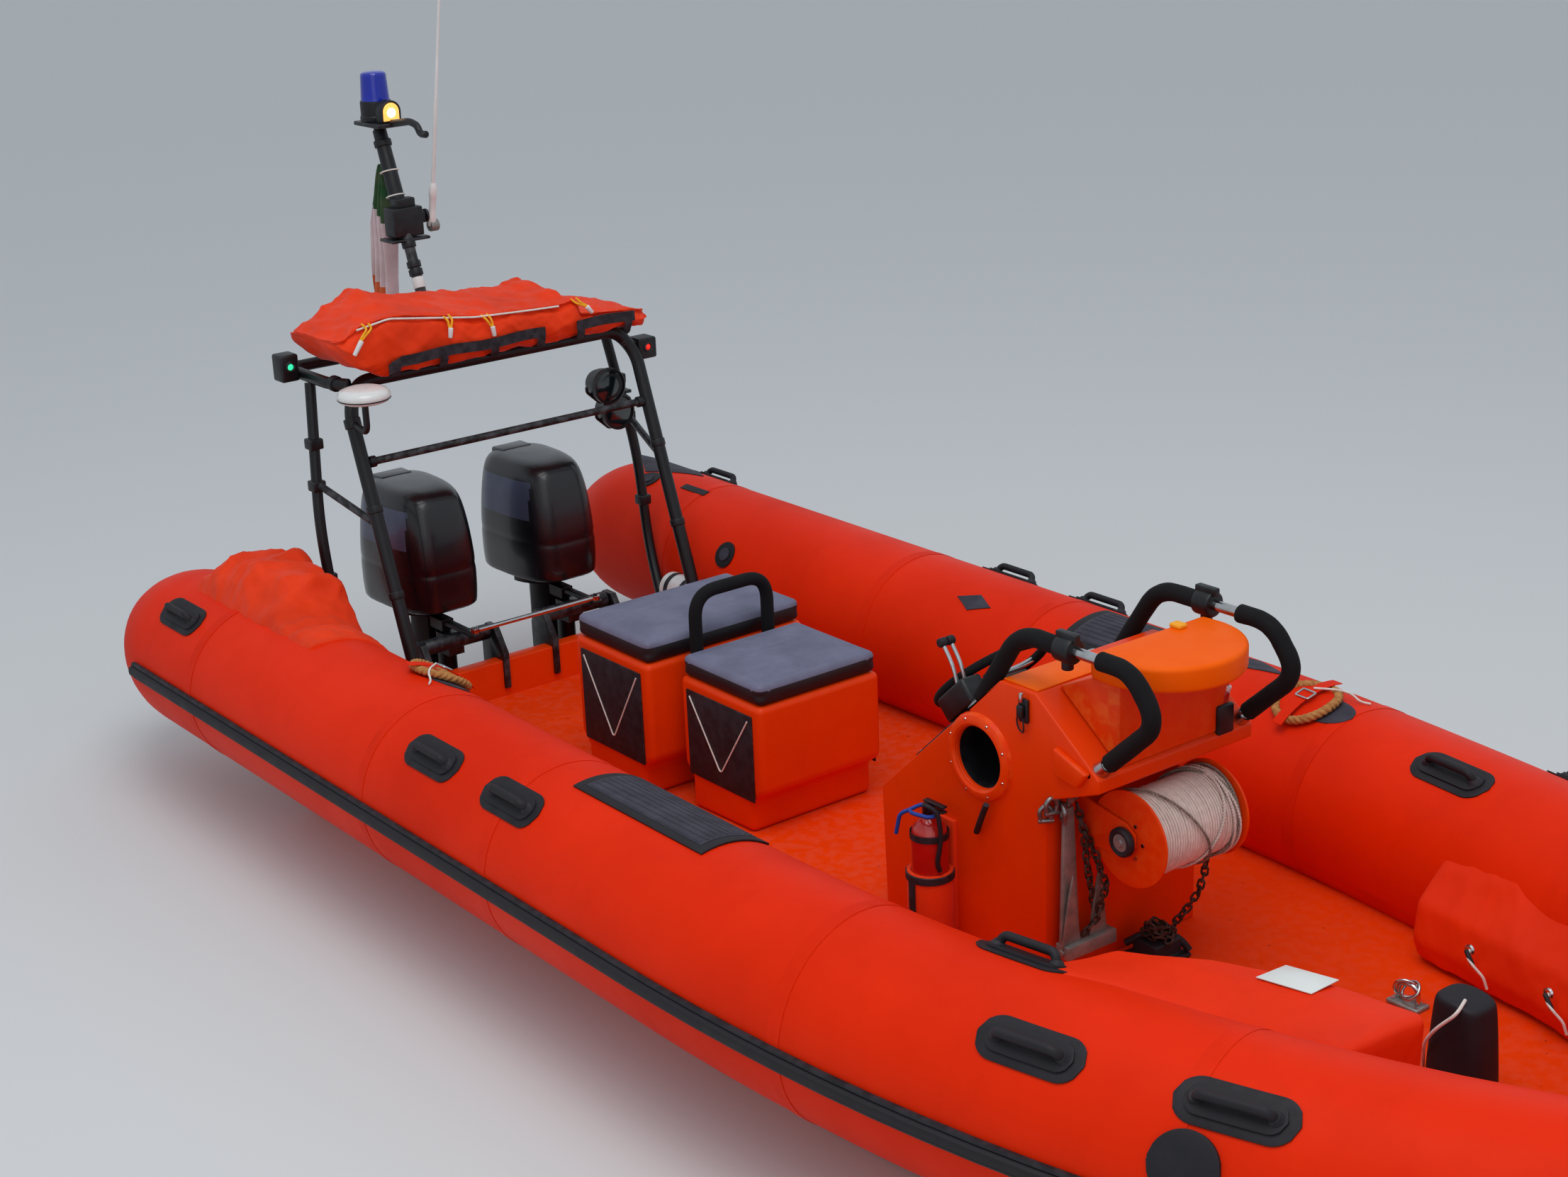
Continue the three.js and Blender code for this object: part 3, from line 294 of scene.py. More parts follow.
def bent_form(name: str, path: Sequence[Point], section: Section, corner: float = 0.0, closed: bool = False,
              smooth: int = 8) -> Shape:
    """Bends a rod or a laid rope along a path.

    Args:
        name: The new object's name.
        path: The path's corners, or its points where corner is zero.
        section: The section that follows the path.
        corner: The reach of each rounded corner.
        closed: Whether the path closes on itself.
        smooth: Steps in each curved stretch.

    Returns:
        The bent solid.
    """
    clear_selection()
    bpy.ops.curve.primitive_bezier_curve_add()
    shape = name_fresh(name)
    curve = shape.data
    curve.splines.clear()
    curve.dimensions = "3D"
    curve.twist_mode = "MINIMUM"
    curve.use_fill_caps = not closed
    curve.bevel_depth = section.radius
    curve.bevel_resolution = max(0, section.sides // 2 - 2)
    curve.resolution_u = smooth
    if corner:
        knots = rounded_path(path, corner)
        spline = curve.splines.new("BEZIER")
        spline.bezier_points.add(len(knots) - 1)
        for point, (place, left, right) in zip(spline.bezier_points, knots):
            point.handle_left_type = point.handle_right_type = "FREE"
            point.co, point.handle_left, point.handle_right = place, left, right
    else:
        spline = curve.splines.new("POLY")
        spline.points.add(len(path) - 1)
        spline.use_cyclic_u = closed
        for point, place in zip(spline.points, path):
            point.co = (*place, 1)
    strand = None
    if section.lobes:
        strand = strand_section(section)
        curve.bevel_mode = "OBJECT"
        curve.bevel_object = strand
        run = 0.0
        points = list(spline.points)
        for here, before in zip(points, [points[0]] + points):
            run += (here.co - before.co).length
            here.tilt = 2 * math.pi * run / section.pitch
    activate(shape)
    bpy.ops.object.convert(target="MESH")
    if strand is not None:
        bpy.data.objects.remove(strand)
    with editing(shape):
        bpy.ops.mesh.remove_doubles(threshold=1e-5)
        bpy.ops.mesh.normals_make_consistent(inside=False)
    return shape


def strand_section(section: Section) -> Shape:
    """Adds the lobed outline of a laid rope, for a curve to carry."""
    clear_selection()
    bpy.ops.curve.primitive_bezier_circle_add(radius=1)
    outline = bpy.context.object
    outline.data.splines.clear()
    spline = outline.data.splines.new("POLY")
    spline.points.add(section.sides - 1)
    spline.use_cyclic_u = True
    for i, point in enumerate(spline.points):
        angle = 2 * math.pi * i / section.sides
        reach = section.radius * (0.80 + 0.20 * abs(math.cos(section.lobes * angle / 2)))
        point.co = (reach * math.cos(angle), reach * math.sin(angle), 0, 1)
    return outline


def softened_copy(node: str, name: str, width: float, segments: int = 3, angle: float = 35) -> Shape:
    """Copies a CAD node and rounds its edges.

    Args:
        node: The CAD node.
        name: The copy's name.
        width: The width of the rounding.
        segments: Faces across each rounded edge.
        angle: Edges sharper than this many degrees are rounded.

    Returns:
        The copy, which is not yet dressed.
    """
    clear_selection()
    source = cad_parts[node]
    source.select_set(True)
    bpy.context.view_layer.objects.active = source
    bpy.ops.object.duplicate(linked=False)
    shape = bpy.context.object
    shape.parent = None
    for key in list(shape.keys()):
        del shape[key]
    shape.name = name
    shape.data.name = name
    shape.data.materials.clear()
    shape.hide_render = False
    with editing(shape):
        bpy.ops.mesh.remove_doubles(threshold=2e-5)
        bpy.ops.mesh.dissolve_limited(angle_limit=math.radians(0.6))
    round_edges(shape, width, segments, angle)
    return shape


def apply_modifier(shape: Shape, kind: str, **settings: object) -> None:
    """Adds a modifier with its settings, and applies it."""
    activate(shape)
    modifier = shape.modifiers.new(kind.title(), kind)
    for key, value in settings.items():
        setattr(modifier, key, value)
    bpy.ops.object.modifier_apply(modifier=modifier.name)


def round_edges(shape: Shape, width: float, segments: int = 3, angle: float = 35) -> Shape:
    """Bevels an object's sharp edges and shades it smooth."""
    apply_modifier(
        shape,
        "BEVEL",
        width=width,
        segments=segments,
        limit_method="ANGLE",
        angle_limit=math.radians(angle),
        use_clamp_overlap=True,
        harden_normals=False,
    )
    return shade(shape)


def shade(shape: Shape, angle: float = 40) -> Shape:
    """Shades an object smooth where its faces meet at less than an angle in degrees."""
    activate(shape)
    bpy.ops.object.shade_smooth_by_angle(angle=math.radians(angle), keep_sharp_edges=True)
    return shape


def copied(shape: Shape, name: str, move: Matrix) -> Shape:
    """Copies an object with a mesh of its own, and moves the copy's mesh."""
    activate(shape)
    bpy.ops.object.duplicate(linked=False)
    twin = bpy.context.object
    twin.name = name
    twin.data.name = name
    twin.data.transform(move)
    if move.determinant() < 0:
        with editing(twin):
            bpy.ops.mesh.flip_normals()
    return twin


def torus_form(name: str, middle: Point, turn: Point, radius: float, wire: float, steps: tuple[int, int]) -> Shape:
    """Adds a ring of a wire's radius, with its steps round the ring and round the wire."""
    clear_selection()
    bpy.ops.mesh.primitive_torus_add(location=middle, rotation=turn, major_radius=radius, minor_radius=wire,
                                     major_segments=steps[0], minor_segments=steps[1])
    return name_fresh(name)


def divided(corners: Sequence[Point], steps: int) -> list[tuple[float, float]]:
    """Divides each side of a closed outline of 2-D corners into equal steps."""
    sides = zip(corners, [*corners[1:], corners[0]])
    return [(a[0] + (b[0] - a[0]) * i / steps, a[1] + (b[1] - a[1]) * i / steps)
            for a, b in sides for i in range(steps)]


def crumple(place: Vector, scale: float) -> float:
    """Gives the height of a fabric's creases.

    Args:
        place: A place on the fabric.
        scale: Creases in a metre.

    Returns:
        The height, from 0 in the valleys to 1 on the sharpest ridges.
    """
    x, y, z = (value * scale for value in place)
    bend = 0.30 * math.sin(1.9 * y + 1.3 * z) + 0.22 * math.sin(2.7 * x - 2.1 * z)
    height = 0.0
    for across, along, up, shift, weight in ((0.9, 0.5, 0.7, 0.1, 0.42), (-0.6, 1.2, 0.9, 0.6, 0.33),
                                             (1.7, -0.8, 2.1, 0.3, 0.25)):
        wave = (across * x + along * y + up * z + shift + bend) % 1.0
        height += weight * (1 - abs(2 * wave - 1)) ** 1.8
    return height


def crumpled(shape: Shape, depth: float, scale: float, held: Callable[[Vector], float] = lambda place: 1.0) -> Shape:
    """Raises a fabric's skin into creases.

    Args:
        shape: The fabric.
        depth: The creases' depth.
        scale: Creases in a metre.
        held: The share of the depth that a place takes.

    Returns:
        The shape.
    """
    moved = [v.co + v.normal * depth * held(v.co) * (crumple(v.co, scale) - 0.45) for v in shape.data.vertices]
    for vertex, place in zip(shape.data.vertices, moved):
        vertex.co = place
    return shape


def joined(name: str, shapes: Sequence[Shape]) -> Shape:
    """Joins objects into one piece of one mesh."""
    activate(shapes[0])
    for shape in shapes[1:]:
        shape.select_set(True)
    bpy.ops.object.join()
    shapes[0].name = name
    shapes[0].data.name = name
    return shapes[0]


MIRROR = Matrix.Scale(-1, 4, (0, 1, 0))
SIDES = (("port", 1), ("starboard", -1))

# Finishes


def linear(code: str) -> tuple[float, float, float, float]:
    """Turns a screen colour such as "#e03404" into linear light."""
    values = [int(code[i:i + 2], 16) / 255 for i in (1, 3, 5)]
    red, green, blue = (v / 12.92 if v <= 0.04045 else ((v + 0.055) / 1.055) ** 2.4 for v in values)
    return red, green, blue, 1.0


class Wiring:
    """Adds and links nodes in one node tree."""

    def __init__(self, tree: bpy.types.NodeTree) -> None:
        """Takes the node tree to work in."""
        self.tree = tree

    def add(self, kind: str, inputs: dict[str, object] | None = None, **settings: object) -> bpy.types.Node:
        """Adds a node.

        Args:
            kind: The node's type.
            inputs: Values, or output sockets to link from, by input name or number.
            settings: The node's own settings.

        Returns:
            The node.
        """
        node = self.tree.nodes.new(kind)
        for key, value in settings.items():
            setattr(node, key, value)
        for key, value in (inputs or {}).items():
            socket = node.inputs[key]
            if isinstance(value, bpy.types.NodeSocket):
                self.link(value, socket)
            else:
                socket.default_value = value
        return node

    def group(self, tree: bpy.types.NodeTree, inputs: dict[str, object]) -> bpy.types.Node:
        """Adds a shared node group with its values and returns its node."""
        return self.add("ShaderNodeGroup", inputs, node_tree=tree)

    def link(self, output: bpy.types.NodeSocket, socket: bpy.types.NodeSocket) -> None:
        """Links an output to an input."""
        self.tree.links.new(output, socket)

    def math(self, operation: str, first: object, second: object = 0.0, clamp: bool = False) -> bpy.types.NodeSocket:
        """Adds a math node and returns its output."""
        return self.add("ShaderNodeMath", {0: first, 1: second}, operation=operation, use_clamp=clamp).outputs[0]

    def blend(self, share: object, first: object, second: object) -> bpy.types.NodeSocket:
        """Mixes two colours by a share and returns the result."""
        node = self.add("ShaderNodeMix", {0: share, 6: first, 7: second}, data_type="RGBA", clamp_factor=True)
        return node.outputs[2]

    def spread(self, value: object, low: float, high: float, out_low: float, out_high: float) -> bpy.types.NodeSocket:
        """Maps a value from one range to another, clamped, and returns the result."""
        return self.add(
            "ShaderNodeMapRange",
            {"Value": value, "From Min": low, "From Max": high, "To Min": out_low, "To Max": out_high},
        ).outputs[0]


def new_group(name: str, inputs: dict[str, tuple[str, object]], outputs: dict[str, str]) -> tuple:
    """Makes a shader node group with named sockets.

    Args:
        name: The group's name.
        inputs: Socket types and first values by name.
        outputs: Socket types by name.

    Returns:
        The group, its wiring, and the sockets of its input and output nodes.
    """
    tree = bpy.data.node_groups.new(name, "ShaderNodeTree")
    for key, (kind, value) in inputs.items():
        socket = tree.interface.new_socket(key, in_out="INPUT", socket_type=kind)
        if value is not None:
            socket.default_value = value
    for key, kind in outputs.items():
        tree.interface.new_socket(key, in_out="OUTPUT", socket_type=kind)
    wiring = Wiring(tree)
    return tree, wiring, wiring.add("NodeGroupInput").outputs, wiring.add("NodeGroupOutput").inputs


VALUE, COLOUR, VECTOR = "NodeSocketFloat", "NodeSocketColor", "NodeSocketVector"


class Effects:
    """The shared surface effects, each a node group that is built once."""

    def __init__(self) -> None:
        """Builds every group."""
        self.mottle = self.build_mottle()
        self.specks = self.build_specks()
        self.edges = self.build_edges()
        self.grime = self.build_grime()
        self.weave = self.build_weave()
        self.grain = self.build_grain()

    def build_mottle(self) -> bpy.types.NodeTree:
        """Builds broad tone variation. Returns the group."""
        tree, w, source, sink = new_group(
            "mottle",
            {"Vector": (VECTOR, None), "Tone": (COLOUR, None), "Shade": (COLOUR, None), "Scale": (VALUE, 4.0),
             "Amount": (VALUE, 0.5)},
            {"Color": COLOUR, "Mask": VALUE},
        )
        broad = w.add("ShaderNodeTexNoise", {"Vector": source["Vector"], "Scale": source["Scale"],
                                             "Detail": 5.0, "Roughness": 0.6})
        mask = w.spread(broad.outputs["Fac"], 0.38, 0.68, 0.0, 1.0)
        share = w.math("MULTIPLY", mask, source["Amount"], clamp=True)
        w.link(w.blend(share, source["Tone"], source["Shade"]), sink["Color"])
        w.link(mask, sink["Mask"])
        return tree

    def build_specks(self) -> bpy.types.NodeTree:
        """Builds small scattered dark specks. Returns the group."""
        tree, w, source, sink = new_group(
            "specks",
            {"Vector": (VECTOR, None), "Scale": (VALUE, 40.0), "Amount": (VALUE, 0.5)},
            {"Mask": VALUE},
        )
        cells = w.add("ShaderNodeTexVoronoi", {"Vector": source["Vector"], "Scale": source["Scale"],
                                               "Randomness": 1.0})
        size = w.add("ShaderNodeTexNoise", {"Vector": source["Vector"], "Scale": 9.0, "Detail": 3.0})
        limit = w.spread(size.outputs["Fac"], 0.45, 0.75, 0.02, 0.16)
        near = w.math("LESS_THAN", cells.outputs["Distance"], limit)
        mask = w.math("MULTIPLY", near, source["Amount"], clamp=True)
        w.link(mask, sink["Mask"])
        return tree

    def build_edges(self) -> bpy.types.NodeTree:
        """Builds wear along outer edges. Returns the group."""
        tree, w, source, sink = new_group(
            "edge_wear", {"Vector": (VECTOR, None), "Amount": (VALUE, 0.5)}, {"Mask": VALUE}
        )
        corner = w.spread(w.add("ShaderNodeNewGeometry").outputs["Pointiness"], 0.53, 0.62, 0.0, 1.0)
        broken = w.add("ShaderNodeTexNoise", {"Vector": source["Vector"], "Scale": 30.0, "Detail": 6.0})
        rough = w.spread(broken.outputs["Fac"], 0.42, 0.6, 0.0, 1.0)
        both = w.math("MULTIPLY", corner, rough)
        w.link(w.math("MULTIPLY", both, source["Amount"], clamp=True), sink["Mask"])
        return tree

    def build_grime(self) -> bpy.types.NodeTree:
        """Builds thin streaks and smudges of dirt. Returns the group."""
        tree, w, source, sink = new_group(
            "grime", {"Vector": (VECTOR, None), "Scale": (VALUE, 3.0), "Amount": (VALUE, 0.4)}, {"Mask": VALUE}
        )
        long_way = w.add("ShaderNodeMapping", {"Vector": source["Vector"], "Scale": (1.0, 1.0, 0.35)})
        smudge = w.add("ShaderNodeTexNoise", {"Vector": long_way.outputs[0], "Scale": source["Scale"],
                                              "Detail": 8.0, "Roughness": 0.72, "Distortion": 0.6})
        mask = w.spread(smudge.outputs["Fac"], 0.52, 0.74, 0.0, 1.0)
        w.link(w.math("MULTIPLY", mask, source["Amount"], clamp=True), sink["Mask"])
        return tree

    def build_weave(self) -> bpy.types.NodeTree:
        """Builds crossed threads as a height. Returns the group."""
        tree, w, source, sink = new_group(
            "weave", {"Vector": (VECTOR, None), "Scale": (VALUE, 150.0)}, {"Height": VALUE}
        )
        turned = w.add("ShaderNodeMapping", {"Vector": source["Vector"], "Rotation": (0.5, 0.35, 0.6)})
        bands = [
            w.add("ShaderNodeTexWave", {"Vector": turned.outputs[0], "Scale": source["Scale"]},
                  wave_type="BANDS", bands_direction=way).outputs["Fac"]
            for way in ("X", "Y")
        ]
        w.link(w.math("MAXIMUM", bands[0], bands[1]), sink["Height"])
        return tree

    def build_grain(self) -> bpy.types.NodeTree:
        """Builds fine grain as a height. Returns the group."""
        tree, w, source, sink = new_group(
            "grain", {"Vector": (VECTOR, None), "Scale": (VALUE, 300.0)}, {"Height": VALUE}
        )
        fine = w.add("ShaderNodeTexNoise", {"Vector": source["Vector"], "Scale": source["Scale"],
                                            "Detail": 2.0})
        wide = w.add("ShaderNodeTexNoise", {"Vector": source["Vector"], "Scale": 14.0, "Detail": 4.0})
        w.link(w.math("ADD", fine.outputs["Fac"], w.math("MULTIPLY", wide.outputs["Fac"], 0.6)),
                         sink["Height"])
        return tree


EFFECTS = Effects()


@dataclass(frozen=True)
class Finish:
    """One surface finish.

    Attributes:
        name: The material's name.
        slot: The record's material slot that it stands for. It is not used.
        tone: The main colour.
        shade_tone: The colour of the darker or dirtier patches.
        roughness: The middle roughness.
        metallic: How metallic it is.
        mottle: The scale and amount of the broad variation.
        specks: The scale and amount of small dark specks.
        wear: The amount of wear along edges.
        wear_tone: The colour that wear shows.
        grime: The amount of dirt.
        grain: The scale and depth in metres of fine grain.
        weave: The scale and depth in metres of woven threads.
        coat: The weight of a clear coat.
        sheen: The weight of a fabric's sheen.
        gloss: The specular level.
        glow: The strength of the light that it gives off.
    """

    name: str
    slot: str
    tone: str
    shade_tone: str = "#201810"
    roughness: float = 0.5
    metallic: float = 0.0
    mottle: tuple[float, float] = (4.0, 0.25)
    specks: tuple[float, float] = (60.0, 0.0)
    wear: float = 0.0
    wear_tone: str = "#b8a898"
    grime: float = 0.12
    grain: tuple[float, float] = (400.0, 0.0001)
    weave: tuple[float, float] = (150.0, 0.0)
    coat: float = 0.0
    sheen: float = 0.0
    gloss: float = 0.5
    glow: float = 0.0

    def material(self) -> bpy.types.Material:
        """Returns the finish's material, and builds it the first time."""
        made = bpy.data.materials.get(self.name)
        return made if made is not None else self.build()

    def colour(self, w: Wiring, place: bpy.types.NodeSocket) -> bpy.types.NodeSocket:
        """Wires the colour before wear and dirt, and returns it. Striped finishes change this."""
        return linear(self.tone)

    def build(self) -> bpy.types.Material:
        """Builds the material from the shared effects.

        Returns:
            The material.
        """
        material = bpy.data.materials.new(self.name)
        material.use_nodes = True
        material.diffuse_color = linear(self.tone)
        w = Wiring(material.node_tree)
        shader = material.node_tree.nodes["Principled BSDF"]
        place = w.add("ShaderNodeTexCoord").outputs["Object"]
        tone = self.colour(w, place)
        broad = w.group(EFFECTS.mottle, {"Vector": place, "Tone": tone, "Shade": linear(self.shade_tone),
                                                "Scale": self.mottle[0], "Amount": self.mottle[1]})
        colour = broad.outputs["Color"]
        if self.specks[1]:
            specks = w.group(EFFECTS.specks, {"Vector": place, "Scale": self.specks[0],
                                                     "Amount": self.specks[1]})
            colour = w.blend(specks.outputs["Mask"], colour, linear("#3a1a10"))
        if self.grime:
            dirt = w.group(EFFECTS.grime, {"Vector": place, "Scale": 3.4, "Amount": self.grime})
            colour = w.blend(dirt.outputs["Mask"], colour, linear(self.shade_tone))
        if self.wear:
            worn = w.group(EFFECTS.edges, {"Vector": place, "Amount": self.wear})
            colour = w.blend(worn.outputs["Mask"], colour, linear(self.wear_tone))
        w.link(colour, shader.inputs["Base Color"])
        rough = w.spread(broad.outputs["Mask"], 0.0, 1.0, max(0.03, self.roughness - 0.06),
                         min(1.0, self.roughness + 0.09))
        w.link(rough, shader.inputs["Roughness"])
        self.wire_relief(w, place, shader)
        for socket, value in (("Metallic", self.metallic), ("Coat Weight", self.coat), ("Sheen Weight", self.sheen),
                              ("Specular IOR Level", self.gloss)):
            shader.inputs[socket].default_value = value
        if self.coat:
            shader.inputs["Coat Roughness"].default_value = 0.08
        if self.glow:
            shader.inputs["Emission Color"].default_value = linear(self.tone)
            shader.inputs["Emission Strength"].default_value = self.glow
        return material

    def wire_relief(self, w: Wiring, place: bpy.types.NodeSocket, shader: bpy.types.Node) -> None:
        """Wires the grain and the weave into the shader's normal.

        Args:
            w: The material's wiring.
            place: The object coordinates.
            shader: The shader that takes the normal.
        """
        normal = None
        for group, (scale, depth) in ((EFFECTS.grain, self.grain), (EFFECTS.weave, self.weave)):
            if not depth:
                continue
            height = w.group(group, {"Vector": place, "Scale": scale}).outputs["Height"]
            inputs = {"Height": height, "Distance": depth, "Strength": 1.0}
            if normal is not None:
                inputs["Normal"] = normal
            normal = w.add("ShaderNodeBump", inputs).outputs["Normal"]
        if normal is not None:
            w.link(normal, shader.inputs["Normal"])


@dataclass(frozen=True)
class BandedFinish(Finish):
    """A finish whose colour changes at steps along one direction.

    Attributes:
        way: The direction that the steps run along.
        steps: Distances along the direction, each with the colour that starts there.
    """

    way: tuple[float, float, float] = (0.0, 0.0, 1.0)
    steps: tuple[tuple[float, str], ...] = ()

    def colour(self, w: Wiring, place: bpy.types.NodeSocket) -> bpy.types.NodeSocket:
        """Wires the stepped colour and returns it."""
        along = w.add("ShaderNodeVectorMath", {0: place, 1: self.way}, operation="DOT_PRODUCT").outputs["Value"]
        colour = linear(self.tone)
        for start, tone in self.steps:
            colour = w.blend(w.math("GREATER_THAN", along, start), colour, linear(tone))
        return colour


TUBE_COAT = Finish("tube_coat", "tube_orange", "#e62a00", "#bc1a00", roughness=0.5, mottle=(1.4, 0.4), grime=0.2,
                   grain=(700.0, 0.00012), weave=(240.0, 0.00004), gloss=0.08)
SEAM_COAT = Finish("seam_coat", "tube_orange", "#e42800", "#b01800", roughness=0.52, mottle=(3.0, 0.4), grime=0.2,
                   gloss=0.08)
GELCOAT = Finish("gelcoat", "moulding_orange", "#e83c00", "#c02a00", roughness=0.4, mottle=(2.4, 0.3), wear=0.3,
                 wear_tone="#f08030", grime=0.16, grain=(260.0, 0.0001), coat=0.04, gloss=0.16)
HOOD_COAT = Finish("hood_coat", "moulding_orange", "#f46000", "#e04800", roughness=0.45, mottle=(3.0, 0.3), wear=0.2,
                   wear_tone="#ff9030", grime=0.1, grain=(260.0, 0.0001), gloss=0.08)
HULL_COAT = Finish("hull_coat", "moulding_orange", "#e43a00", "#7c3010", roughness=0.34, mottle=(1.2, 0.4), wear=0.3,
                   grime=0.35, coat=0.15, gloss=0.3)
DECK_PAINT = Finish("deck_paint", "deck_orange", "#ea3c00", "#ca2c00", roughness=0.66, mottle=(1.6, 0.4),
                    specks=(26.0, 0.6), wear=0.1, grime=0.2, grain=(520.0, 0.0006), gloss=0.06)
COVER_FABRIC = Finish("cover_fabric", "fabric_orange", "#ee3a04", "#b42600", roughness=0.62, mottle=(5.0, 0.4),
                      grime=0.2, grain=(120.0, 0.0003), weave=(170.0, 0.00025), sheen=0.03, gloss=0.2)
POUCH_FABRIC = Finish("pouch_fabric", "fabric_orange", "#ea2e00", "#c22000", roughness=0.56, mottle=(2.0, 0.4),
                      grime=0.18, grain=(160.0, 0.0002), weave=(200.0, 0.0001), gloss=0.14)
BLACK_RUBBER = Finish("black_rubber", "rubber_black", "#131116", "#26222a", roughness=0.62, mottle=(12.0, 0.5),
                      wear=0.3, wear_tone="#4c4850", grime=0.1, grain=(500.0, 0.0001), gloss=0.35)
GREY_RUBBER = Finish("grey_rubber", "rubber_grey", "#3c3a46", "#232028", roughness=0.7, mottle=(14.0, 0.5),
                     wear=0.3, wear_tone="#77747e", grime=0.25, grain=(420.0, 0.0002), gloss=0.3)
DARK_PATCH = Finish("dark_patch", "rubber_black", "#201d22", "#100e12", roughness=0.6, mottle=(12.0, 0.5),
                    wear=0.25, wear_tone="#56525a", grime=0.15, grain=(420.0, 0.0002), gloss=0.3)
FOAM = Finish("foam_sleeve", "foam_black", "#060608", "#141317", roughness=0.9, mottle=(16.0, 0.5), grime=0.06,
              grain=(240.0, 0.0005), gloss=0.3)
FRAME_PAINT = Finish("frame_paint", "frame_black", "#08090c", "#1a1b20", roughness=0.44, mottle=(7.0, 0.4),
                     wear=0.6, wear_tone="#5a5a5e", grime=0.08, grain=(300.0, 0.0001), gloss=0.4)
ENGINE_PAINT = Finish("engine_paint", "engine_metal", "#0b0c10", "#202227", roughness=0.4, mottle=(6.0, 0.4),
                      wear=0.5, wear_tone="#6c6e74", grime=0.15, grain=(200.0, 0.0002), gloss=0.4)
COWL_GLOSS = Finish("cowl_gloss", "engine_black", "#07070c", "#14141c", roughness=0.3, mottle=(2.0, 0.3), wear=0.3,
                    wear_tone="#3c3e48", grime=0.08, grain=(90.0, 0.00004), coat=0.25)
COWL_BAND = Finish("cowl_band", "engine_black", "#4a5068", "#363a4e", roughness=0.36, metallic=0.4, mottle=(8.0, 0.3),
                   coat=0.3)
SEAT_VINYL = Finish("seat_vinyl", "cushion_grey", "#6c6d84", "#4a4b5e", roughness=0.6, mottle=(6.0, 0.5), grime=0.08,
                    grain=(180.0, 0.0005), weave=(90.0, 0.0001), gloss=0.35)
SEAT_EDGE = Finish("seat_edge", "cushion_grey", "#0d0c11", "#1e1c22", roughness=0.6, mottle=(9.0, 0.4),
                   grain=(160.0, 0.0003))
BRIGHT_STEEL = Finish("bright_steel", "steel", "#c6c8ca", "#8c8a86", roughness=0.2, metallic=1.0, mottle=(30.0, 0.4),
                      grime=0.2, grain=(500.0, 0.00005))
WORN_STEEL = Finish("worn_steel", "steel", "#8e8e8c", "#4c4844", roughness=0.36, metallic=0.9, mottle=(60.0, 0.6),
                    grime=0.3, grain=(300.0, 0.0002))
ZINC = Finish("zinc", "galvanised", "#94948f", "#62625e", roughness=0.55, metallic=0.6, mottle=(16.0, 0.7),
              wear=0.3, wear_tone="#b8b6b0", grime=0.35, grain=(140.0, 0.0004))
RUSTED = Finish("rusted_chain", "dark_steel", "#2a1e1a", "#5c3018", roughness=0.68, metallic=0.4, mottle=(40.0, 0.7),
                wear=0.4, wear_tone="#80746c", grime=0.3, grain=(300.0, 0.0004))
BRONZE = Finish("propeller_metal", "dark_steel", "#2c2a2c", "#504c4a", roughness=0.36, metallic=0.9,
                mottle=(20.0, 0.5), wear=0.5, wear_tone="#a09c98")
WARP_ROPE = Finish("warp_rope", "rope", "#e2d2c8", "#b6a49a", roughness=0.88, mottle=(60.0, 0.4), grime=0.1,
                   grain=(900.0, 0.0004), gloss=0.3)
LOOSE_ROPE = Finish("loose_rope", "rope", "#9c8c80", "#54483e", roughness=0.9, mottle=(40.0, 0.6), grime=0.25,
                    grain=(900.0, 0.0004), gloss=0.2)
TAN_ROPE = Finish("tan_rope", "rope", "#c08a4c", "#8c4c20", roughness=0.88, mottle=(60.0, 0.7), grime=0.25,
                  grain=(900.0, 0.0004))
WHITE_CORD = Finish("white_cord", "rope", "#e2dcd4", "#a49c94", roughness=0.8, mottle=(50.0, 0.4),
                    grain=(1200.0, 0.0002))
YELLOW_CORD = Finish("yellow_cord", "rope", "#f0a808", "#b87404", roughness=0.75, mottle=(50.0, 0.4),
                     grain=(1200.0, 0.0002))
RED_ENAMEL = Finish("red_enamel", "red", "#b8120a", "#780a04", roughness=0.24, mottle=(8.0, 0.3), wear=0.5,
                    wear_tone="#d8a090", coat=0.4)
WHITE_GLOSS = Finish("white_gloss", "white", "#dededc", "#aeaaa4", roughness=0.28, mottle=(6.0, 0.3), grime=0.2,
                     coat=0.3)
DARK_PLASTIC = Finish("dark_plastic", "instrument_black", "#0a0b0e", "#1c1d22", roughness=0.45, mottle=(10.0, 0.4),
                      wear=0.4, wear_tone="#46464c", grain=(350.0, 0.0001), gloss=0.4)
DIAL_GLASS = Finish("dial_glass", "instrument_black", "#0c1418", "#182428", roughness=0.06, coat=1.0, grime=0.05)
BLUE_GLASS = Finish("blue_glass", "blue_lens", "#0620a0", "#040e58", roughness=0.12, mottle=(12.0, 0.4), coat=0.6,
                    glow=0.06)
AMBER_GLOW = Finish("amber_glow", "amber_lens", "#ffb458", "#f07818", roughness=0.2, mottle=(18.0, 0.3), glow=1.1)
HOT_GLOW = Finish("hot_glow", "amber_lens", "#fff0c0", "#ffd890", roughness=0.2, mottle=(18.0, 0.2), glow=2.4)
GREEN_GLOW = Finish("green_glow", "instrument_black", "#30e0a0", "#10a070", roughness=0.2, glow=1.0)
RED_GLOW = Finish("red_glow", "instrument_black", "#f02818", "#a01008", roughness=0.2, glow=0.6)
BLUE_WEB = Finish("blue_webbing", "fabric_orange", "#1040a0", "#082058", roughness=0.7, weave=(300.0, 0.0002))
GREEN_CAP = Finish("green_cap", "white", "#30b818", "#187c0c", roughness=0.35, coat=0.2)
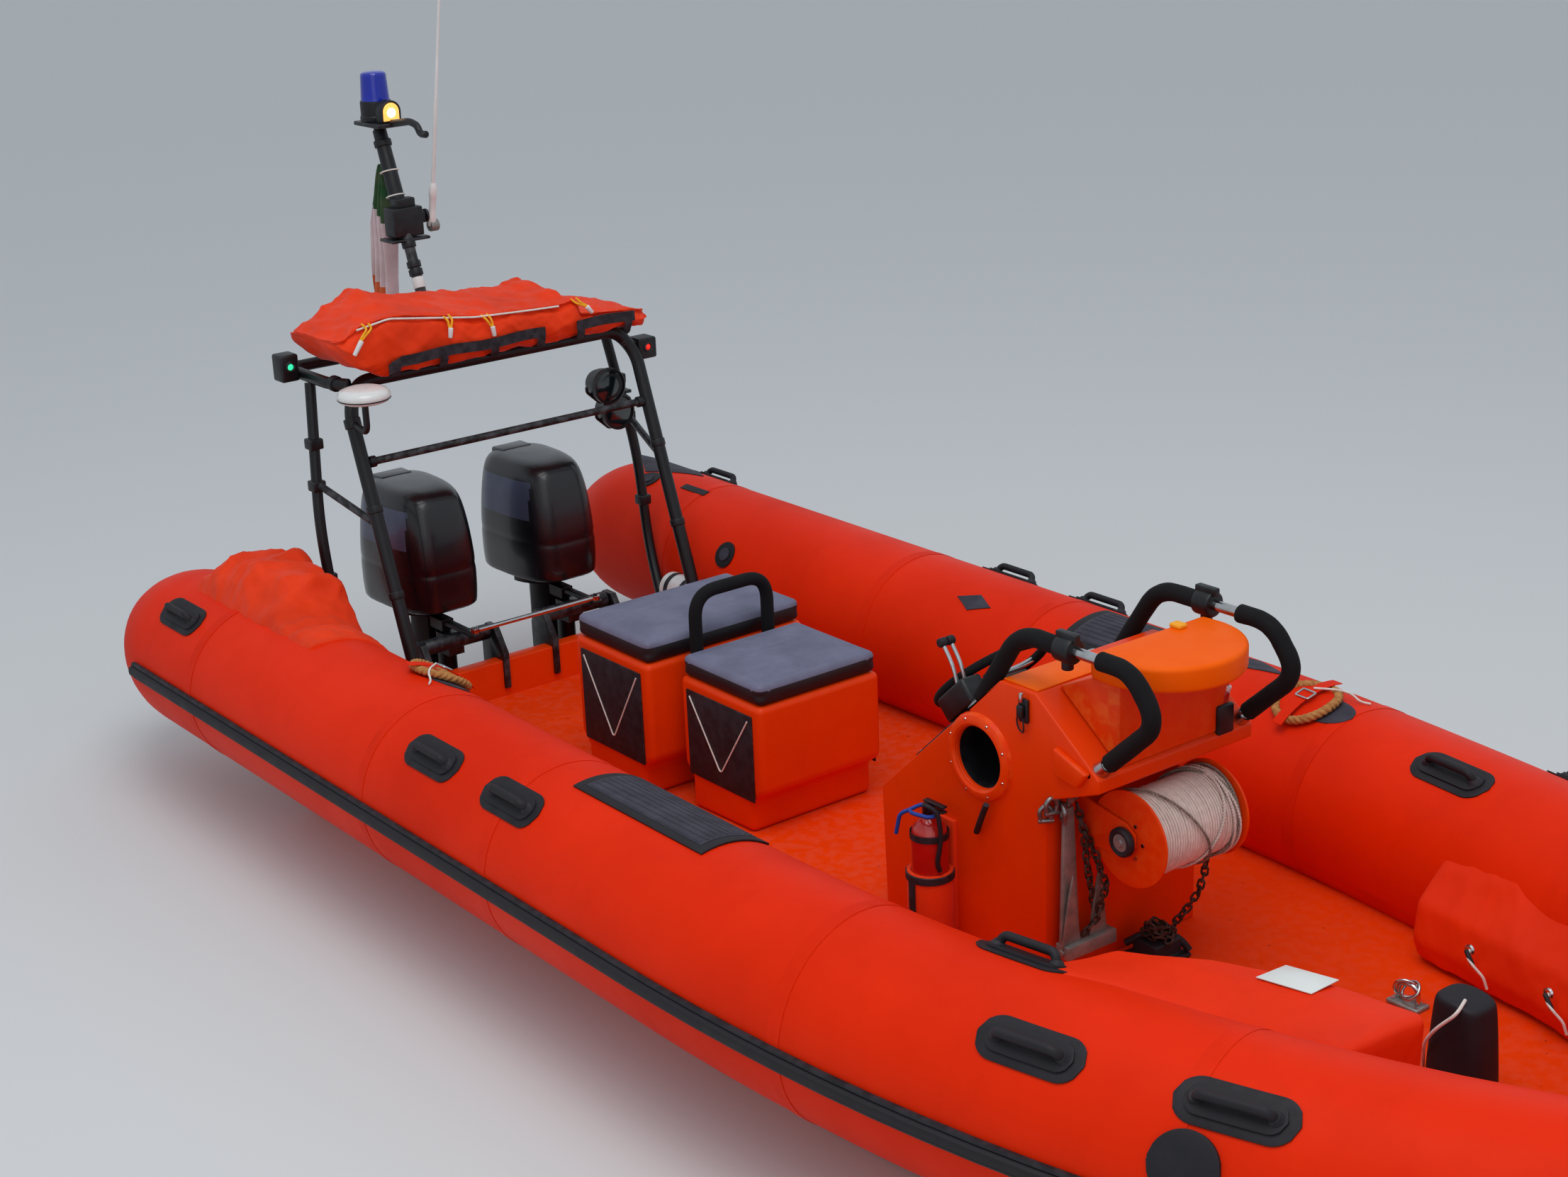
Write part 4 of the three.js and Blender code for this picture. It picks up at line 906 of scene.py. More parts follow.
YELLOW_TAB = Finish("yellow_tab", "moulding_orange", "#f8a808", "#c87804", roughness=0.5)
BLANK_SIGN = Finish("blank_sign", "white", "#e0e4e0", "#a8aca8", roughness=0.4, grime=0.15, coat=0.2)
ENSIGN_CLOTH = BandedFinish("ensign_cloth", "flag", "#d8642c", "#9c7864", roughness=0.82, mottle=(9.0, 0.3),
                            grain=(300.0, 0.0001), weave=(320.0, 0.00015), sheen=0.1,
                            way=(0.7, 0.0, 1.0), steps=((-0.600, "#d8c8cc"), (-0.300, "#0a4c24")))


def paint(shape: Shape, finish: Finish) -> Shape:
    """Gives an object one finish all over."""
    shape.data.materials.clear()
    shape.data.materials.append(finish.material())
    for face in shape.data.polygons:
        face.material_index = 0
    return shape


def paint_both(shape: Shape, main: Finish, other: Finish, test: Callable[[bpy.types.MeshPolygon], bool]) -> Shape:
    """Gives an object a main finish, and another one to the faces that pass a test."""
    paint(shape, main).data.materials.append(other.material())
    for face in shape.data.polygons:
        face.material_index = int(test(face))
    return shape


def dress(shape: Shape, finish: Finish, body: str = "boat", stands_for: Sequence[str] = (),
          whole: bool = True) -> Shape:
    """Finishes a piece and lets it ride.

    Args:
        shape: The piece.
        finish: Its finish, or its main one.
        body: The CAD body that it moves with.
        stands_for: The CAD nodes that it replaces.
        whole: Whether the finish covers it all, or it already has its own.

    Returns:
        The piece.
    """
    if whole:
        paint(shape, finish)
    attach(shape, body)
    if stands_for:
        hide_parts(*stands_for)
    LOG.info("%s: %d faces, rides on %s", shape.name, len(shape.data.polygons), body)
    return shape


def gather(name: str, shapes: Sequence[Shape], finish: Finish, nodes: Sequence[str] = (), body: str = "boat") -> Shape:
    """Joins shapes that have their finishes into one piece and lets it ride."""
    return dress(joined(name, shapes), finish, body, nodes, whole=False)


def dress_node(node: str, finish: Finish) -> None:
    """Gives a CAD node that stays a finish of its own."""
    paint(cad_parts[node], finish)
    LOG.info("%s: kept with %s", node, finish.name)


# Buoyancy tubes


class Outline(Enum):
    """The outline of a patch on a tube."""

    BOX = "box"
    STADIUM = "stadium"
    DISC = "disc"
    DIAMOND = "diamond"

    def share(self, along: float, aspect: float) -> float:
        """Half width, as a share of the most, at a place from -1 to 1 along the patch."""
        if self is Outline.BOX:
            return 1.0
        if self is Outline.DIAMOND:
            return max(0.04, 1.0 - abs(along))
        if self is Outline.DISC:
            return math.sqrt(max(0.0016, 1 - along * along))
        past = max(0.0, abs(along) - (1 - aspect)) / aspect
        return math.sqrt(max(0.0016, 1 - past * past))


@dataclass
class TubeLine:
    """The axis of the port tube: straight, a long bow arc, straight and the nose arc.

    Attributes:
        radius: The tube's radius.
        y: The axis's distance from the centreline where it is straight.
        z: The axis's height aft.
        stern: Where the cone ends.
        cone: The cone's length.
        bow_start: Where the bow arc starts.
        bow_radius: The bow arc's radius.
        bow_angle: The bow arc's angle in radians.
        nose_radius: The nose arc's radius.
        sheer_start: Where the tube starts to rise.
        sheer_rate: How fast the rise grows.
    """

    radius: float = 0.300
    y: float = 1.025
    z: float = 0.495
    stern: float = -3.5
    cone: float = 0.43
    bow_start: float = 0.1
    bow_radius: float = 7.2
    bow_angle: float = math.radians(17.8)
    nose_radius: float = 0.37
    sheer_start: float = 0.8
    sheer_rate: float = 0.021

    def sheer(self, x: float) -> float:
        """Returns the axis's height at x."""
        return self.z + self.sheer_rate * max(0.0, x - self.sheer_start) ** 2

    def top_at(self, y: float) -> float:
        """Returns the skin's height at a place across the straight starboard tube."""
        return self.z + math.sqrt(self.radius ** 2 - (y + self.y) ** 2)

    def arc_end(self) -> tuple[float, float]:
        """Returns x and y where the bow arc ends."""
        return (self.bow_start + self.bow_radius * math.sin(self.bow_angle),
                self.y - self.bow_radius * (1 - math.cos(self.bow_angle)))

    def station(self, x: float) -> tuple[float, float, float]:
        """Returns x, y and the heading of the axis at x, aft of the nose arc."""
        heading = math.asin(min(max(0.0, x - self.bow_start) / self.bow_radius, math.sin(self.bow_angle)))
        past = max(0.0, x - self.arc_end()[0])
        return x, self.y - self.bow_radius * (1 - math.cos(heading)) - past * math.tan(self.bow_angle), heading

    def around(self, station: Sequence[float], angle: float, reach: float) -> Vector:
        """A point about the axis.

        Args:
            station: The axis's x, y and heading.
            angle: The angle up from the outboard side, in radians.
            reach: The distance from the axis.

        Returns:
            The point.
        """
        x, y, heading = station[:3]
        out = reach * math.cos(angle)
        return Vector((x + out * math.sin(heading), y + out * math.cos(heading),
                       self.sheer(x) + reach * math.sin(angle)))

    def on_skin(self, x: float, degrees: float, lift: float = 0.0) -> Vector:
        """Returns a point on the skin, at degrees up from the outboard side and a lift above it."""
        return self.around(self.station(x), math.radians(degrees), self.radius + lift)

    def stations(self) -> list[tuple[float, float, float, float]]:
        """Returns the whole axis as x, y, heading and radius."""
        made = []
        for i in range(9):
            share = i / 8
            made.append((self.stern + self.cone * share, self.y, 0.0,
                         0.108 + (self.radius - 0.108) * math.sin(share * math.pi / 2) ** 0.85))
        for i in range(1, 7):
            made.append((self.stern + self.cone + (self.bow_start - self.stern - self.cone) * i / 7, self.y, 0.0,
                         self.radius))
        for i in range(15):
            heading = self.bow_angle * i / 14
            made.append((self.bow_start + self.bow_radius * math.sin(heading),
                         self.y - self.bow_radius * (1 - math.cos(heading)), heading, self.radius))
        end_x, end_y = self.arc_end()
        nose_y = self.nose_radius * math.cos(self.bow_angle)
        centre = end_x + (end_y - nose_y) / math.tan(self.bow_angle) - self.nose_radius * math.sin(self.bow_angle)
        for i in range(13):
            heading = self.bow_angle + (math.pi / 2 - self.bow_angle) * i / 12
            made.append((centre + self.nose_radius * math.sin(heading),
                         max(0.0002, self.nose_radius * math.cos(heading)), heading, self.radius))
        return made


LINE = TubeLine()


@dataclass
class Tubes:
    """The two buoyancy tubes with their strakes, handles, patches, valves and rings.

    Attributes:
        sides: Points round a tube.
        handles: Each handle's x and degrees up from the outboard side.
        seams: Where the tube's panels are joined.
        step_pad: First and last x, and the degrees that the step pad covers.
        strake_half: Half the strake's height.
    """

    sides: int = 56
    handles: tuple = ((1.2, 112), (1.43, 52), (1.94, 53), (-0.6, 52), (-1.05, 52), (-2.85, 52))
    seams: tuple = (-2.62, -1.36, -0.62, 0.72, 1.83, 2.45)
    step_pad: tuple = (-0.45, 0.18, 78, 124)
    strake_half: float = 0.031

    def build(self) -> None:
        """Builds and dresses everything on both tubes."""
        tube = self.skin()
        strake = self.strake()
        pad = self.pad()
        fittings = [self.handle(i, x, degrees) for i, (x, degrees) in enumerate(self.handles)]
        seams = joined("tube_seams_port", [self.seam(i, x) for i, x in enumerate(self.seams)] + [self.length_seam()])
        for finish, group, nodes in (
            (TUBE_COAT, tube, ["sponson"]),
            (BLACK_RUBBER, strake, ["rubbing_strake"]),
            (None, pad, ["step_pad"]),
            (SEAM_COAT, seams, []),
            (None, joined("tube_handles_port", fittings), []),
        ):
            twin = copied(group, group.name.replace("port", "starboard"), MIRROR)
            for shape, side in ((group, "port"), (twin, "starboard")):
                dress(shape, finish or GREY_RUBBER, stands_for=[n + "_" + side for n in nodes],
                      whole=finish is not None)
        self.patches()
        self.rescue_ring("rescue_ring_port", 0.57, 105, 1)
        self.rescue_ring("rescue_ring_starboard", -1.60, 122, -1)

    def skin(self) -> Shape:
        """Lofts the port tube through its stations."""
        rings = [
            [LINE.around(s, -2 * math.pi * i / self.sides, s[3]) for i in range(self.sides)] for s in LINE.stations()
        ]
        return shade(rings_form("tube_port", rings), 50)

    def strake(self) -> Shape:
        """Lofts the ribbed rubber strake along the outboard side."""
        h = self.strake_half
        section = ((0.001, -h), (0.012, -h), (0.017, -h * 0.72), (0.013, -h * 0.62), (0.027, -h * 0.42),
                   (0.029, 0.0), (0.027, h * 0.42), (0.013, h * 0.62), (0.017, h * 0.72), (0.012, h), (0.001, h))
        rings = []
        for station in LINE.stations():
            if station[0] < LINE.stern + LINE.cone - 0.001:
                continue
            rings.append([LINE.around(station, 0, LINE.radius + out) + Vector((0, 0, up)) for out, up in section])
        return shade(rings_form("strake_port", rings), 35)

    def patch(self, name: str, x: float, degrees: float, length: float, width: float, outline: Outline,
              thick: float, lift: float = 0.0005, turn: float = 0.0) -> Shape:
        """Models a patch that lies on the port tube.

        Args:
            name: Its name.
            x: Where its middle lies along the tube.
            degrees: Where its middle lies, up from the outboard side.
            length: Its size along the tube.
            width: Its size round the tube.
            outline: Its outline.
            thick: Its thickness.
            lift: How far above the skin it starts.
            turn: Its turn on the skin, in degrees.

        Returns:
            The patch.
        """
        clear_selection()
        across_steps = max(10, int(width / 0.02))
        bpy.ops.mesh.primitive_grid_add(x_subdivisions=26, y_subdivisions=across_steps, size=2)
        shape = name_fresh(name)
        aspect = min(1.0, width / length)
        cosine, sine = math.cos(math.radians(turn)), math.sin(math.radians(turn))
        for vertex in shape.data.vertices:
            along, across = vertex.co.x, vertex.co.y
            u = along * length / 2
            v = across * outline.share(along, aspect) * width / 2
            run, rise = u * cosine - v * sine, u * sine + v * cosine
            vertex.co = LINE.around(LINE.station(x + run), math.radians(degrees) + rise / LINE.radius,
                                    LINE.radius + lift)
        with editing(shape):
            bpy.ops.mesh.normals_make_consistent(inside=False)
        middle = LINE.on_skin(x, degrees) - LINE.around(LINE.station(x), 0.0, 0.0)
        flipped = sum(face.normal.dot(middle) for face in shape.data.polygons) < 0
        if flipped:
            with editing(shape):
                bpy.ops.mesh.flip_normals()
        apply_modifier(shape, "SOLIDIFY", thickness=thick, offset=1.0, use_even_offset=False)
        return round_edges(shape, min(0.0015, thick * 0.4), 2, 50)

    def handle(self, number: int, x: float, degrees: float) -> Shape:
        """Models one moulded grab handle on its patch."""
        base = paint(self.patch(f"handle_base_{number}", x, degrees, 0.29, 0.118, Outline.STADIUM, 0.004), DARK_PATCH)
        raised = paint(self.patch(f"handle_rim_{number}", x, degrees, 0.235, 0.074, Outline.STADIUM, 0.010),
                       BLACK_RUBBER)
        half, low, high = 0.092, 0.004, 0.036
        path = [LINE.on_skin(x - half, degrees, low), LINE.on_skin(x - half * 0.86, degrees, high),
                LINE.on_skin(x + half * 0.86, degrees, high), LINE.on_skin(x + half, degrees, low)]
        loop = paint(shade(bent_form(f"handle_loop_{number}", path, Section(0.0125, 14), corner=0.04)), BLACK_RUBBER)
        feet = [
            paint(shade(rod_form(f"handle_foot_{number}_{i}", LINE.on_skin(x + way * half, degrees, 0.002),
                                 LINE.on_skin(x + way * half * 0.97, degrees, 0.020), 0.024, 20, 0.014)), BLACK_RUBBER)
            for i, way in enumerate((-1, 1))
        ]
        return joined(f"handle_port_{number}", [base, raised, loop, *feet])

    def seam(self, number: int, x: float) -> Shape:
        """Models one glued tape round the tube."""
        return self.patch(f"seam_{number}", x, 95, 0.045, 1.66, Outline.BOX, 0.0012, 0.0002)

    def length_seam(self) -> Shape:
        """Models the tape along the tube's inboard side."""
        rings = []
        for station in LINE.stations():
            if -3.0 < station[0] < 3.2:
                rings.append([LINE.around(station, math.radians(204 + a), LINE.radius + lift)
                              for a, lift in ((-4, 0.0003), (4, 0.0003), (4, 0.0015), (-4, 0.0015))])
        return rings_form("seam_long", rings)

    def pad(self) -> Shape:
        """Models the ribbed step pad with its black border."""
        x0, x1, low, high = self.step_pad
        middle, length = (x0 + x1) / 2, x1 - x0
        turn = (low + high) / 2
        width = math.radians(high - low) * LINE.radius
        parts = [paint(self.patch("pad_base", middle, turn, length, width, Outline.BOX, 0.006), BLACK_RUBBER),
                 paint(self.patch("pad_field", middle, turn, length - 0.07, width - 0.05, Outline.BOX, 0.008),
                       GREY_RUBBER)]
        ribs = 9
        for i in range(ribs):
            at_angle = turn + (i - (ribs - 1) / 2) * math.degrees((width - 0.07) / (ribs - 1) / LINE.radius)
            parts.append(paint(self.patch(f"pad_rib_{i}", middle, at_angle, length - 0.09, 0.010, Outline.BOX, 0.0098),
                               GREY_RUBBER))
        return joined("step_pad_cover_port", parts)

    def patches(self) -> None:
        """Builds the loose patches, valves and straps that only one side has."""
        table = (
            ("patch_diamond_aft", 1, -3.02, 78, 0.46, 0.26, Outline.DIAMOND, GREY_RUBBER, 0.003),
            ("patch_tab_aft", 1, -2.66, 104, 0.16, 0.035, Outline.BOX, BLACK_RUBBER, 0.003),
            ("patch_arrow_mid", 1, -0.90, 118, 0.17, 0.08, Outline.DIAMOND, GREY_RUBBER, 0.003),
            ("patch_arrow_fore", 1, 0.22, 84, 0.30, 0.11, Outline.DIAMOND, GREY_RUBBER, 0.003),
            ("patch_valve_cover", -1, 1.87, 24, 0.165, 0.165, Outline.DISC, BLACK_RUBBER, 0.012),
        )
        for name, side, x, degrees, length, width, outline, finish, thick in table:
            shape = self.patch(name, x, degrees, length, width, outline, thick)
            if side < 0:
                shape = self.swapped(shape)
            dress(shape, finish)
        for i, (side, x, degrees) in enumerate(((1, -2.22, 148), (1, -2.95, 110), (-1, -2.22, 148), (1, 2.2, 150))):
            ring = paint(self.patch(f"valve_ring_{i}", x, degrees, 0.105, 0.105, Outline.DISC, 0.005), BLACK_RUBBER)
            cap = paint(self.patch(f"valve_cap_{i}", x, degrees, 0.052, 0.052, Outline.DISC, 0.009), GREY_RUBBER)
            valve = joined(f"inflation_valve_{i}", [ring, cap])
            dress(valve if side > 0 else self.swapped(valve), BLACK_RUBBER, whole=False)

    @staticmethod
    def swapped(shape: Shape) -> Shape:
        """Mirrors a port shape to starboard in place and returns it."""
        shape.data.transform(MIRROR)
        with editing(shape):
            bpy.ops.mesh.flip_normals()
        return shape

    def rescue_ring(self, name: str, x: float, degrees: float, side: int) -> None:
        """Builds a braided rope ring round an orange disc, buckled on a patch.

        Args:
            name: The piece's name.
            x: Where it lies along the tube.
            degrees: Where it lies, up from the outboard side.
            side: 1 for port, -1 for starboard.
        """
        steps, reach = 160, 0.094
        circle = []
        for i in range(steps):
            turn = 2 * math.pi * i / steps
            circle.append(LINE.around(LINE.station(x + reach * math.cos(turn)),
                                      math.radians(degrees) + reach * math.sin(turn) / LINE.radius,
                                      LINE.radius + 0.019))
        length = 2 * math.pi * reach
        rope = paint(shade(bent_form(name + "_rope", circle, Section(0.0145, 18, 3, length / 11), closed=True), 60),
                     TAN_ROPE)
        patch = paint(self.patch(name + "_patch", x + 0.065, degrees - 2, 0.22, 0.13, Outline.DISC, 0.003),
                      GREY_RUBBER)
        disc = paint(self.patch(name + "_disc", x, degrees, 0.165, 0.165, Outline.DISC, 0.016, 0.004), TUBE_COAT)
        strap = paint(self.patch(name + "_strap", x, degrees, 0.04, 0.25, Outline.BOX, 0.003, 0.0335), TUBE_COAT)
        buckle_at = LINE.on_skin(x, degrees, 0.039)
        buckle = [buckle_at + (LINE.on_skin(x + dx, degrees + dy, 0.039) - buckle_at)
                  for dx, dy in ((-0.026, -3.2), (0.026, -3.2), (0.026, 3.2), (-0.026, 3.2))]
        clip = paint(shade(bent_form(name + "_clip", buckle + [buckle[0]], Section(0.0035, 10), corner=0.006)),
                     BRIGHT_STEEL)
        tie = [LINE.on_skin(x + u, degrees + v, lift) for u, v, lift in (
            (0.0, -6, 0.041), (0.03, -11, 0.036), (0.055, -15, 0.034), (0.085, -19, 0.026), (0.115, -20, 0.008),
            (0.14, -24, 0.006))]
        cord = paint(shade(bent_form(name + "_tie", tie, Section(0.0035, 10), corner=0.02)), WHITE_CORD)
        ring = joined(name, [patch, disc, strap, rope, clip, cord])
        dress(ring if side > 0 else self.swapped(ring), TAN_ROPE, whole=False)


# Hull

DECK_MIDSHIPS = 0.306
DECK_SLOPE = 0.028


def deck_height(x: float) -> float:
    """Returns the height of the deck's face at x."""
    return DECK_MIDSHIPS + DECK_SLOPE * x


@dataclass
class HullBody:
    """The rigid hull, its deck and its transom.

    Attributes:
        drains: Where the transom's drain sleeves lie across the boat.
        plates: x of the deck's inspection plates.
    """

    drains: tuple = (-0.62, 0.62)
    plates: tuple = (-1.9, 1.45)

    def build(self) -> None:
        """Builds and dresses the hull's pieces."""
        dress(softened_copy("hull", "hull_shell", 0.012, 3, 20), HULL_COAT, stands_for=["hull"])
        dress(softened_copy("transom", "transom_board", 0.007), GELCOAT, stands_for=["transom"])
        dress_node("deck", DECK_PAINT)
        for i, y in enumerate(self.drains):
            sleeve = rod_form(f"drain_sleeve_{i}", (-2.53, y, 0.19), (-2.66, y, 0.16), 0.045, 28, 0.038)
            apply_modifier(sleeve, "BEVEL", width=0.004, segments=2)
            dress(shade(sleeve), BLACK_RUBBER)
        for i, x in enumerate(self.plates):
            z = deck_height(x) + 0.0015
            rim = rod_form(f"inspection_plate_{i}", (x, 0.0, z - 0.001), (x, 0.0, z + 0.006), 0.085, 40, 0.08)
            dress(round_edges(rim, 0.002, 2), DECK_PAINT)


# Console


@dataclass
class Console:
    """The helm console with its hood, rails, instruments, wheel, throttle and extinguisher.

    Attributes:
        half: Half its width.
        hatch: The round stowage hole's x and z.
        hatch_radius: The hole's radius. It is not used.
        dash: The middle of the sloped dash.
        slope: The dash's slope in radians.
        rail_y: The grab rails' distance from the centreline.
    """

    half: float = 0.300
    hatch: tuple = (0.440, 0.930)
    hatch_radius: float = 0.092
    dash: tuple = (0.245, 0.0, 0.926)
    slope: float = math.atan2(480, 520)
    rail_y: float = 0.268

    def build(self) -> None:
        """Builds and dresses the console's pieces."""
        dress(softened_copy("console", "console_shell", 0.013, 4, 30), GELCOAT, stands_for=["console"])
        dress(self.hood(), HOOD_COAT, stands_for=["console_hood"], whole=False)
        panel = round_edges(box_form("locker_lid", (0.522, -0.286, 1.1802), (0.655, -0.02, 1.1850)), 0.002, 2)
        dress(panel, HOOD_COAT)
        self.hatch_trim()
        self.rails()
        self.instruments()
        self.wheel()
        self.throttle()
        self.extinguisher()
        self.small_fittings()

    @staticmethod
    def hood() -> Shape:
        """Models the half-round lid that overhangs the console's front, with the neck that carries it."""
        edge = [(0.782, -0.218, 1.237), (0.850, -0.2245, 1.237)]
        for i in range(1, 32):
            turn = math.pi * (i / 32 - 0.5)
            edge.append((0.85 + 0.2195 * math.cos(turn), 0.2245 * math.sin(turn), 1.237))
        edge += [(0.850, 0.2245, 1.237), (0.782, 0.218, 1.237)]
        lid = round_edges(plate_form("hood_lid", edge, (0, 0, 0.0725)), 0.014, 4, 50)
        side = [(0.664, -0.214, 1.182), (0.788, -0.214, 1.240), (0.893, -0.214, 1.240), (0.893, -0.214, 1.010),
                (0.885, -0.214, 1.016)]
        neck = round_edges(plate_form("hood_neck", side, (0, 0.428, 0)), 0.010, 3)
        return joined("console_lid", [paint(lid, HOOD_COAT), paint(neck, GELCOAT)])

    def sloped(self, along: float, across: float, lift: float) -> Vector:
        """Returns a point by its place on the dash: up the slope, to port and off the face."""
        up = Vector((math.cos(self.slope), 0, math.sin(self.slope)))
        out = Vector((-math.sin(self.slope), 0, math.cos(self.slope)))
        return Vector(self.dash) + up * along + Vector((0, across, 0)) + out * lift

    def sloped_box(self, name: str, middle: Point, size: Point, round_by: float = 0.004) -> Shape:
        """Adds a rounded box that lies square to the dash.

        Args:
            name: Its name.
            middle: Its middle, up the slope, to port and off the face.
            size: Its size the same three ways.
            round_by: The width of its rounded edges.

        Returns:
            The box.
        """
        clear_selection()
        bpy.ops.mesh.primitive_cube_add(size=1, location=self.sloped(*middle), scale=size,
                                        rotation=(0, -self.slope, 0))
        return round_edges(name_fresh(name), round_by, 3)

    def hatch_trim(self) -> None:
        """Builds the stowage hole's moulded lip, its dark liner and screws."""
        x, z = self.hatch
        profile = [(0.094, 0.0), (0.094, 0.014), (0.101, 0.020), (0.112, 0.020), (0.124, 0.013), (0.129, 0.0)]
        lip = turned_form("hatch_lip", profile, (x, -self.half - 0.0005, z), (0, -1, 0), 64)
        dress(shade(lip, 35), GELCOAT)
        liner = turned_form("hatch_liner", [(0.0, 0.004), (0.0885, 0.004), (0.0915, 0.238), (0.0895, 0.238),
                                            (0.0865, 0.007), (0.0, 0.007)], (x, -0.0605, z), (0, -1, 0), 48)
        dress(shade(liner, 35), DARK_PLASTIC)
        screws = []
        for i in range(8):
            turn = 2 * math.pi * (i + 0.5) / 8
            place = Vector((x + 0.1145 * math.cos(turn), -self.half - 0.018, z + 0.1145 * math.sin(turn)))
            screws.append(rod_form(f"hatch_screw_{i}", place, place + Vector((0, -0.003, 0)), 0.0045, 14, 0.003))
        dress(shade(joined("hatch_screws", screws)), BRIGHT_STEEL)

    def rails(self) -> None:
        """Builds both padded grab rails with their bare stretch, clamps, collars and feet."""
        corners = ((0.398, 1.068), (0.570, 1.325), (0.985, 1.325), (1.085, 1.205), (0.850, 0.990))
        for side, sign in SIDES:
            y = sign * self.rail_y
            path = [(x, y, z) for x, z in corners]
            bare = paint(shade(bent_form(f"rail_tube_{side}", path, Section(0.0155, 20), corner=0.075)), BRIGHT_STEEL)
            front = [(0.876, y, 1.325), *path[2:4], (0.912, y, 1.047)]
            rear = [(0.412, y, 1.090), path[1], (0.768, y, 1.325)]
            sleeves = [paint(self.sleeve(f"rail_sleeve_{side}_{i}", run), FOAM) for i, run in enumerate((front, rear))]
            collar = paint(round_edges(rod_form(f"rail_collar_{side}", (0.722, y, 1.325), (0.782, y, 1.325), 0.037,
                                                28),
                                       0.006), DARK_PLASTIC)
            knob = paint(round_edges(rod_form(f"rail_knob_{side}", (0.752, y, 1.325), (0.752, y, 1.268), 0.017, 20),
                                     0.004), DARK_PLASTIC)
            lever = paint(round_edges(box_form(f"rail_lever_{side}", (0.716, y - 0.012, 1.352),
                                               (0.79, y + 0.012, 1.374)),
                                      0.004), DARK_PLASTIC)
            feet = []
            for i, (x, z, tip_x, tip_z) in enumerate(((0.408, 1.075, 0.392, 1.046), (0.902, 1.037, 0.862, 1.001))):
                feet.append(paint(shade(rod_form(f"rail_foot_{side}_{i}", (x, y, z), (tip_x, y, tip_z), 0.021, 24,
                                                 0.028), 30), BRIGHT_STEEL))
                clear_selection()
                bpy.ops.mesh.primitive_uv_sphere_add(radius=0.027, segments=24, ring_count=14,
                                                     location=(tip_x, y, tip_z))
                feet.append(paint(shade(name_fresh(f"rail_ball_{side}_{i}"), 60), BRIGHT_STEEL))
                bolt = Vector((tip_x, y, tip_z + 0.004))
                feet.append(paint(shade(rod_form(f"rail_bolt_{side}_{i}", bolt - Vector((0, 0.032, 0)),
                                                 bolt + Vector((0, 0.032, 0)), 0.009, 6), 30), BRIGHT_STEEL))
            rail = joined(f"grab_rail_cover_{side}", [bare, *sleeves, collar, knob, lever, *feet])
            dress(rail, FOAM, stands_for=[f"grab_rail_{side}"], whole=False)

    @staticmethod
    def sleeve(name: str, path: Sequence[Point]) -> Shape:
        """Models a foam sleeve with a slightly uneven skin and rounded ends."""
        shape = bent_form(name, path, Section(0.0262, 24), corner=0.075, smooth=14)
        apply_modifier(shape, "BEVEL", width=0.007, segments=3, limit_method="ANGLE", angle_limit=math.radians(60))
        texture = bpy.data.textures.new(name, "CLOUDS")
        texture.noise_scale = 0.05
        apply_modifier(shape, "DISPLACE", texture=texture, strength=0.003, mid_level=0.5, texture_coords="LOCAL")
        return shade(shape, 60)

    def instruments(self) -> None:
        """Builds the instrument panel: plate, gauges, screen, switches and screws."""
        parts = [paint(self.sloped_box("dash_plate", (0.02, 0.0, 0.0155), (0.476, 0.456, 0.024), 0.008), DARK_PLASTIC)]
        boss = rod_form("wheel_boss", self.sloped(0, 0, 0.006), self.sloped(0, 0, 0.085), 0.036, 32, 0.030)
        parts.append(paint(round_edges(boss, 0.004), DARK_PLASTIC))
        for i, (along, across, radius) in enumerate(((0.205, 0.165, 0.042), (0.205, 0.065, 0.042),
                                                     (0.205, -0.035, 0.036), (0.10, 0.185, 0.028))):
            rim = turned_form(f"gauge_rim_{i}", [(radius * 0.82, 0), (radius * 0.82, 0.008), (radius * 0.9, 0.011),
                                                 (radius, 0.006), (radius, 0)],
                              self.sloped(along, across, 0.027), self.sloped(0, 0, 1) - self.sloped(0, 0, 0), 40)
            face = rod_form(f"gauge_face_{i}", self.sloped(along, across, 0.026), self.sloped(along, across, 0.031),
                            radius * 0.83, 32)
            hand = self.sloped_box(f"gauge_hand_{i}", (along + radius * 0.3, across, 0.0325),
                                   (radius * 0.6, 0.003, 0.002), 0.0005)
            parts += [paint(shade(rim, 30), BRIGHT_STEEL), paint(face, DIAL_GLASS), paint(hand, WHITE_GLOSS)]
        parts.append(paint(self.sloped_box("chart_screen_case", (0.195, -0.15, 0.034), (0.11, 0.13, 0.02), 0.006),
                           DARK_PLASTIC))
        parts.append(paint(self.sloped_box("chart_screen", (0.195, -0.15, 0.0445), (0.085, 0.105, 0.003), 0.001),
                           DIAL_GLASS))
        for i in range(6):
            parts.append(paint(self.sloped_box(f"switch_{i}", (-0.165, -0.09 + i * 0.036, 0.031), (0.03, 0.02, 0.012),
                                               0.003), DARK_PLASTIC if i % 2 else RED_ENAMEL))
        for i, (along, across) in enumerate(((-0.2, -0.21), (-0.2, 0.21), (0.24, -0.21), (0.24, 0.21))):
            screw = rod_form(f"dash_screw_{i}", self.sloped(along, across, 0.027), self.sloped(along, across, 0.031),
                             0.006, 16, 0.004)
            parts.append(paint(shade(screw), BRIGHT_STEEL))
        gather("dash_panel", parts, DARK_PLASTIC, ["instrument_dash"])

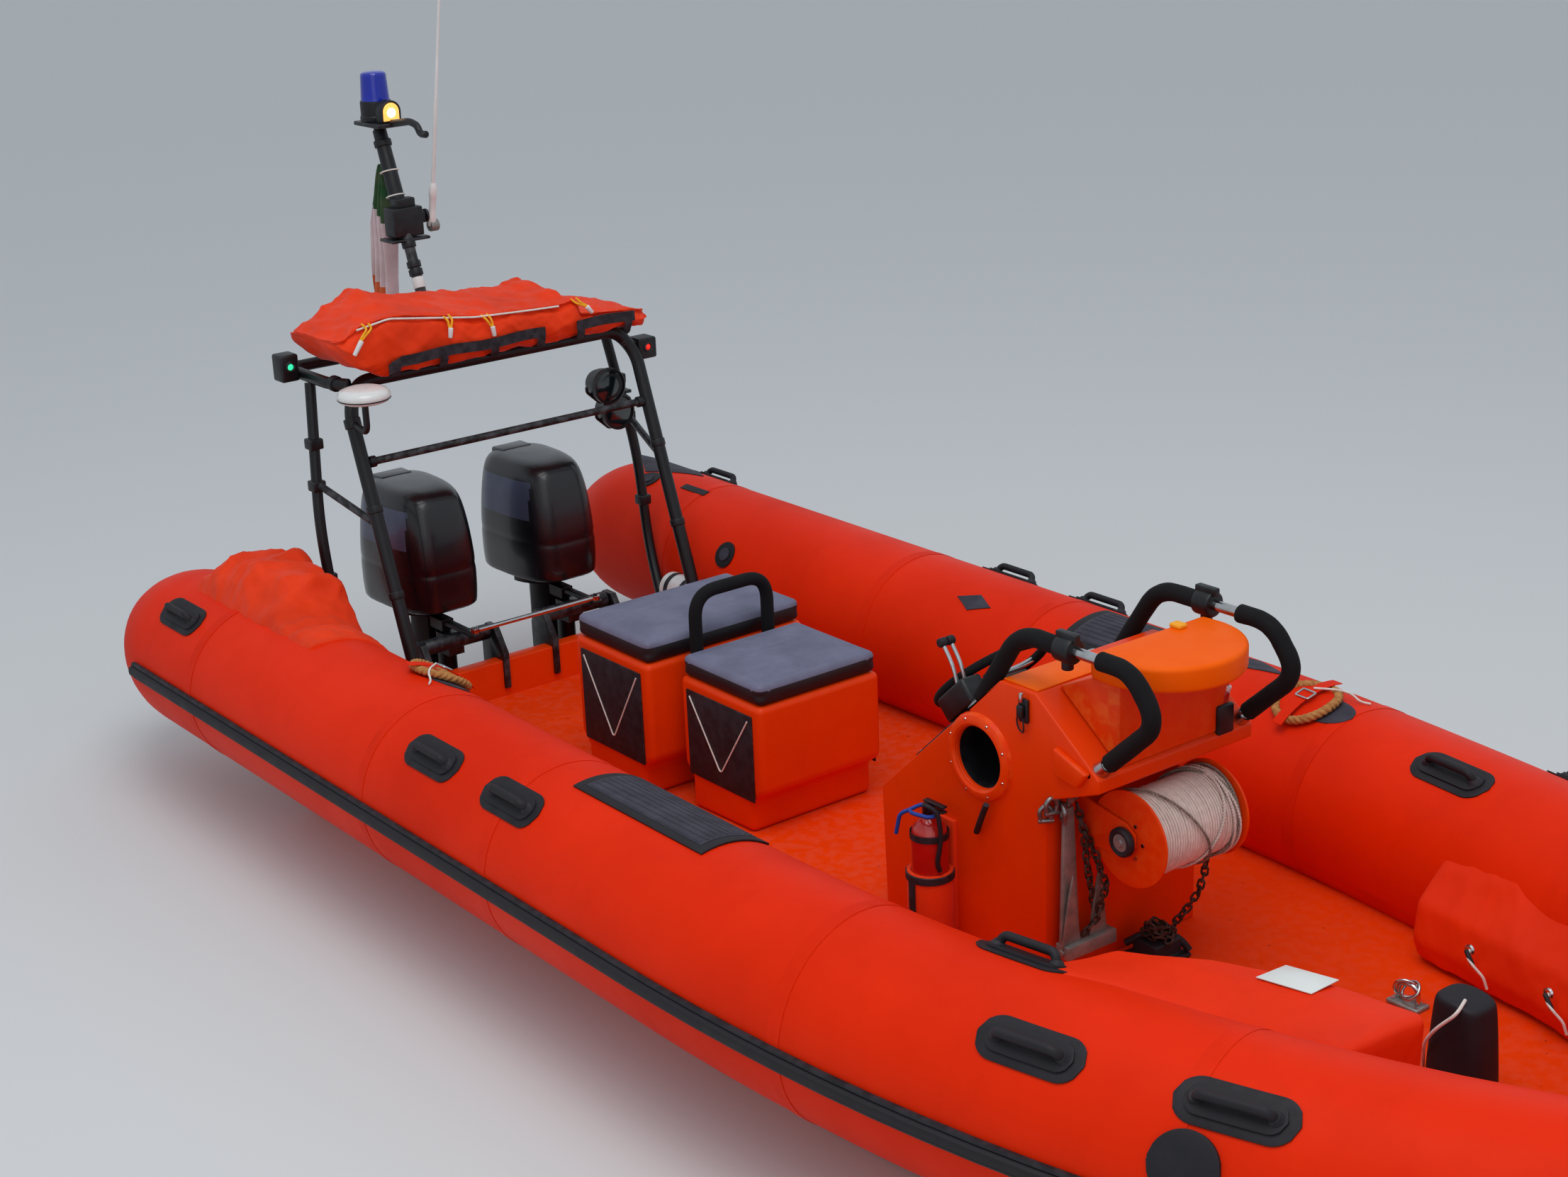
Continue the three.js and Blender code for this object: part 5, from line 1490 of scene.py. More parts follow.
    def wheel(self) -> None:
        """Builds the steering wheel with a grip, three dished spokes and a hub cap."""
        centre = self.sloped(0, 0, 0.130)
        up = (self.sloped(1, 0, 0) - self.sloped(0, 0, 0)).normalized()
        out = (self.sloped(0, 0, 1) - self.sloped(0, 0, 0)).normalized()
        turn = out.rotation_difference(Vector((0, 0, 1))).inverted().to_euler()
        parts = [paint(shade(torus_form("wheel_rim", centre, turn, 0.175, 0.0142, (72, 16))), FOAM)]
        hub = turned_form("wheel_hub", [(0, -0.043), (0.032, -0.043), (0.033, -0.008), (0.026, 0.004), (0.012, 0.008),
                                        (0, 0.009)], centre, out, 36)
        parts.append(paint(shade(hub), DARK_PLASTIC))
        for i in range(3):
            angle = math.pi / 2 + 2 * math.pi * i / 3
            way = up * math.cos(angle) + Vector((0, 1, 0)) * math.sin(angle)
            path = [centre + way * 0.02 - out * 0.012, centre + way * 0.10 - out * 0.010, centre + way * 0.172]
            parts.append(paint(shade(bent_form(f"wheel_spoke_{i}", path, Section(0.009, 14), corner=0.03)),
                               BRIGHT_STEEL))
        gather("wheel_cover", parts, FOAM, ["steering_wheel"], "wheel")

    def throttle(self) -> None:
        """Builds the twin-lever engine control."""
        parts = [paint(self.sloped_box("control_box", (0.06, -0.185, 0.069), (0.148, 0.078, 0.08), 0.012),
                       DARK_PLASTIC)]
        for i, across in enumerate((-0.200, -0.170)):
            path = [self.sloped(0.08, across, 0.10), self.sloped(0.105, across, 0.16),
                    self.sloped(0.112, across, 0.232)]
            parts.append(paint(shade(bent_form(f"lever_{i}", path, Section(0.006, 12), corner=0.03)), BRIGHT_STEEL))
            grip = rod_form(f"lever_grip_{i}", self.sloped(0.112, across - 0.013, 0.232),
                            self.sloped(0.112, across + 0.013, 0.232), 0.014, 20)
            parts.append(paint(round_edges(grip, 0.005), BLACK_RUBBER))
        gather("throttle_cover", parts, DARK_PLASTIC, ["throttle_control"])

    def extinguisher(self) -> None:
        """Builds the fire extinguisher with its head, hose and tie, in its fabric holder."""
        x, y, base = 0.295, -0.372, 0.440
        profile = [(0, 0), (0.047, 0), (0.054, 0.008), (0.055, 0.03), (0.055, 0.225), (0.048, 0.252), (0.030, 0.272),
                   (0.020, 0.280), (0.020, 0.292), (0, 0.292)]
        bottle = paint(shade(turned_form("bottle", profile, (x, y, base), (0, 0, 1), 40)), RED_ENAMEL)
        head = paint(round_edges(rod_form("bottle_head", (x, y, 0.727), (x, y, 0.762), 0.019, 20), 0.003),
                     DARK_PLASTIC)
        levers = [paint(round_edges(box_form(f"bottle_lever_{i}", (x - 0.014, y - 0.010, z), (x + 0.070, y + 0.010,
                                    z + 0.006)), 0.002), DARK_PLASTIC) for i, z in enumerate((0.752, 0.768))]
        band = paint(shade(turned_form("bottle_band", [(0.0555, 0.0), (0.0572, 0.0), (0.0572, 0.02), (0.0555, 0.02)],
                                       (x, y, 0.66), (0, 0, 1), 40)), BLACK_RUBBER)
        hose_path = [(x, y - 0.015, 0.744), (x + 0.03, y - 0.04, 0.78), (x + 0.062, y - 0.02, 0.76),
                     (x + 0.066, y - 0.012, 0.68), (x + 0.058, y - 0.022, 0.60), (x + 0.060, y - 0.014, 0.575)]
        hose = paint(shade(bent_form("bottle_hose", hose_path, Section(0.007, 14), corner=0.03)), BLACK_RUBBER)
        gather("extinguisher_cover", [bottle, head, *levers, band, hose], RED_ENAMEL, ["fire_extinguisher"])
        tie = [(x - 0.05, y - 0.030, 0.735), (x - 0.005, y - 0.060, 0.748), (x + 0.05, y - 0.034, 0.742),
               (x + 0.045, y + 0.02, 0.755), (x, y + 0.035, 0.748), (x - 0.045, y + 0.01, 0.742)]
        ties = [shade(bent_form("tie_loop", tie + [tie[0]], Section(0.006, 10), corner=0.02)),
                shade(bent_form("tie_tail", [tie[0], (x - 0.075, y - 0.045, 0.72), (x - 0.088, y - 0.05, 0.655)],
                                Section(0.006, 10), corner=0.02))]
        dress(joined("bottle_tie", ties), BLUE_WEB)
        holder = softened_copy("extinguisher_holder", "bottle_pouch", 0.006, 3)
        dress(holder, COVER_FABRIC, stands_for=["extinguisher_holder"])
        hem = turned_form("pouch_hem", [(0.0685, 0.0), (0.0715, 0.002), (0.0715, 0.022), (0.0685, 0.024)],
                          (x, y, 0.534), (0, 0, 1), 40)
        strap = box_form("pouch_strap", (x - 0.013, y - 0.0715, 0.335), (x + 0.013, y - 0.0685, 0.536))
        dress(joined("pouch_bands", [shade(hem), round_edges(strap, 0.001, 2)]), BLACK_RUBBER)
        rest = [(0.43, -0.312, 0.70), (0.462, -0.325, 0.752), (0.490, -0.328, 0.808)]
        dress(shade(bent_form("hose_holder", rest, Section(0.009, 12), corner=0.03)), BLACK_RUBBER)

    def small_fittings(self) -> None:
        """Builds the latch, the raised boss, shackles, hood tab and the plug under the hood."""
        y = -self.half
        latch = [paint(round_edges(box_form("latch_plate", (0.603, y - 0.012, 1.088), (0.640, y - 0.0005, 1.158)),
                                   0.005),
                       DARK_PLASTIC),
                 paint(round_edges(box_form("latch_hook", (0.610, y - 0.026, 1.104), (0.632, y - 0.012, 1.142)),
                                   0.005),
                       DARK_PLASTIC),
                 paint(round_edges(rod_form("latch_pin", (0.621, y - 0.016, 1.15), (0.621, y - 0.016, 1.176), 0.006,
                                            14),
                                   0.001), BRIGHT_STEEL)]
        loop = [(0.632, y - 0.02, 1.106), (0.638, y - 0.022, 1.08), (0.622, y - 0.01, 1.056),
                (0.597, y - 0.006, 1.066),
                (0.592, y - 0.006, 1.092), (0.606, y - 0.01, 1.104)]
        latch.append(paint(shade(bent_form("latch_lanyard", loop, Section(0.0025, 8), corner=0.02)), BLACK_RUBBER))
        gather("side_latch", latch, DARK_PLASTIC)
        boss = plate_form("rail_boss", [(0.745, y + 0.002, 1.056), (0.872, y + 0.002, 1.012),
                                        (0.835, y + 0.002, 0.962),
                                        (0.745, y + 0.002, 0.976)], (0, -0.022, 0))
        dress(round_edges(boss, 0.007, 3), GELCOAT)
        shackles = []
        for i, (x, across, z, turn) in enumerate(((0.729, -0.262, 0.886, 0.4), (0.722, -0.300, 0.868, 1.3),
                                                  (0.742, -0.276, 0.846, -0.5), (0.706, -0.306, 0.842, 1.0),
                                                  (0.757, -0.247, 0.908, 1.9))):
            shackles.append(self.shackle(f"shackle_{i}", (x, across, z), turn))
        ring = bent_form("eye_bolt", [(0.692, -0.27, 0.90), (0.712, -0.27, 0.925), (0.735, -0.27, 0.90),
                                      (0.712, -0.27, 0.882), (0.692, -0.27, 0.90)], Section(0.005, 10), corner=0.010)
        strap = bent_form("shackle_strap", [(0.735, -0.27, 0.915), (0.765, -0.232, 0.932), (0.80, -0.20, 0.936)],
                          Section(0.009, 12), corner=0.02)
        dress(shade(strap), BLACK_RUBBER)
        dress(shade(joined("anchor_shackles", [*shackles, ring])), WORN_STEEL)
        tab = round_edges(box_form("hood_tab", (0.786, 0.080, 1.3085), (0.826, 0.114, 1.322)), 0.005)
        dress(tab, YELLOW_TAB)
        plug = [paint(round_edges(box_form("plug_body", (0.842, 0.158, 0.998), (0.905, 0.222, 1.085)), 0.008),
                      DARK_PLASTIC),
                paint(round_edges(rod_form("plug_neck", (0.872, 0.19, 1.08), (0.876, 0.205, 1.118), 0.021, 24), 0.004),
                      RED_ENAMEL),
                paint(round_edges(rod_form("plug_cap", (0.876, 0.205, 1.117), (0.878, 0.211, 1.134), 0.019, 24),
                                  0.004),
                      WHITE_GLOSS)]
        lead = [(0.872, 0.19, 0.999), (0.876, 0.186, 0.97), (0.862, 0.15, 0.955), (0.84, 0.06, 0.945),
                (0.80, -0.03, 0.935)]
        plug.append(paint(shade(bent_form("plug_lead", lead, Section(0.006, 12), corner=0.03)), BLACK_RUBBER))
        gather("flare_stowage", plug, DARK_PLASTIC)

    @staticmethod
    def shackle(name: str, middle: Point, turn: float) -> Shape:
        """Models a bow shackle with its pin.

        Args:
            name: Its name.
            middle: Its middle.
            turn: Its turn about the vertical, in radians.

        Returns:
            The shackle.
        """
        across = Vector((math.cos(turn), math.sin(turn), 0))
        x = Vector(middle)
        bow = [x + across * 0.013 + Vector((0, 0, -0.022)), x + across * 0.019 + Vector((0, 0, 0.012)),
               x + Vector((0, 0, 0.030)), x - across * 0.019 + Vector((0, 0, 0.012)),
               x - across * 0.013 + Vector((0, 0, -0.022))]
        body = bent_form(name, bow, Section(0.0068, 12), corner=0.014)
        pin = rod_form(name + "_pin", x + across * 0.021 + Vector((0, 0, -0.018)),
                       x - across * 0.021 + Vector((0, 0, -0.018)), 0.0072, 14)
        return joined(name, [body, pin])


# Warp reel and ground tackle


@dataclass
class GroundTackle:
    """The anchor warp on its reel, the reel's brackets, the anchor, its chains and its chock.

    Attributes:
        centre: The middle of the reel's axle.
        half: Half the reel's width. It is not used.
        flange: The flanges' radius.
        strand: The rope's radius.
        lay: The radius at the middle of the outer lay of rope.
        turns: Turns of rope that show.
        link: A chain link's length, width and wire radius.
    """

    centre: tuple = (0.880, 0.0, 0.783)
    half: float = 0.165
    flange: float = 0.138
    strand: float = 0.0045
    lay: float = 0.1172
    turns: int = 31
    link: tuple = (0.036, 0.025, 0.0036)

    def build(self) -> None:
        """Builds and dresses the reel, the anchor and the chains."""
        self.reel()
        self.brackets()
        self.anchor()
        self.chains()
        self.chock()

    def on_reel(self, turn: float, y: float, radius: float) -> Vector:
        """Returns a point about the reel's axle."""
        return Vector(self.centre) + Vector((radius * math.cos(turn), y, radius * math.sin(turn)))

    def reel(self) -> None:
        """Builds the two flanges, the tight lay of rope and the loose turns over it."""
        parts = []
        for i, way in enumerate((-1, 1)):
            rim = self.flange
            profile = [(0.016, 0.155), (rim - 0.006, 0.155), (rim, 0.1565), (rim + 0.0005, 0.160), (rim, 0.1635),
                       (rim - 0.006, 0.165), (0.016, 0.165)]
            disc = turned_form(f"flange_{i}", profile, self.centre, (0, way, 0), 80)
            parts.append(paint(shade(disc, 35), GELCOAT))
            for k in range(6):
                start = self.on_reel(math.pi * k / 3, way * 0.1655, 0.055)
                bolt = rod_form(f"flange_bolt_{i}_{k}", start, start + Vector((0, way * 0.0035, 0)), 0.006, 6)
                parts.append(paint(bolt, BRIGHT_STEEL))
        # Painted shade: the black core under the outer lay darkens the gaps between the turns, where the inner rope
        # lies in shade.
        core = rod_form("rope_core", self.on_reel(0, -0.156, 0), self.on_reel(0, 0.156, 0), self.lay - 0.0032, 64)
        parts.append(paint(shade(core), FRAME_PAINT))
        per_turn, reach = 24, 0.1505
        count = self.turns * per_turn
        lay = []
        for i in range(count + 1):
            share = i / count
            wander = 0.0007 * math.sin(share * 61) + 0.0005 * math.sin(share * 233)
            lay.append(self.on_reel(2 * math.pi * i / per_turn, reach * (2 * share - 1), self.lay + wander))
        parts.append(paint(shade(bent_form("rope_lay", lay, Section(self.strand, 10, 3, 0.034)), 80), WARP_ROPE))
        for k, (start, swing, tilt, height) in enumerate(((0.045, 0.062, 0.3, 0.1262), (0.085, 0.050, 1.3, 0.1276),
                                                          (0.118, 0.022, 2.2, 0.1286), (0.135, 0.010, 0.0, 0.1266),
                                                          (0.127, 0.014, 4.0, 0.1290), (-0.035, 0.085, 2.7, 0.1304))):
            loop = []
            for i in range(96):
                turn = 2 * math.pi * i / 96
                y = start + swing * math.sin(turn + tilt)
                loop.append(self.on_reel(turn, max(-0.15, min(0.15, y)), height + 0.0012 * math.sin(3 * turn + k)))
            parts.append(paint(shade(bent_form(f"rope_loose_{k}", loop, Section(self.strand, 10, 3, 0.0335),
                                               closed=True), 80), LOOSE_ROPE if k % 2 else WARP_ROPE))
        gather("rope_reel_cover", parts, WARP_ROPE, ["rope_reel"], "reel")

    def brackets(self) -> None:
        """Builds the reel's two side plates with their hub rings."""
        for side, way in SIDES:
            plate = paint(softened_copy(f"reel_bracket_{side}", f"bracket_plate_{side}", 0.0022, 2), GELCOAT)
            low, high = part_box(f"reel_bracket_{side}")
            base = self.on_reel(0, high[1] - 0.012 if way > 0 else low[1] + 0.012, 0)
            ring = turned_form(f"hub_ring_{side}", [(0.030, 0.0), (0.041, 0.0), (0.043, 0.004), (0.042, 0.014),
                                                    (0.036, 0.020), (0.027, 0.018), (0.025, 0.012)], base, (0, way, 0),
                               48)
            cap = turned_form(f"hub_cap_{side}", [(0.0, 0.012), (0.026, 0.012), (0.025, 0.016), (0.012, 0.017),
                                                  (0.010, 0.021), (0.0, 0.021)], base, (0, way, 0), 36)
            cover = joined(f"reel_bracket_cover_{side}", [plate, paint(shade(ring, 30), BLACK_RUBBER),
                                                          paint(shade(cap, 30), ZINC)])
            dress(cover, GELCOAT, stands_for=[f"reel_bracket_{side}"], whole=False)

    def anchor(self) -> None:
        """Builds the stowed anchor: a tapered shank, a crown bar, two pointed flukes and their pin."""
        shank = [(0.7215, -0.262, 0.852), (0.7215, -0.226, 0.852), (0.7215, -0.208, 0.50), (0.7215, -0.206, 0.425),
                 (0.7215, -0.276, 0.425), (0.7215, -0.272, 0.50)]
        parts = [plate_form("anchor_shank", shank, (0.012, 0, 0)),
                 box_form("anchor_crown", (0.711, -0.276, 0.405), (0.762, -0.088, 0.445))]
        for i, middle in enumerate((-0.143, -0.246)):
            fluke = [(0.736, middle - 0.036, 0.43), (0.736, middle + 0.036, 0.43), (0.742, middle + 0.012, 0.60),
                     (0.744, middle, 0.655), (0.742, middle - 0.012, 0.60)]
            parts.append(plate_form(f"anchor_fluke_{i}", fluke, (0.008, 0, 0)))
        parts.append(rod_form("anchor_pin", (0.737, -0.284, 0.425), (0.737, -0.082, 0.425), 0.010, 20))
        parts.append(rod_form("anchor_eye", (0.7195, -0.244, 0.832), (0.7355, -0.244, 0.832), 0.013, 24))
        cover = joined("anchor_cover", [round_edges(shape, 0.0022, 2) for shape in parts])
        dress(cover, ZINC, stands_for=["anchor"])

    def chain(self, name: str, path: Sequence[Point]) -> Shape:
        """Hangs real links along a path.

        Args:
            name: The chain's name.
            path: The path's points.

        Returns:
            The chain.
        """
        length, width, wire = self.link
        outline = []
        for i in range(20):
            turn = 2 * math.pi * i / 20
            straight = (length - width) / 2
            outline.append(Vector(((width / 2 - wire) * math.cos(turn),
                                   0, (width / 2 - wire) * math.sin(turn) + math.copysign(straight, math.sin(turn)))))
        link = shade(bent_form(name + "_link", outline, Section(wire, 8), closed=True))
        points = [Vector(p) for p in path]
        pitch = length - 4 * wire
        links, carried = [], 0.0
        for start, end in zip(points, points[1:]):
            span = (end - start).length
            while carried <= span:
                place = start.lerp(end, carried / span)
                way = (end - start).to_track_quat("Z", "Y").to_matrix().to_4x4()
                roll = Matrix.Rotation((math.pi / 2) * (len(links) % 2) + 0.35 * math.sin(len(links) * 1.7), 4, "Z")
                links.append(copied(link, f"{name}_{len(links)}", Matrix.Translation(place) @ way @ roll))
                carried += pitch
            carried -= span
        bpy.data.objects.remove(link)
        return joined(name, links)

    def chains(self) -> None:
        """Builds the chain from the warp to the chock and the one that holds the anchor."""
        warp = self.chain("anchor_chain_cover", [(0.905, 0.121, 0.668), (0.897, 0.120, 0.60), (0.886, 0.110, 0.54),
                                                 (0.862, 0.09, 0.485), (0.838, 0.066, 0.44), (0.830, 0.060, 0.392)])
        dress(warp, RUSTED, stands_for=["anchor_chain"])
        guard = self.chain("anchor_guard_chain", [(0.733, -0.212, 0.845), (0.742, -0.196, 0.76), (0.745, -0.19, 0.68),
                                                  (0.742, -0.172, 0.60), (0.735, -0.150, 0.52), (0.732, -0.135,
                                                                                                 0.465)])
        dress(guard, RUSTED)
        slack = self.chain("anchor_slack_chain", [(0.737, -0.205, 0.80), (0.765, -0.175, 0.70), (0.772, -0.14, 0.60),
                                                  (0.755, -0.16, 0.50), (0.74, -0.20, 0.455)])
        dress(slack, RUSTED)

    def chock(self) -> None:
        """Builds the dark chock with a heap of chain in it."""
        cup = softened_copy("anchor_chock", "anchor_chock_cover", 0.009, 3)
        dress(cup, BLACK_RUBBER, stands_for=["anchor_chock"])
        heap = []
        for turn in range(34):
            angle, reach = turn * 0.55, 0.046 - 0.0006 * turn
            heap.append((0.802 + reach * math.cos(angle), 0.032 + reach * math.sin(angle) * 0.8,
                         0.398 + 0.0011 * turn + 0.004 * math.sin(turn * 1.9)))
        dress(self.chain("heaped_chain", heap), RUSTED)
        cover = bent_form("chock_lashing", [(0.74, -0.03, 0.372), (0.775, 0.0, 0.402), (0.80, 0.06, 0.408),
                                            (0.845, 0.09, 0.375), (0.862, 0.10, 0.35)], Section(0.011,
                                                                                                14), corner=0.02)
        dress(shade(cover), BLACK_RUBBER)


# Seats


@dataclass
class Seats:
    """The crew seat, the helm seat and the grab hoop between them.

    Attributes:
        voxel: The cushion's voxel size.
        puff: How far a cushion's cloth may swell.
        seams: Sewn channels across each cushion.
    """

    voxel: float = 0.0065
    puff: float = 0.016
    seams: int = 2

    def build(self) -> None:
        """Builds and dresses the seats."""
        for seat, half in (("crew", 0.33), ("helm", 0.25)):
            pod = softened_copy(f"{seat}_seat_pod", f"{seat}_pod_shell", 0.022, 5)
            dress(pod, GELCOAT, stands_for=[f"{seat}_seat_pod"])
            self.side_panels(seat, half)
            self.cushion(f"{seat}_cushion")
        hoop = bent_form("seat_hoop_sleeve", self.hoop_path(), Section(0.0225, 22), corner=0.09, smooth=12)
        dress(shade(hoop), FOAM, stands_for=["seat_hoop"])
        feet = [rod_form(f"hoop_foot_{i}", (-1.13, y, 0.300), (-1.13, y, 0.312), 0.036, 28) for i, y in
                enumerate((-0.15, 0.15))]
        dress(round_edges(joined("hoop_feet", feet), 0.002, 2), BRIGHT_STEEL)

    @staticmethod
    def hoop_path() -> list[Point]:
        """Returns the hoop's corners, from its CAD box."""
        low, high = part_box("seat_hoop")
        return [(-1.13, -0.15, low[2]), (-1.13, -0.15, high[2] - 0.022), (-1.13, 0.15, high[2] - 0.022),
                (-1.13, 0.15, low[2])]

    def side_panels(self, seat: str, half: float) -> None:
        """Builds a seat's black side panels, each with a pale chevron.

        Args:
            seat: The seat's name.
            half: Half the seat's width.
        """
        low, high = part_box(f"{seat}_seat_pod")
        x0, x1, z0, z1 = low[0] + 0.04, high[0] - 0.04, 0.40, high[2] - 0.035
        parts = []
        for i, way in enumerate((-1, 1)):
            y = way * (half + 0.0005)
            panel = plate_form(f"panel_{i}", [(x0, y, z0), (x1, y, z0), (x1, y, z1), (x0, y, z1)], (0, way * 0.006, 0))
            parts.append(paint(round_edges(panel, 0.003, 2), BLACK_RUBBER))
            middle = (x0 + x1) / 2
            chevron = [(x0 + 0.02, y + way * 0.0065, z1 - 0.02), (middle, y + way * 0.0065, z0 + 0.05),
                       (x1 - 0.02, y + way * 0.0065, z1 - 0.02)]
            parts.append(paint(shade(bent_form(f"chevron_{i}", chevron, Section(0.0028, 10), corner=0.02)),
                               WHITE_CORD))
        gather(f"{seat}_side_panels", parts, BLACK_RUBBER)

    def cushion(self, node: str) -> None:
        """Models a sewn cushion, swelled by a cloth simulation between its seams.

        Args:
            node: The CAD cushion that it replaces.
        """
        low, high = (Vector(corner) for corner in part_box(node))
        inset = 0.008
        shape = box_form(node + "_cover", low + Vector((inset, inset, 0.001)), high - Vector((inset, inset, 0.006)))
        round_edges(shape, 0.018, 4)
        apply_modifier(shape, "REMESH", mode="VOXEL", voxel_size=self.voxel)
        lines = [low.x + (high.x - low.x) * (i + 1) / (self.seams + 1) for i in range(self.seams)]
        rim = 0.034
        edge_low, edge_high = low + Vector((rim, rim, 0)), high - Vector((rim, rim, 0))
        top = max(v.co.z for v in shape.data.vertices)

        def held(place: Vector) -> bool:
            """Says whether a point lies on a seam or on the cushion's base."""
            if place.z < low.z + 0.02:
                return True
            if place.z < top - 0.012:
                return False
            near = self.voxel * 0.8
            within = [edge_low[k] < place[k] < edge_high[k] for k in (0, 1)]
            on_rim = [min(abs(place[k] - edge_low[k]), abs(place[k] - edge_high[k])) < near for k in (0, 1)]
            across = all(within) and any(abs(place.x - x) < near for x in lines)
            return (on_rim[0] and within[1]) or (on_rim[1] and within[0]) or across

        pinned = [v.index for v in shape.data.vertices if held(v.co)]
        self.swell(shape, pinned)
        apply_modifier(shape, "SMOOTH", factor=0.5, iterations=2)
        for index in pinned:
            vertex = shape.data.vertices[index]
            if vertex.co.z > top - 0.02:
                vertex.co.z -= 0.003
        apply_modifier(shape, "SUBSURF", levels=1, render_levels=1)
        paint_both(shade(shape, 80), SEAT_VINYL, SEAT_EDGE, lambda face: face.center.z <= top - 0.022)
        dress(shape, SEAT_VINYL, stands_for=[node], whole=False)

    def swell(self, shape: Shape, pinned: Sequence[int]) -> None:
        """Blows a closed skin up by cloth pressure, holding some of its points.

        Args:
            shape: The skin.
            pinned: The points that stay.
        """
        before = [v.co.copy() for v in shape.data.vertices]
        group = shape.vertex_groups.new(name="held")
        group.add(list(pinned), 1.0, "REPLACE")
        activate(shape)
        cloth = shape.modifiers.new("Cloth", "CLOTH")
        settings = cloth.settings
        settings.quality = 5
        settings.use_pressure = True
        settings.uniform_pressure_force = 4.0
        settings.vertex_group_mass = "held"
        settings.effector_weights.gravity = 0
        for frame_number in range(1, 17):
            bpy.context.scene.frame_set(frame_number)
        bpy.ops.object.modifier_apply(modifier="Cloth")
        bpy.context.scene.frame_set(1)
        for vertex, start in zip(shape.data.vertices, before):
            moved = vertex.co - start
            if moved.length > self.puff:
                vertex.co = start + moved.normalized() * self.puff
        shape.vertex_groups.clear()


# Bow


@dataclass
class Pouch:
    """A fabric pouch between a tube and the deck.

    Attributes:
        side: 1 for port, -1 for starboard.
        start: Its after end.
        end: Its forward end.
        inner: The inboard face's stations, each with x and y.
        top: Its height at the after end.
        toggles: x of its eyelets.
        crease: The depth of its creases.
    """

    side: int
    start: float
    end: float
    inner: tuple
    top: float
    toggles: tuple = ()
    crease: float = 0.006


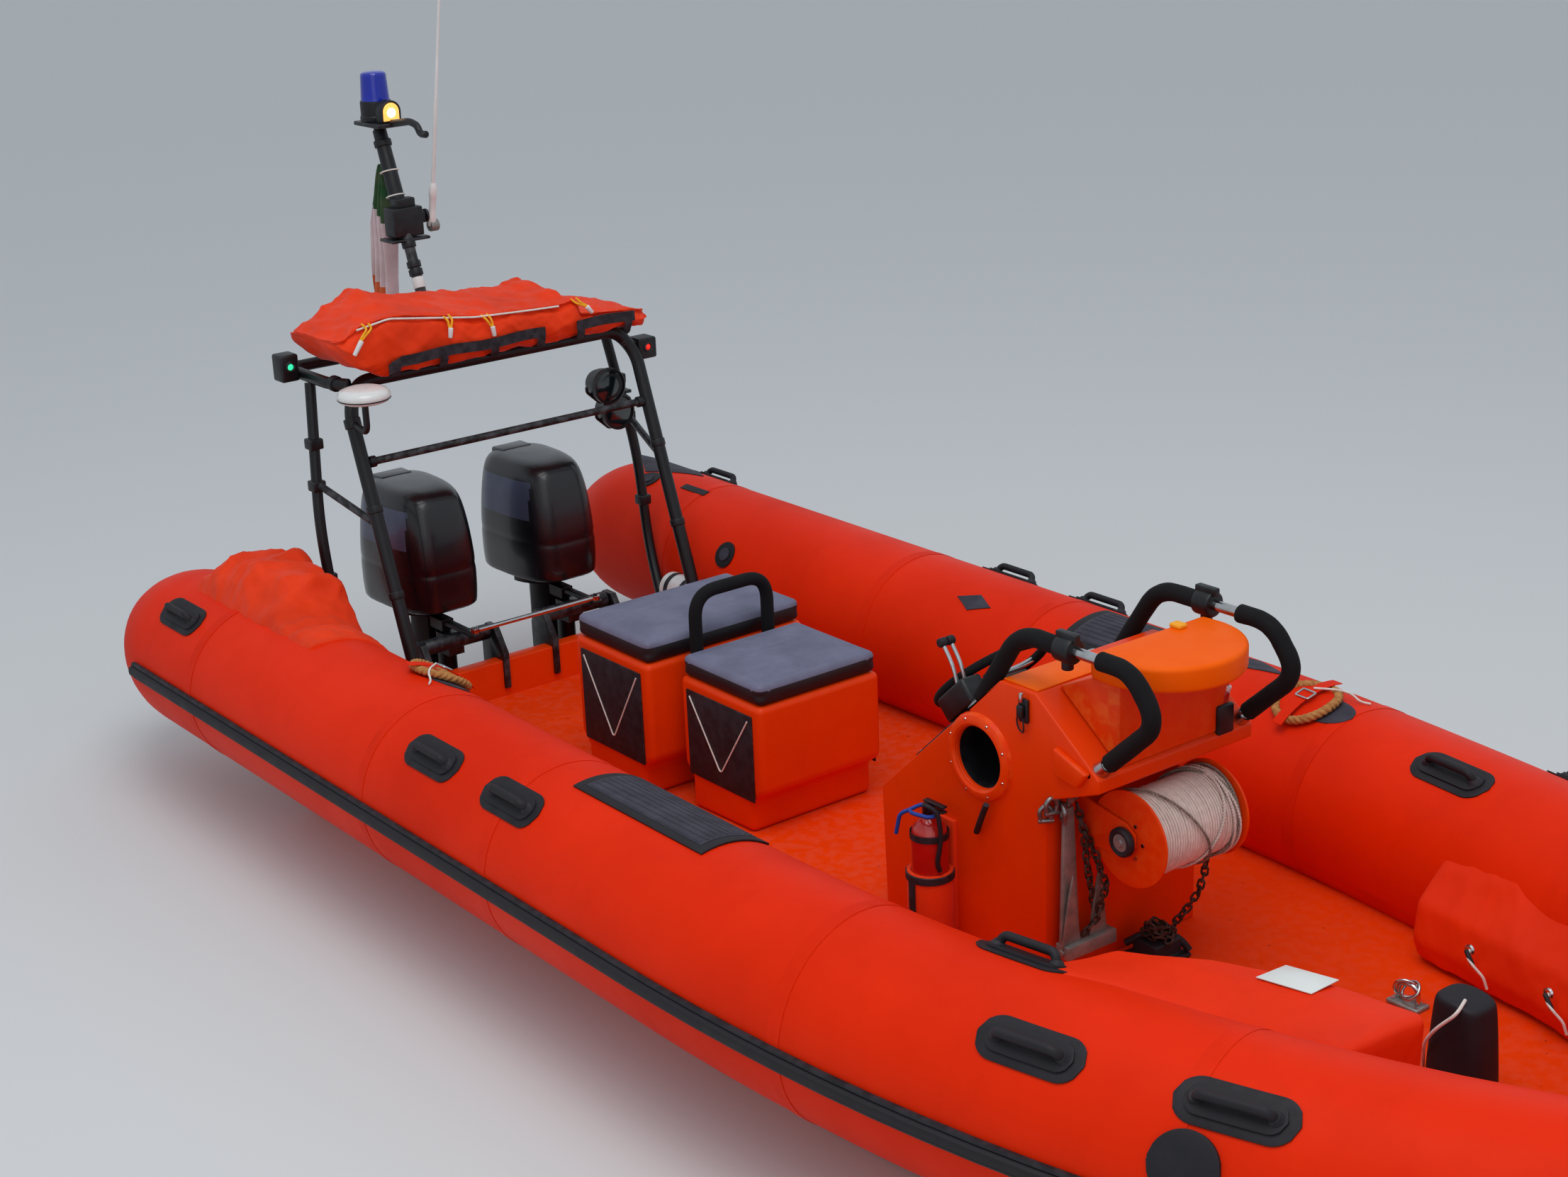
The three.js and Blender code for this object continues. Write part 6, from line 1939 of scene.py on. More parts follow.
@dataclass
class BowFittings:
    """The samson post, the deck ring and the two fabric pouches.

    Attributes:
        post: x of the post.
        pouches: The pouches by side.
    """

    post: float = 1.87
    pouches: dict = field(default_factory=lambda: {
        "starboard": Pouch(-1, 1.23, 2.00, ((1.23, 0.60), (1.33, 0.545), (1.457, 0.452), (1.62, 0.385), (1.77, 0.335),
                                            (2.0, 0.305)), 0.745, (), 0.003),
        "port": Pouch(1, 1.30, 2.40, ((1.30, 0.50), (2.40, 0.31)), 0.655, (1.553, 1.836, 2.12), 0.016),
    })

    def build(self) -> None:
        """Builds and dresses the bow's fittings."""
        rings = []
        for z, share in ((0.357, 0.96), (0.362, 1.0), (0.400, 0.985), (0.520, 0.915), (0.600, 0.850), (0.632, 0.815),
                         (0.643, 0.775), (0.648, 0.70), (0.6495, 0.50)):
            ring = []
            for i in range(48):
                c, way = math.cos(2 * math.pi * i / 48), math.sin(2 * math.pi * i / 48)
                along = 0.0855 * share * math.copysign(abs(c) ** 0.62, c)
                drop = 0.16 * max(0.0, z - 0.56) / 0.09 * max(0.0, along)
                ring.append((self.post + along, 0.0735 * share * math.copysign(abs(way) ** 0.62, way), z - drop))
            rings.append(ring)
        post = rings_form("samson_post_cover", rings)
        apply_modifier(post, "SUBSURF", levels=1, render_levels=1)
        dress(shade(post, 50), BLACK_RUBBER, stands_for=["samson_post"])
        foot = round_edges(box_form("post_foot", (self.post - 0.115, -0.10, 0.356), (self.post + 0.115, 0.10, 0.366)),
                           0.004)
        dress(foot, DECK_PAINT)
        line = [(self.post - 0.095, -0.03, 0.42), (self.post - 0.062, -0.075, 0.52), (self.post - 0.02, -0.088, 0.58),
                (self.post + 0.03, -0.075, 0.635), (self.post + 0.02, -0.03, 0.654)]
        dress(shade(bent_form("post_lashing", line, Section(0.0045, 10, 0), corner=0.03)), WHITE_CORD)
        self.deck_ring()
        for side, pouch in self.pouches.items():
            self.pouch(side, pouch)
        self.sign()

    def deck_ring(self) -> None:
        """Builds the deck ring bolt with two loose rings on a base plate."""
        low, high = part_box("deck_ring")
        base = paint(round_edges(box_form("ring_base", (1.418, 0.272, low[2] + 0.001), (1.522, 0.328, 0.360)), 0.004),
                     ZINC)
        bolt = bent_form("ring_bolt", [(1.437, 0.3, 0.350), (1.437, 0.3, 0.412), (1.503, 0.3, 0.412),
                                       (1.503, 0.3, 0.350)],
                         Section(0.0068, 14), corner=0.032)
        rings = []
        for i, (x, tilt, turn, radius) in enumerate(((1.462, 0.35, 0.5, 0.032), (1.478, -0.75, -0.35, 0.028))):
            ring = torus_form(f"loose_ring_{i}", (x, 0.3, 0.395), (math.pi / 2 + tilt, 0, turn), radius, 0.0042,
                              (40, 12))
            rings.append(paint(shade(ring), BRIGHT_STEEL))
        screws = [paint(rod_form(f"ring_screw_{i}", (x, y, 0.359), (x, y, 0.3635), 0.006, 6), BRIGHT_STEEL)
                  for i, (x, y) in enumerate(((1.43, 0.284), (1.43, 0.316), (1.51, 0.284), (1.51, 0.316)))]
        gather("deck_ring_cover", [base, paint(shade(bolt), BRIGHT_STEEL), *rings, *screws], BRIGHT_STEEL,
               ["deck_ring"])

    def pouch(self, side: str, plan: Pouch) -> None:
        """Lofts one pouch with its folds, eyelets and toggles.

        Args:
            side: The side's name.
            plan: The pouch's sizes.
        """
        stations, rings = 72, []
        for i in range(stations):
            share = i / (stations - 1)
            x = plan.start + (plan.end - plan.start) * share
            rings.append(self.pouch_ring(plan, x, share))
        shape = rings_form(f"bow_pouch_{side}_cover", rings)
        apply_modifier(shape, "SUBSURF", levels=1, render_levels=1)
        crumpled(shape, plan.crease, 2.6)
        crumpled(shape, plan.crease * 0.2, 9.0)
        dress(shade(shape, 60), POUCH_FABRIC, stands_for=[f"bow_pouch_{side}"])
        fittings = []
        for i, x in enumerate(plan.toggles):
            place = Vector((x, plan.side * (self.inboard(plan, x) - 0.012), 0.495))
            eyelet = turned_form(f"eyelet_{side}_{i}", [(0.006, 0.0), (0.006, 0.003), (0.011, 0.005), (0.016, 0.002),
                                                        (0.016, 0.0)], place, (0, -plan.side, 0.25), 28)
            fittings.append(paint(shade(eyelet), BRIGHT_STEEL))
            loop = [place, place + Vector((0.015, -0.03 * plan.side, -0.006)),
                    place + Vector((0.04, -0.034 * plan.side, -0.022)), place + Vector((0.062, -0.02 * plan.side,
                                                                                        -0.05)),
                    place + Vector((0.070, -0.012 * plan.side, -0.085))]
            fittings.append(paint(shade(bent_form(f"toggle_cord_{side}_{i}", loop, Section(0.004, 10), corner=0.012)),
                                  WHITE_CORD))
            peg = rod_form(f"toggle_{side}_{i}", place + Vector((0.004, -0.022 * plan.side, 0.01)),
                           place + Vector((0.034, -0.030 * plan.side, -0.022)), 0.0065, 14)
            fittings.append(paint(round_edges(peg, 0.002, 2), BLACK_RUBBER))
        if fittings:
            gather(f"pouch_toggles_{side}", fittings, WHITE_CORD)

    @staticmethod
    def inboard(plan: Pouch, x: float) -> float:
        """Returns how far from the centreline a pouch's inboard face lies at a station."""
        for (x0, y0), (x1, y1) in zip(plan.inner, plan.inner[1:]):
            if x <= x1:
                break
        return y0 + (y1 - y0) * min(1.0, (x - x0) / (x1 - x0))

    @staticmethod
    def pouch_ring(plan: Pouch, x: float, share: float) -> list[Point]:
        """Returns the pouch's outline at one station, with its folds.

        Args:
            plan: The pouch's sizes.
            x: The station.
            share: How far along the pouch it lies, from 0 to 1.

        Returns:
            The outline's points.
        """
        outer = LINE.station(x)[1]
        inner = BowFittings.inboard(plan, x)
        rise = (LINE.sheer(plan.end) - LINE.sheer(plan.start)) * share
        high = plan.top + (rise if plan.side > 0 else 0.012 * share)
        end = max(0.0, min(1.0, min(share, 1 - share) / 0.04)) ** 0.5
        floor = deck_height(x) + 0.008
        skin = outer - math.sqrt(max(0.0, LINE.radius ** 2 - (high + 0.02 - LINE.sheer(x)) ** 2))
        if plan.side > 0:
            corners = [(outer - 0.10, floor), (inner + 0.030, floor), (inner + 0.004, floor + 0.07),
                       (inner + 0.030, floor + 0.17), ((inner + skin) / 2 + 0.01, high - 0.075),
                       (skin - 0.012, high - 0.004), (skin + 0.012, high + 0.012), (outer - 0.12, high - 0.06)]
        else:
            over = min(outer - 0.05, inner + 0.30)
            corners = [(outer - 0.10, floor), (inner + 0.050, floor), (inner + 0.014, high - 0.18),
                       (inner + 0.001, high - 0.018), (inner + 0.006, high - 0.001), (inner + 0.10, high + 0.012),
                       (over, LINE.sheer(x) + math.sqrt(LINE.radius ** 2 - (outer - over) ** 2) + 0.004),
                       (outer - 0.09, high - 0.06)]
        middle = (outer - 0.2, (floor + high) / 2)
        narrow = 0.90 + 0.10 * end
        return [Vector((x, plan.side * (middle[0] + (y - middle[0]) * narrow), middle[1] + (z - middle[1]) * narrow))
                for y, z in divided(corners, 4)]

    def sign(self) -> None:
        """Builds the blank sign plate on the starboard pouch."""
        pouch = bpy.data.objects["bow_pouch_starboard_cover"]
        corners = []
        for x, y in ((1.610, -0.476), (1.607, -0.364), (1.749, -0.336), (1.757, -0.446)):
            near = [v.co.z for v in pouch.data.vertices if abs(v.co.x - x) < 0.03 and abs(v.co.y - y + 0.02) < 0.04]
            corners.append((x, y, max(near) + 0.001))
        plate = plate_form("blank_sign_plate", corners, (0, 0, 0.003))
        dress(round_edges(plate, 0.001, 2), BLANK_SIGN)


# Stern


@dataclass
class SternGear:
    """The quarter bag and the strapped canister.

    Attributes:
        canister: The canister's axis, start and end x, and radius.
    """

    canister: tuple = ((0.6627, 0.495), (-2.455, -2.240), 0.062)

    def build(self) -> None:
        """Builds and dresses the stern's loose gear."""
        self.quarter_bag()
        (y, z), (x0, x1), radius = self.canister
        span = x1 - x0
        profile = [(0.0, 0.0), (radius * 0.80, 0.0), (radius * 0.96, 0.010), (radius * 0.985, 0.020),
                   (radius * 0.985, span - 0.045), (radius * 0.92, span - 0.030), (radius * 0.55, span - 0.022),
                   (0.0, span - 0.022)]
        body = paint(shade(turned_form("canister_body", profile, (x0, y, z), (1, 0, 0), 48), 35), WHITE_GLOSS)
        cap = turned_form("canister_cap", [(0.0, span - 0.024), (0.026, span - 0.024), (0.028, span - 0.004),
                                           (0.022, span), (0.0, span)], (x0, y, z), (1, 0, 0), 32)
        bands = [paint(shade(turned_form(f"canister_band_{i}", [(radius * 0.99, at_x), (radius * 1.0, at_x),
                                                                (radius * 1.0, at_x + 0.024),
                                                                (radius * 0.99, at_x + 0.024)],
                                         (x0, y, z), (1, 0, 0), 48), 35), BLACK_RUBBER) for i, at_x in
                 enumerate((0.038, 0.130))]
        gather("canister_cover", [body, paint(shade(cap, 35), GREEN_CAP), *bands], WHITE_GLOSS, ["canister"])

    def quarter_bag(self) -> None:
        """Lofts the soft bag on the starboard tube, with its folds."""
        x0, x1, stations, rings = -2.945, -2.055, 60, []
        for i in range(stations):
            share = i / (stations - 1)
            x = x0 + (x1 - x0) * share
            swell = 0.35 + 0.62 * math.sin(math.pi * min(1.0, share * 1.25 + 0.02)) ** 0.55 if share < 0.78 else 0.35
            flat = min(1.0, max(0.0, (share - 0.60) / 0.16))
            flat *= flat * (3 - 2 * flat)
            high = 0.790 + 0.160 * swell
            fold = 0.007 * math.sin(share * 44) + 0.005 * math.sin(share * 73 + 2)
            low = [(y, LINE.top_at(y) - 0.012) for y in (-1.115, -1.04, -0.93, -0.80, -0.766)]
            full = [(-0.776 + fold, high - 0.075), (-0.815, high - 0.018 + fold), (-0.90, high + fold * 0.5),
                    (-1.00, high - 0.014 - fold), (-1.082, 0.835 + fold)]
            thin = [(y, LINE.top_at(y) + 0.022 + fold) for y in (-0.766, -0.82, -0.90, -1.00, -1.09)]
            corners = low + [(a + (c - a) * flat, b + (d - b) * flat) for (a, b), (c, d) in zip(full, thin)]
            rings.append([Vector((x, y, z)) for y, z in divided(corners, 3)])
        bag = rings_form("quarter_bag_cover", rings)
        apply_modifier(bag, "SUBSURF", levels=1, render_levels=1)
        crumpled(bag, 0.050, 3.4, lambda place: min(1.0, max(0.0, (place.z - 0.80) / 0.06)))
        crumpled(bag, 0.010, 9.0)
        dress(shade(bag, 80), COVER_FABRIC, stands_for=["quarter_bag"])


# Gantry


@dataclass
class Gantry:
    """The roll bar with its rack, legs, righting bag, lights and dome.

    Attributes:
        foot: The hoop's foot.
        knee: Where the hoop's legs turn in.
        crown: The hoop's top corner.
        tube: The hoop's tube radius.
        rack: The rack's corners on one side.
        rack_tube: The rack's tube radius.
        bag: The righting bag's stations: y, the lacing's height, the back's height and the underside.
        leg: The after leg's corners on the port side.
        leg_tube: The after leg's tube radius.
        top: The height of the rack's tubes.
    """

    foot: tuple = (-2.11, 0.62, 0.20)
    knee: tuple = (-2.538, 0.62, 1.44)
    crown: tuple = (-2.58, 0.56, 1.53)
    tube: float = 0.025
    rack: tuple = ((-2.57, 0.60), (-2.64, 0.64), (-2.968, 0.64))
    rack_tube: float = 0.022
    leg: tuple = ((-2.79, 0.64, 1.5074), (-2.70, 0.705, 1.0), (-2.64, 0.70, 0.6), (-2.49, 0.655, 0.3803))
    leg_tube: float = 0.020
    bag: tuple = ((-0.668, 1.700, 1.700, 1.655), (-0.59, 1.748, 1.732, 1.590), (-0.49, 1.762, 1.778, 1.556),
                  (-0.42, 1.760, 1.822, 1.556), (-0.36, 1.750, 1.790, 1.556),
                  (-0.10, 1.705, 1.752, 1.556), (0.235, 1.690, 1.722, 1.556), (0.262, 1.690, 1.735, 1.556),
                  (0.315, 1.700, 1.745, 1.556), (0.330, 1.640, 1.660, 1.556), (0.58, 1.618, 1.628, 1.556),
                  (0.648, 1.605, 1.610, 1.556))
    top: float = 1.53

    def build(self) -> None:
        """Builds and dresses the gantry's pieces."""
        self.hoop()
        self.rack_frame()
        for side, way in SIDES:
            self.after_leg(side, way)
            self.nav_light(side, way)
        self.righting_bag()
        self.search_lamps()
        self.dome()

    def hoop(self) -> None:
        """Builds the hoop with its cross bar and collars."""
        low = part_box("gantry_hoop")[0]
        foot_x, foot_y = self.foot[:2]
        share = (low[2] - self.foot[2]) / (self.knee[2] - self.foot[2])
        start_x = foot_x + (self.knee[0] - foot_x) * share
        path = [(start_x, -foot_y, low[2] + 0.002), tuple(self.flip(self.knee)), tuple(self.flip(self.crown)),
                self.crown,
                self.knee, (start_x, foot_y, low[2] + 0.002)]
        tube = paint(shade(bent_form("hoop_tube", path, Section(self.tube, 28), corner=0.11, smooth=14)), FRAME_PAINT)
        bar = paint(shade(rod_form("hoop_cross_bar", (-2.475, -0.615, 1.26), (-2.475, 0.615, 1.26), 0.014, 24)),
                    FRAME_PAINT)
        parts = [tube, bar]
        for i, way in enumerate((-1, 1)):
            parts.append(paint(round_edges(rod_form(f"hoop_collar_{i}", (-2.475, way * 0.596, 1.26),
                                                    (-2.475, way * 0.570, 1.26), 0.021, 24), 0.003), DARK_PLASTIC))
            for k, height in enumerate((0.42, 0.80, 1.10)):
                rise = (height - self.foot[2]) / (self.knee[2] - self.foot[2])
                middle = Vector((foot_x + (self.knee[0] - foot_x) * rise, way * foot_y, height))
                along = (Vector(self.knee) - Vector(self.foot)).normalized()
                along = Vector((along.x, 0, along.z))
                collar = rod_form(f"leg_collar_{i}_{k}", middle - along * 0.014, middle + along * 0.014,
                                  self.tube + 0.004, 28)
                parts.append(paint(round_edges(collar, 0.003), DARK_PLASTIC))
            plate = box_form(f"hoop_plate_{i}", (start_x - 0.06, way * foot_y - 0.05, 0.2580),
                             (start_x + 0.06, way * foot_y + 0.05, 0.2680))
            parts.append(paint(round_edges(plate, 0.003), FRAME_PAINT))
        gather("gantry_hoop_cover", parts, FRAME_PAINT, ["gantry_hoop"])

    @staticmethod
    def flip(place: Point) -> Vector:
        """Mirrors a point across the centreline."""
        return Vector((place[0], -place[1], place[2]))

    def rack_frame(self) -> None:
        """Builds the rack's tube, its bars and the mast's shoe."""
        top = self.top
        right = [(x, -y, top) for x, y in self.rack]
        left = [(x, y, top) for x, y in reversed(self.rack)]
        tube = paint(shade(bent_form("rack_tube", [*right, *left], Section(self.rack_tube, 26), corner=0.06,
                                     smooth=12)), FRAME_PAINT)
        parts = [tube]
        for i, y in enumerate((-0.3, 0.0, 0.3)):
            parts.append(paint(shade(rod_form(f"rack_bar_{i}", (-2.60, y, top), (-2.955, y, top), 0.014, 24)),
                               FRAME_PAINT))
        for i, (x, y) in enumerate(((-2.62, -0.625), (-2.62, 0.625), (-2.9, 0.64), (-2.9, -0.64))):
            parts.append(paint(round_edges(rod_form(f"rack_clamp_{i}", (x - 0.014, y, top), (x + 0.014, y, top), 0.029,
                                                    26), 0.003), DARK_PLASTIC))
        parts.append(paint(self.shoe(), FRAME_PAINT))
        gather("gantry_rack_cover", parts, FRAME_PAINT, ["gantry_rack"])

    def shoe(self) -> Shape:
        """Models the mast's shoe with its ears and pin."""
        x, y, z = LightMast.foot
        parts = [round_edges(box_form("shoe_base", (x - 0.035, y - 0.06, z - 0.056), (x + 0.035, y + 0.06, z - 0.048)),
                             0.003)]
        for i, side in enumerate((-0.0365, 0.0305)):
            outline = [(x + across, y + side, z + up) for across, up in (
                (-0.027, -0.05), (0.027, -0.05), (0.025, 0.005), (0.010, 0.023), (-0.010, 0.023), (-0.025, 0.005))]
            parts.append(round_edges(plate_form(f"shoe_ear_{i}", outline, (0, 0.006, 0)), 0.0015, 2))
        parts.append(shade(rod_form("shoe_pin", (x, y - 0.044, z), (x, y + 0.044, z), 0.0065, 18)))
        return joined("mast_shoe", parts)

    def after_leg(self, side: str, way: int) -> None:
        """Builds one after leg with its foot, fairlead boxes and brace.

        Args:
            side: The side's name.
            way: 1 for port, -1 for starboard.
        """
        path = [(x, way * y, z) for x, y, z in self.leg]
        leg = paint(shade(bent_form(f"leg_tube_{side}", path, Section(self.leg_tube, 24), corner=0.12, smooth=12)),
                    FRAME_PAINT)
        brace = paint(shade(rod_form(f"leg_brace_{side}", (-2.724, way * 0.686, 1.148), (-2.402, way * 0.622, 1.045),
                                     0.0138, 22)), FRAME_PAINT)
        foot_at = Vector(path[-1])
        plate = round_edges(box_form(f"leg_foot_{side}", foot_at - Vector((0.045, 0.022, 0.0)),
                                     foot_at + Vector((0.035, 0.022, 0.008))), 0.002)
        parts = [leg, brace, paint(plate, FRAME_PAINT)]
        for i, (x, y, z, size) in enumerate(((-2.724, 0.687, 1.14, 0.026), (-2.671, 0.703, 0.80, 0.025),
                                             (-2.752, 0.668, 1.29, 0.027))):
            middle = Vector((x, way * y, z))
            box = box_form(f"leg_box_{side}_{i}", middle - Vector((size, size, 0.02)),
                           middle + Vector((size, size, 0.02)))
            parts.append(paint(round_edges(box, 0.006), DARK_PLASTIC))
        gather(f"gantry_leg_cover_{side}", parts, FRAME_PAINT, [f"gantry_aft_leg_{side}"])

    def nav_light(self, side: str, way: int) -> None:
        """Builds one side light: a black housing with a small lit lens that faces forward and outboard."""
        low, high = (Vector(corner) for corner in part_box(f"nav_light_{side}"))
        body = paint(round_edges(box_form(f"side_light_body_{side}", low, high), 0.009, 4), DARK_PLASTIC)
        middle = (low + high) / 2
        front = Vector((high.x - 0.0005, middle.y, middle.z + 0.006))
        hood = turned_form(f"side_light_rim_{side}", [(0.0125, -0.004), (0.0125, 0.0045), (0.0165, 0.0055),
                                                      (0.0205, 0.003), (0.0205, -0.004)], front, (1, 0, 0), 32)
        lens = turned_form(f"side_light_lens_{side}", [(0.0, 0.004), (0.005, 0.0038), (0.010, 0.0025),
                                                       (0.013, -0.0005),
                                                       (0.0, -0.002)], front, (1, 0, 0), 32)
        finish = RED_GLOW if way > 0 else GREEN_GLOW
        gather(f"nav_light_cover_{side}", [body, paint(shade(hood, 30), DARK_PLASTIC), paint(shade(lens, 60), finish)],
               DARK_PLASTIC, [f"nav_light_{side}"])

    def righting_bag(self) -> None:
        """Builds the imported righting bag: a lower roll, a sharp flap laced over it and a thin port end."""
        rings, stations = [], 110
        y0, y1 = self.bag[0][0], self.bag[-1][0]
        for i in range(stations):
            y = y0 + (y1 - y0) * i / (stations - 1)
            lace, back, low = self.bag_at(y)
            end = max(0.0, min(1.0, min(y - y0, y1 - y) / 0.05)) ** 0.5
            corners = [(-2.880, low), (-2.68, low), (-2.482, low), (-2.456, low + 0.022), (-2.446, (low + lace) / 2),
                       (-2.456, lace - 0.020), (-2.480, lace - 0.004), (-2.464, lace + 0.010),
                       (-2.510, lace + (back - lace) * 0.30), (-2.620, lace + (back - lace) * 0.62),
                       (-2.800, back), (-2.862, back - 0.006), (-2.892, back - 0.035), (-2.896, low + 0.03)]
            middle = (-2.67, low + 0.05)
            rings.append([Vector((middle[0] + (x - middle[0]) * (0.82 + 0.18 * end), y,
                                  middle[1] + (z - middle[1]) * (0.45 + 0.55 * end)))
                          for x, z in divided(corners, 3)])
        bag = rings_form("righting_bag_cover", rings)
        apply_modifier(bag, "SUBSURF", levels=1, render_levels=1)
        shade(crumpled(bag, 0.020, 5.5), 80)
        crumpled(bag, 0.006, 14.0)
        for vertex in bag.data.vertices:
            vertex.co.z = max(self.top + 0.0252, vertex.co.z)
        dress(bag, COVER_FABRIC, stands_for=["righting_bag"])
        self.bag_fastenings()

    def bag_at(self, y: float) -> list[float]:
        """Returns the bag's lacing height, back height and underside at a place across the boat."""
        for (y0, *low), (y1, *high) in zip(self.bag, self.bag[1:]):
            if y <= y1:
                break
        share = min(1.0, max(0.0, (y - y0) / (y1 - y0)))
        return [a + (b - a) * share for a, b in zip(low, high)]

    def bag_fastenings(self) -> None:
        """Builds the bag's taut lacing, its loops with hanging toggles, and the black bands along its foot."""
        front = -2.446
        line = [(front - 0.018, y, self.bag_at(y)[0] + 0.003) for y in (-0.60, -0.47, -0.12, 0.10, 0.24)]
        parts = [paint(shade(bent_form("bag_lacing", line, Section(0.0036, 10), corner=0.02), 80), WHITE_CORD)]
        for i, (y, drop, slant) in enumerate(((-0.56, 0.095, -0.075), (-0.235, 0.075, -0.012), (-0.075, 0.075, 0.012),
                                              (0.315, 0.055, 0.050))):
            z = self.bag_at(y)[0] + 0.008
            for k, side in enumerate((-0.012, 0.012)):
                loop = [(front - 0.030, y + side, z), (front + 0.004, y + side * 0.8, z - 0.012),
                        (front + 0.010, y + slant * 0.5 + side * 0.4, z - drop * 0.45),
                        (front + 0.012, y + slant * 0.6, z - drop * 0.55)]
                parts.append(paint(shade(bent_form(f"bag_loop_{i}_{k}", loop, Section(0.0042, 10), corner=0.014)),
                                   YELLOW_CORD))
            peg = rod_form(f"bag_toggle_{i}", (front + 0.015, y + slant * 0.55, z - drop * 0.5),
                           (front + 0.015, y + slant, z - drop), 0.0095, 16, 0.0075)
            parts.append(paint(round_edges(peg, 0.003), WHITE_GLOSS))
        for i, (y0, y1) in enumerate(((-0.50, 0.16), (0.30, 0.56))):
            rings = []
            for k in range(13):
                y = y0 + (y1 - y0) * k / 12
                low = self.bag_at(y)[2]
                wave = 0.004 * math.sin(19 * y) - (0.03 if k == 0 and i == 0 else 0.0)
                rings.append([(front + 0.006, y, low + 0.038 + wave), (front + 0.009, y, low + 0.038 + wave),
                              (front + 0.008, y, low + 0.076 + wave), (front + 0.005, y, low + 0.076 + wave)])
            parts.append(paint(shade(rings_form(f"bag_band_{i}", rings), 30), BLACK_RUBBER))
        for i, y in enumerate((-0.47, -0.275, -0.06, 0.14, 0.315, 0.53)):
            low = self.bag_at(y)[2]
            strap = [(front + 0.007, y, low + 0.060), (front + 0.010, y, low + 0.030), (front - 0.004, y, low + 0.004),
                     (front - 0.05, y, low - 0.001)]
            parts.append(paint(self.flat_strap(f"bag_strap_{i}", strap, 0.034), BLACK_RUBBER))
        gather("bag_fastenings", parts, WHITE_CORD)

    @staticmethod
    def flat_strap(name: str, path: Sequence[Point], width: float) -> Shape:
        """Models a flat strap that runs along a path in a plane across the boat.

        Args:
            name: Its name.
            path: Its middle line.
            width: Its width along Y.

        Returns:
            The strap.
        """
        points = [Vector(p) for p in path]
        rings = []
        for i, here in enumerate(points):
            way = (points[min(i + 1, len(points) - 1)] - points[max(i - 1, 0)]).normalized()
            out = Vector((way.z, 0, -way.x)) * 0.0012
            across = Vector((0, width / 2, 0))
            rings.append([here - across - out, here + across - out, here + across + out, here - across + out])
        shape = rings_form(name, rings)
        apply_modifier(shape, "BEVEL", width=0.0008, segments=1, limit_method="ANGLE", angle_limit=math.radians(60))
        return shade(shape, 40)

    def search_lamps(self) -> None:
        """Builds the two search lamps: barrels with a bezel and a lens."""
        parts = [paint(softened_copy("search_lamps", "lamp_bracket", 0.003, 2), DARK_PLASTIC)]
        for i, (x, y, z) in enumerate(((-2.655, 0.535, 1.308), (-2.700, 0.600, 1.185))):
            bowl = turned_form(f"lamp_bowl_{i}", [(0.0, -0.060), (0.030, -0.058), (0.050, -0.045), (0.060, -0.015),
                                                  (0.066, 0.030), (0.071, 0.036), (0.071, 0.056), (0.064, 0.060),
                                                  (0.062, 0.052), (0.0, 0.050)], (x, y, z), (1, 0, 0), 48)
            glass = turned_form(f"lamp_glass_{i}", [(0.0, 0.058), (0.03, 0.0565), (0.0615, 0.0515), (0.0, 0.0505)],
                                (x, y, z), (1, 0, 0), 48)
            yoke = bent_form(f"lamp_yoke_{i}", [(x, y - 0.074, z), (x, y - 0.074, z - 0.02), (x - 0.02, y, z - 0.082),
                                                (x, y + 0.074, z - 0.02), (x, y + 0.074, z)], Section(0.006, 12),
                             corner=0.02)
            parts += [paint(shade(bowl, 35), DARK_PLASTIC), paint(shade(glass, 50), DIAL_GLASS),
                      paint(shade(yoke), FRAME_PAINT)]
        gather("search_lamps_cover", parts, DARK_PLASTIC, ["search_lamps"])

    def dome(self) -> None:
        """Builds the flat white dome on its stem and arm."""
        x, y, z = -2.375, -0.642, 1.510
        profile = [(0.0, 0.0), (0.074, 0.0), (0.088, 0.006), (0.094, 0.018), (0.0935, 0.030), (0.084, 0.043),
                   (0.060, 0.051), (0.030, 0.0535), (0.0, 0.054)]
        dome = paint(shade(turned_form("dome_cap", profile, (x, y, z), (0, 0, 1), 64), 50), WHITE_GLOSS)
        seam = paint(shade(turned_form("dome_seam", [(0.0935, 0.012), (0.0945, 0.013), (0.0945, 0.016),
                                                     (0.0935, 0.017)],
                                       (x, y, z), (0, 0, 1), 64)), DARK_PLASTIC)
        base = paint(shade(turned_form("dome_base", [(0.0, -0.012), (0.028, -0.012), (0.040, -0.002), (0.040, 0.0005),
                                                     (0.0, 0.0005)], (x, y, z), (0, 0, 1), 36)), DARK_PLASTIC)
        stem = paint(shade(bent_form("dome_stem", [(x, y, z - 0.010), (x, y, 1.395), (-2.520, -0.62, 1.40)],
                                     Section(0.012, 18), corner=0.04)), FRAME_PAINT)
        clamp = paint(round_edges(rod_form("dome_clamp", (-2.518, -0.62, 1.382), (-2.530, -0.62, 1.417), 0.031, 26),
                                  0.004), DARK_PLASTIC)
        gather("satellite_dome_cover", [dome, seam, base, stem, clamp], WHITE_GLOSS, ["satellite_dome"])


# Mast


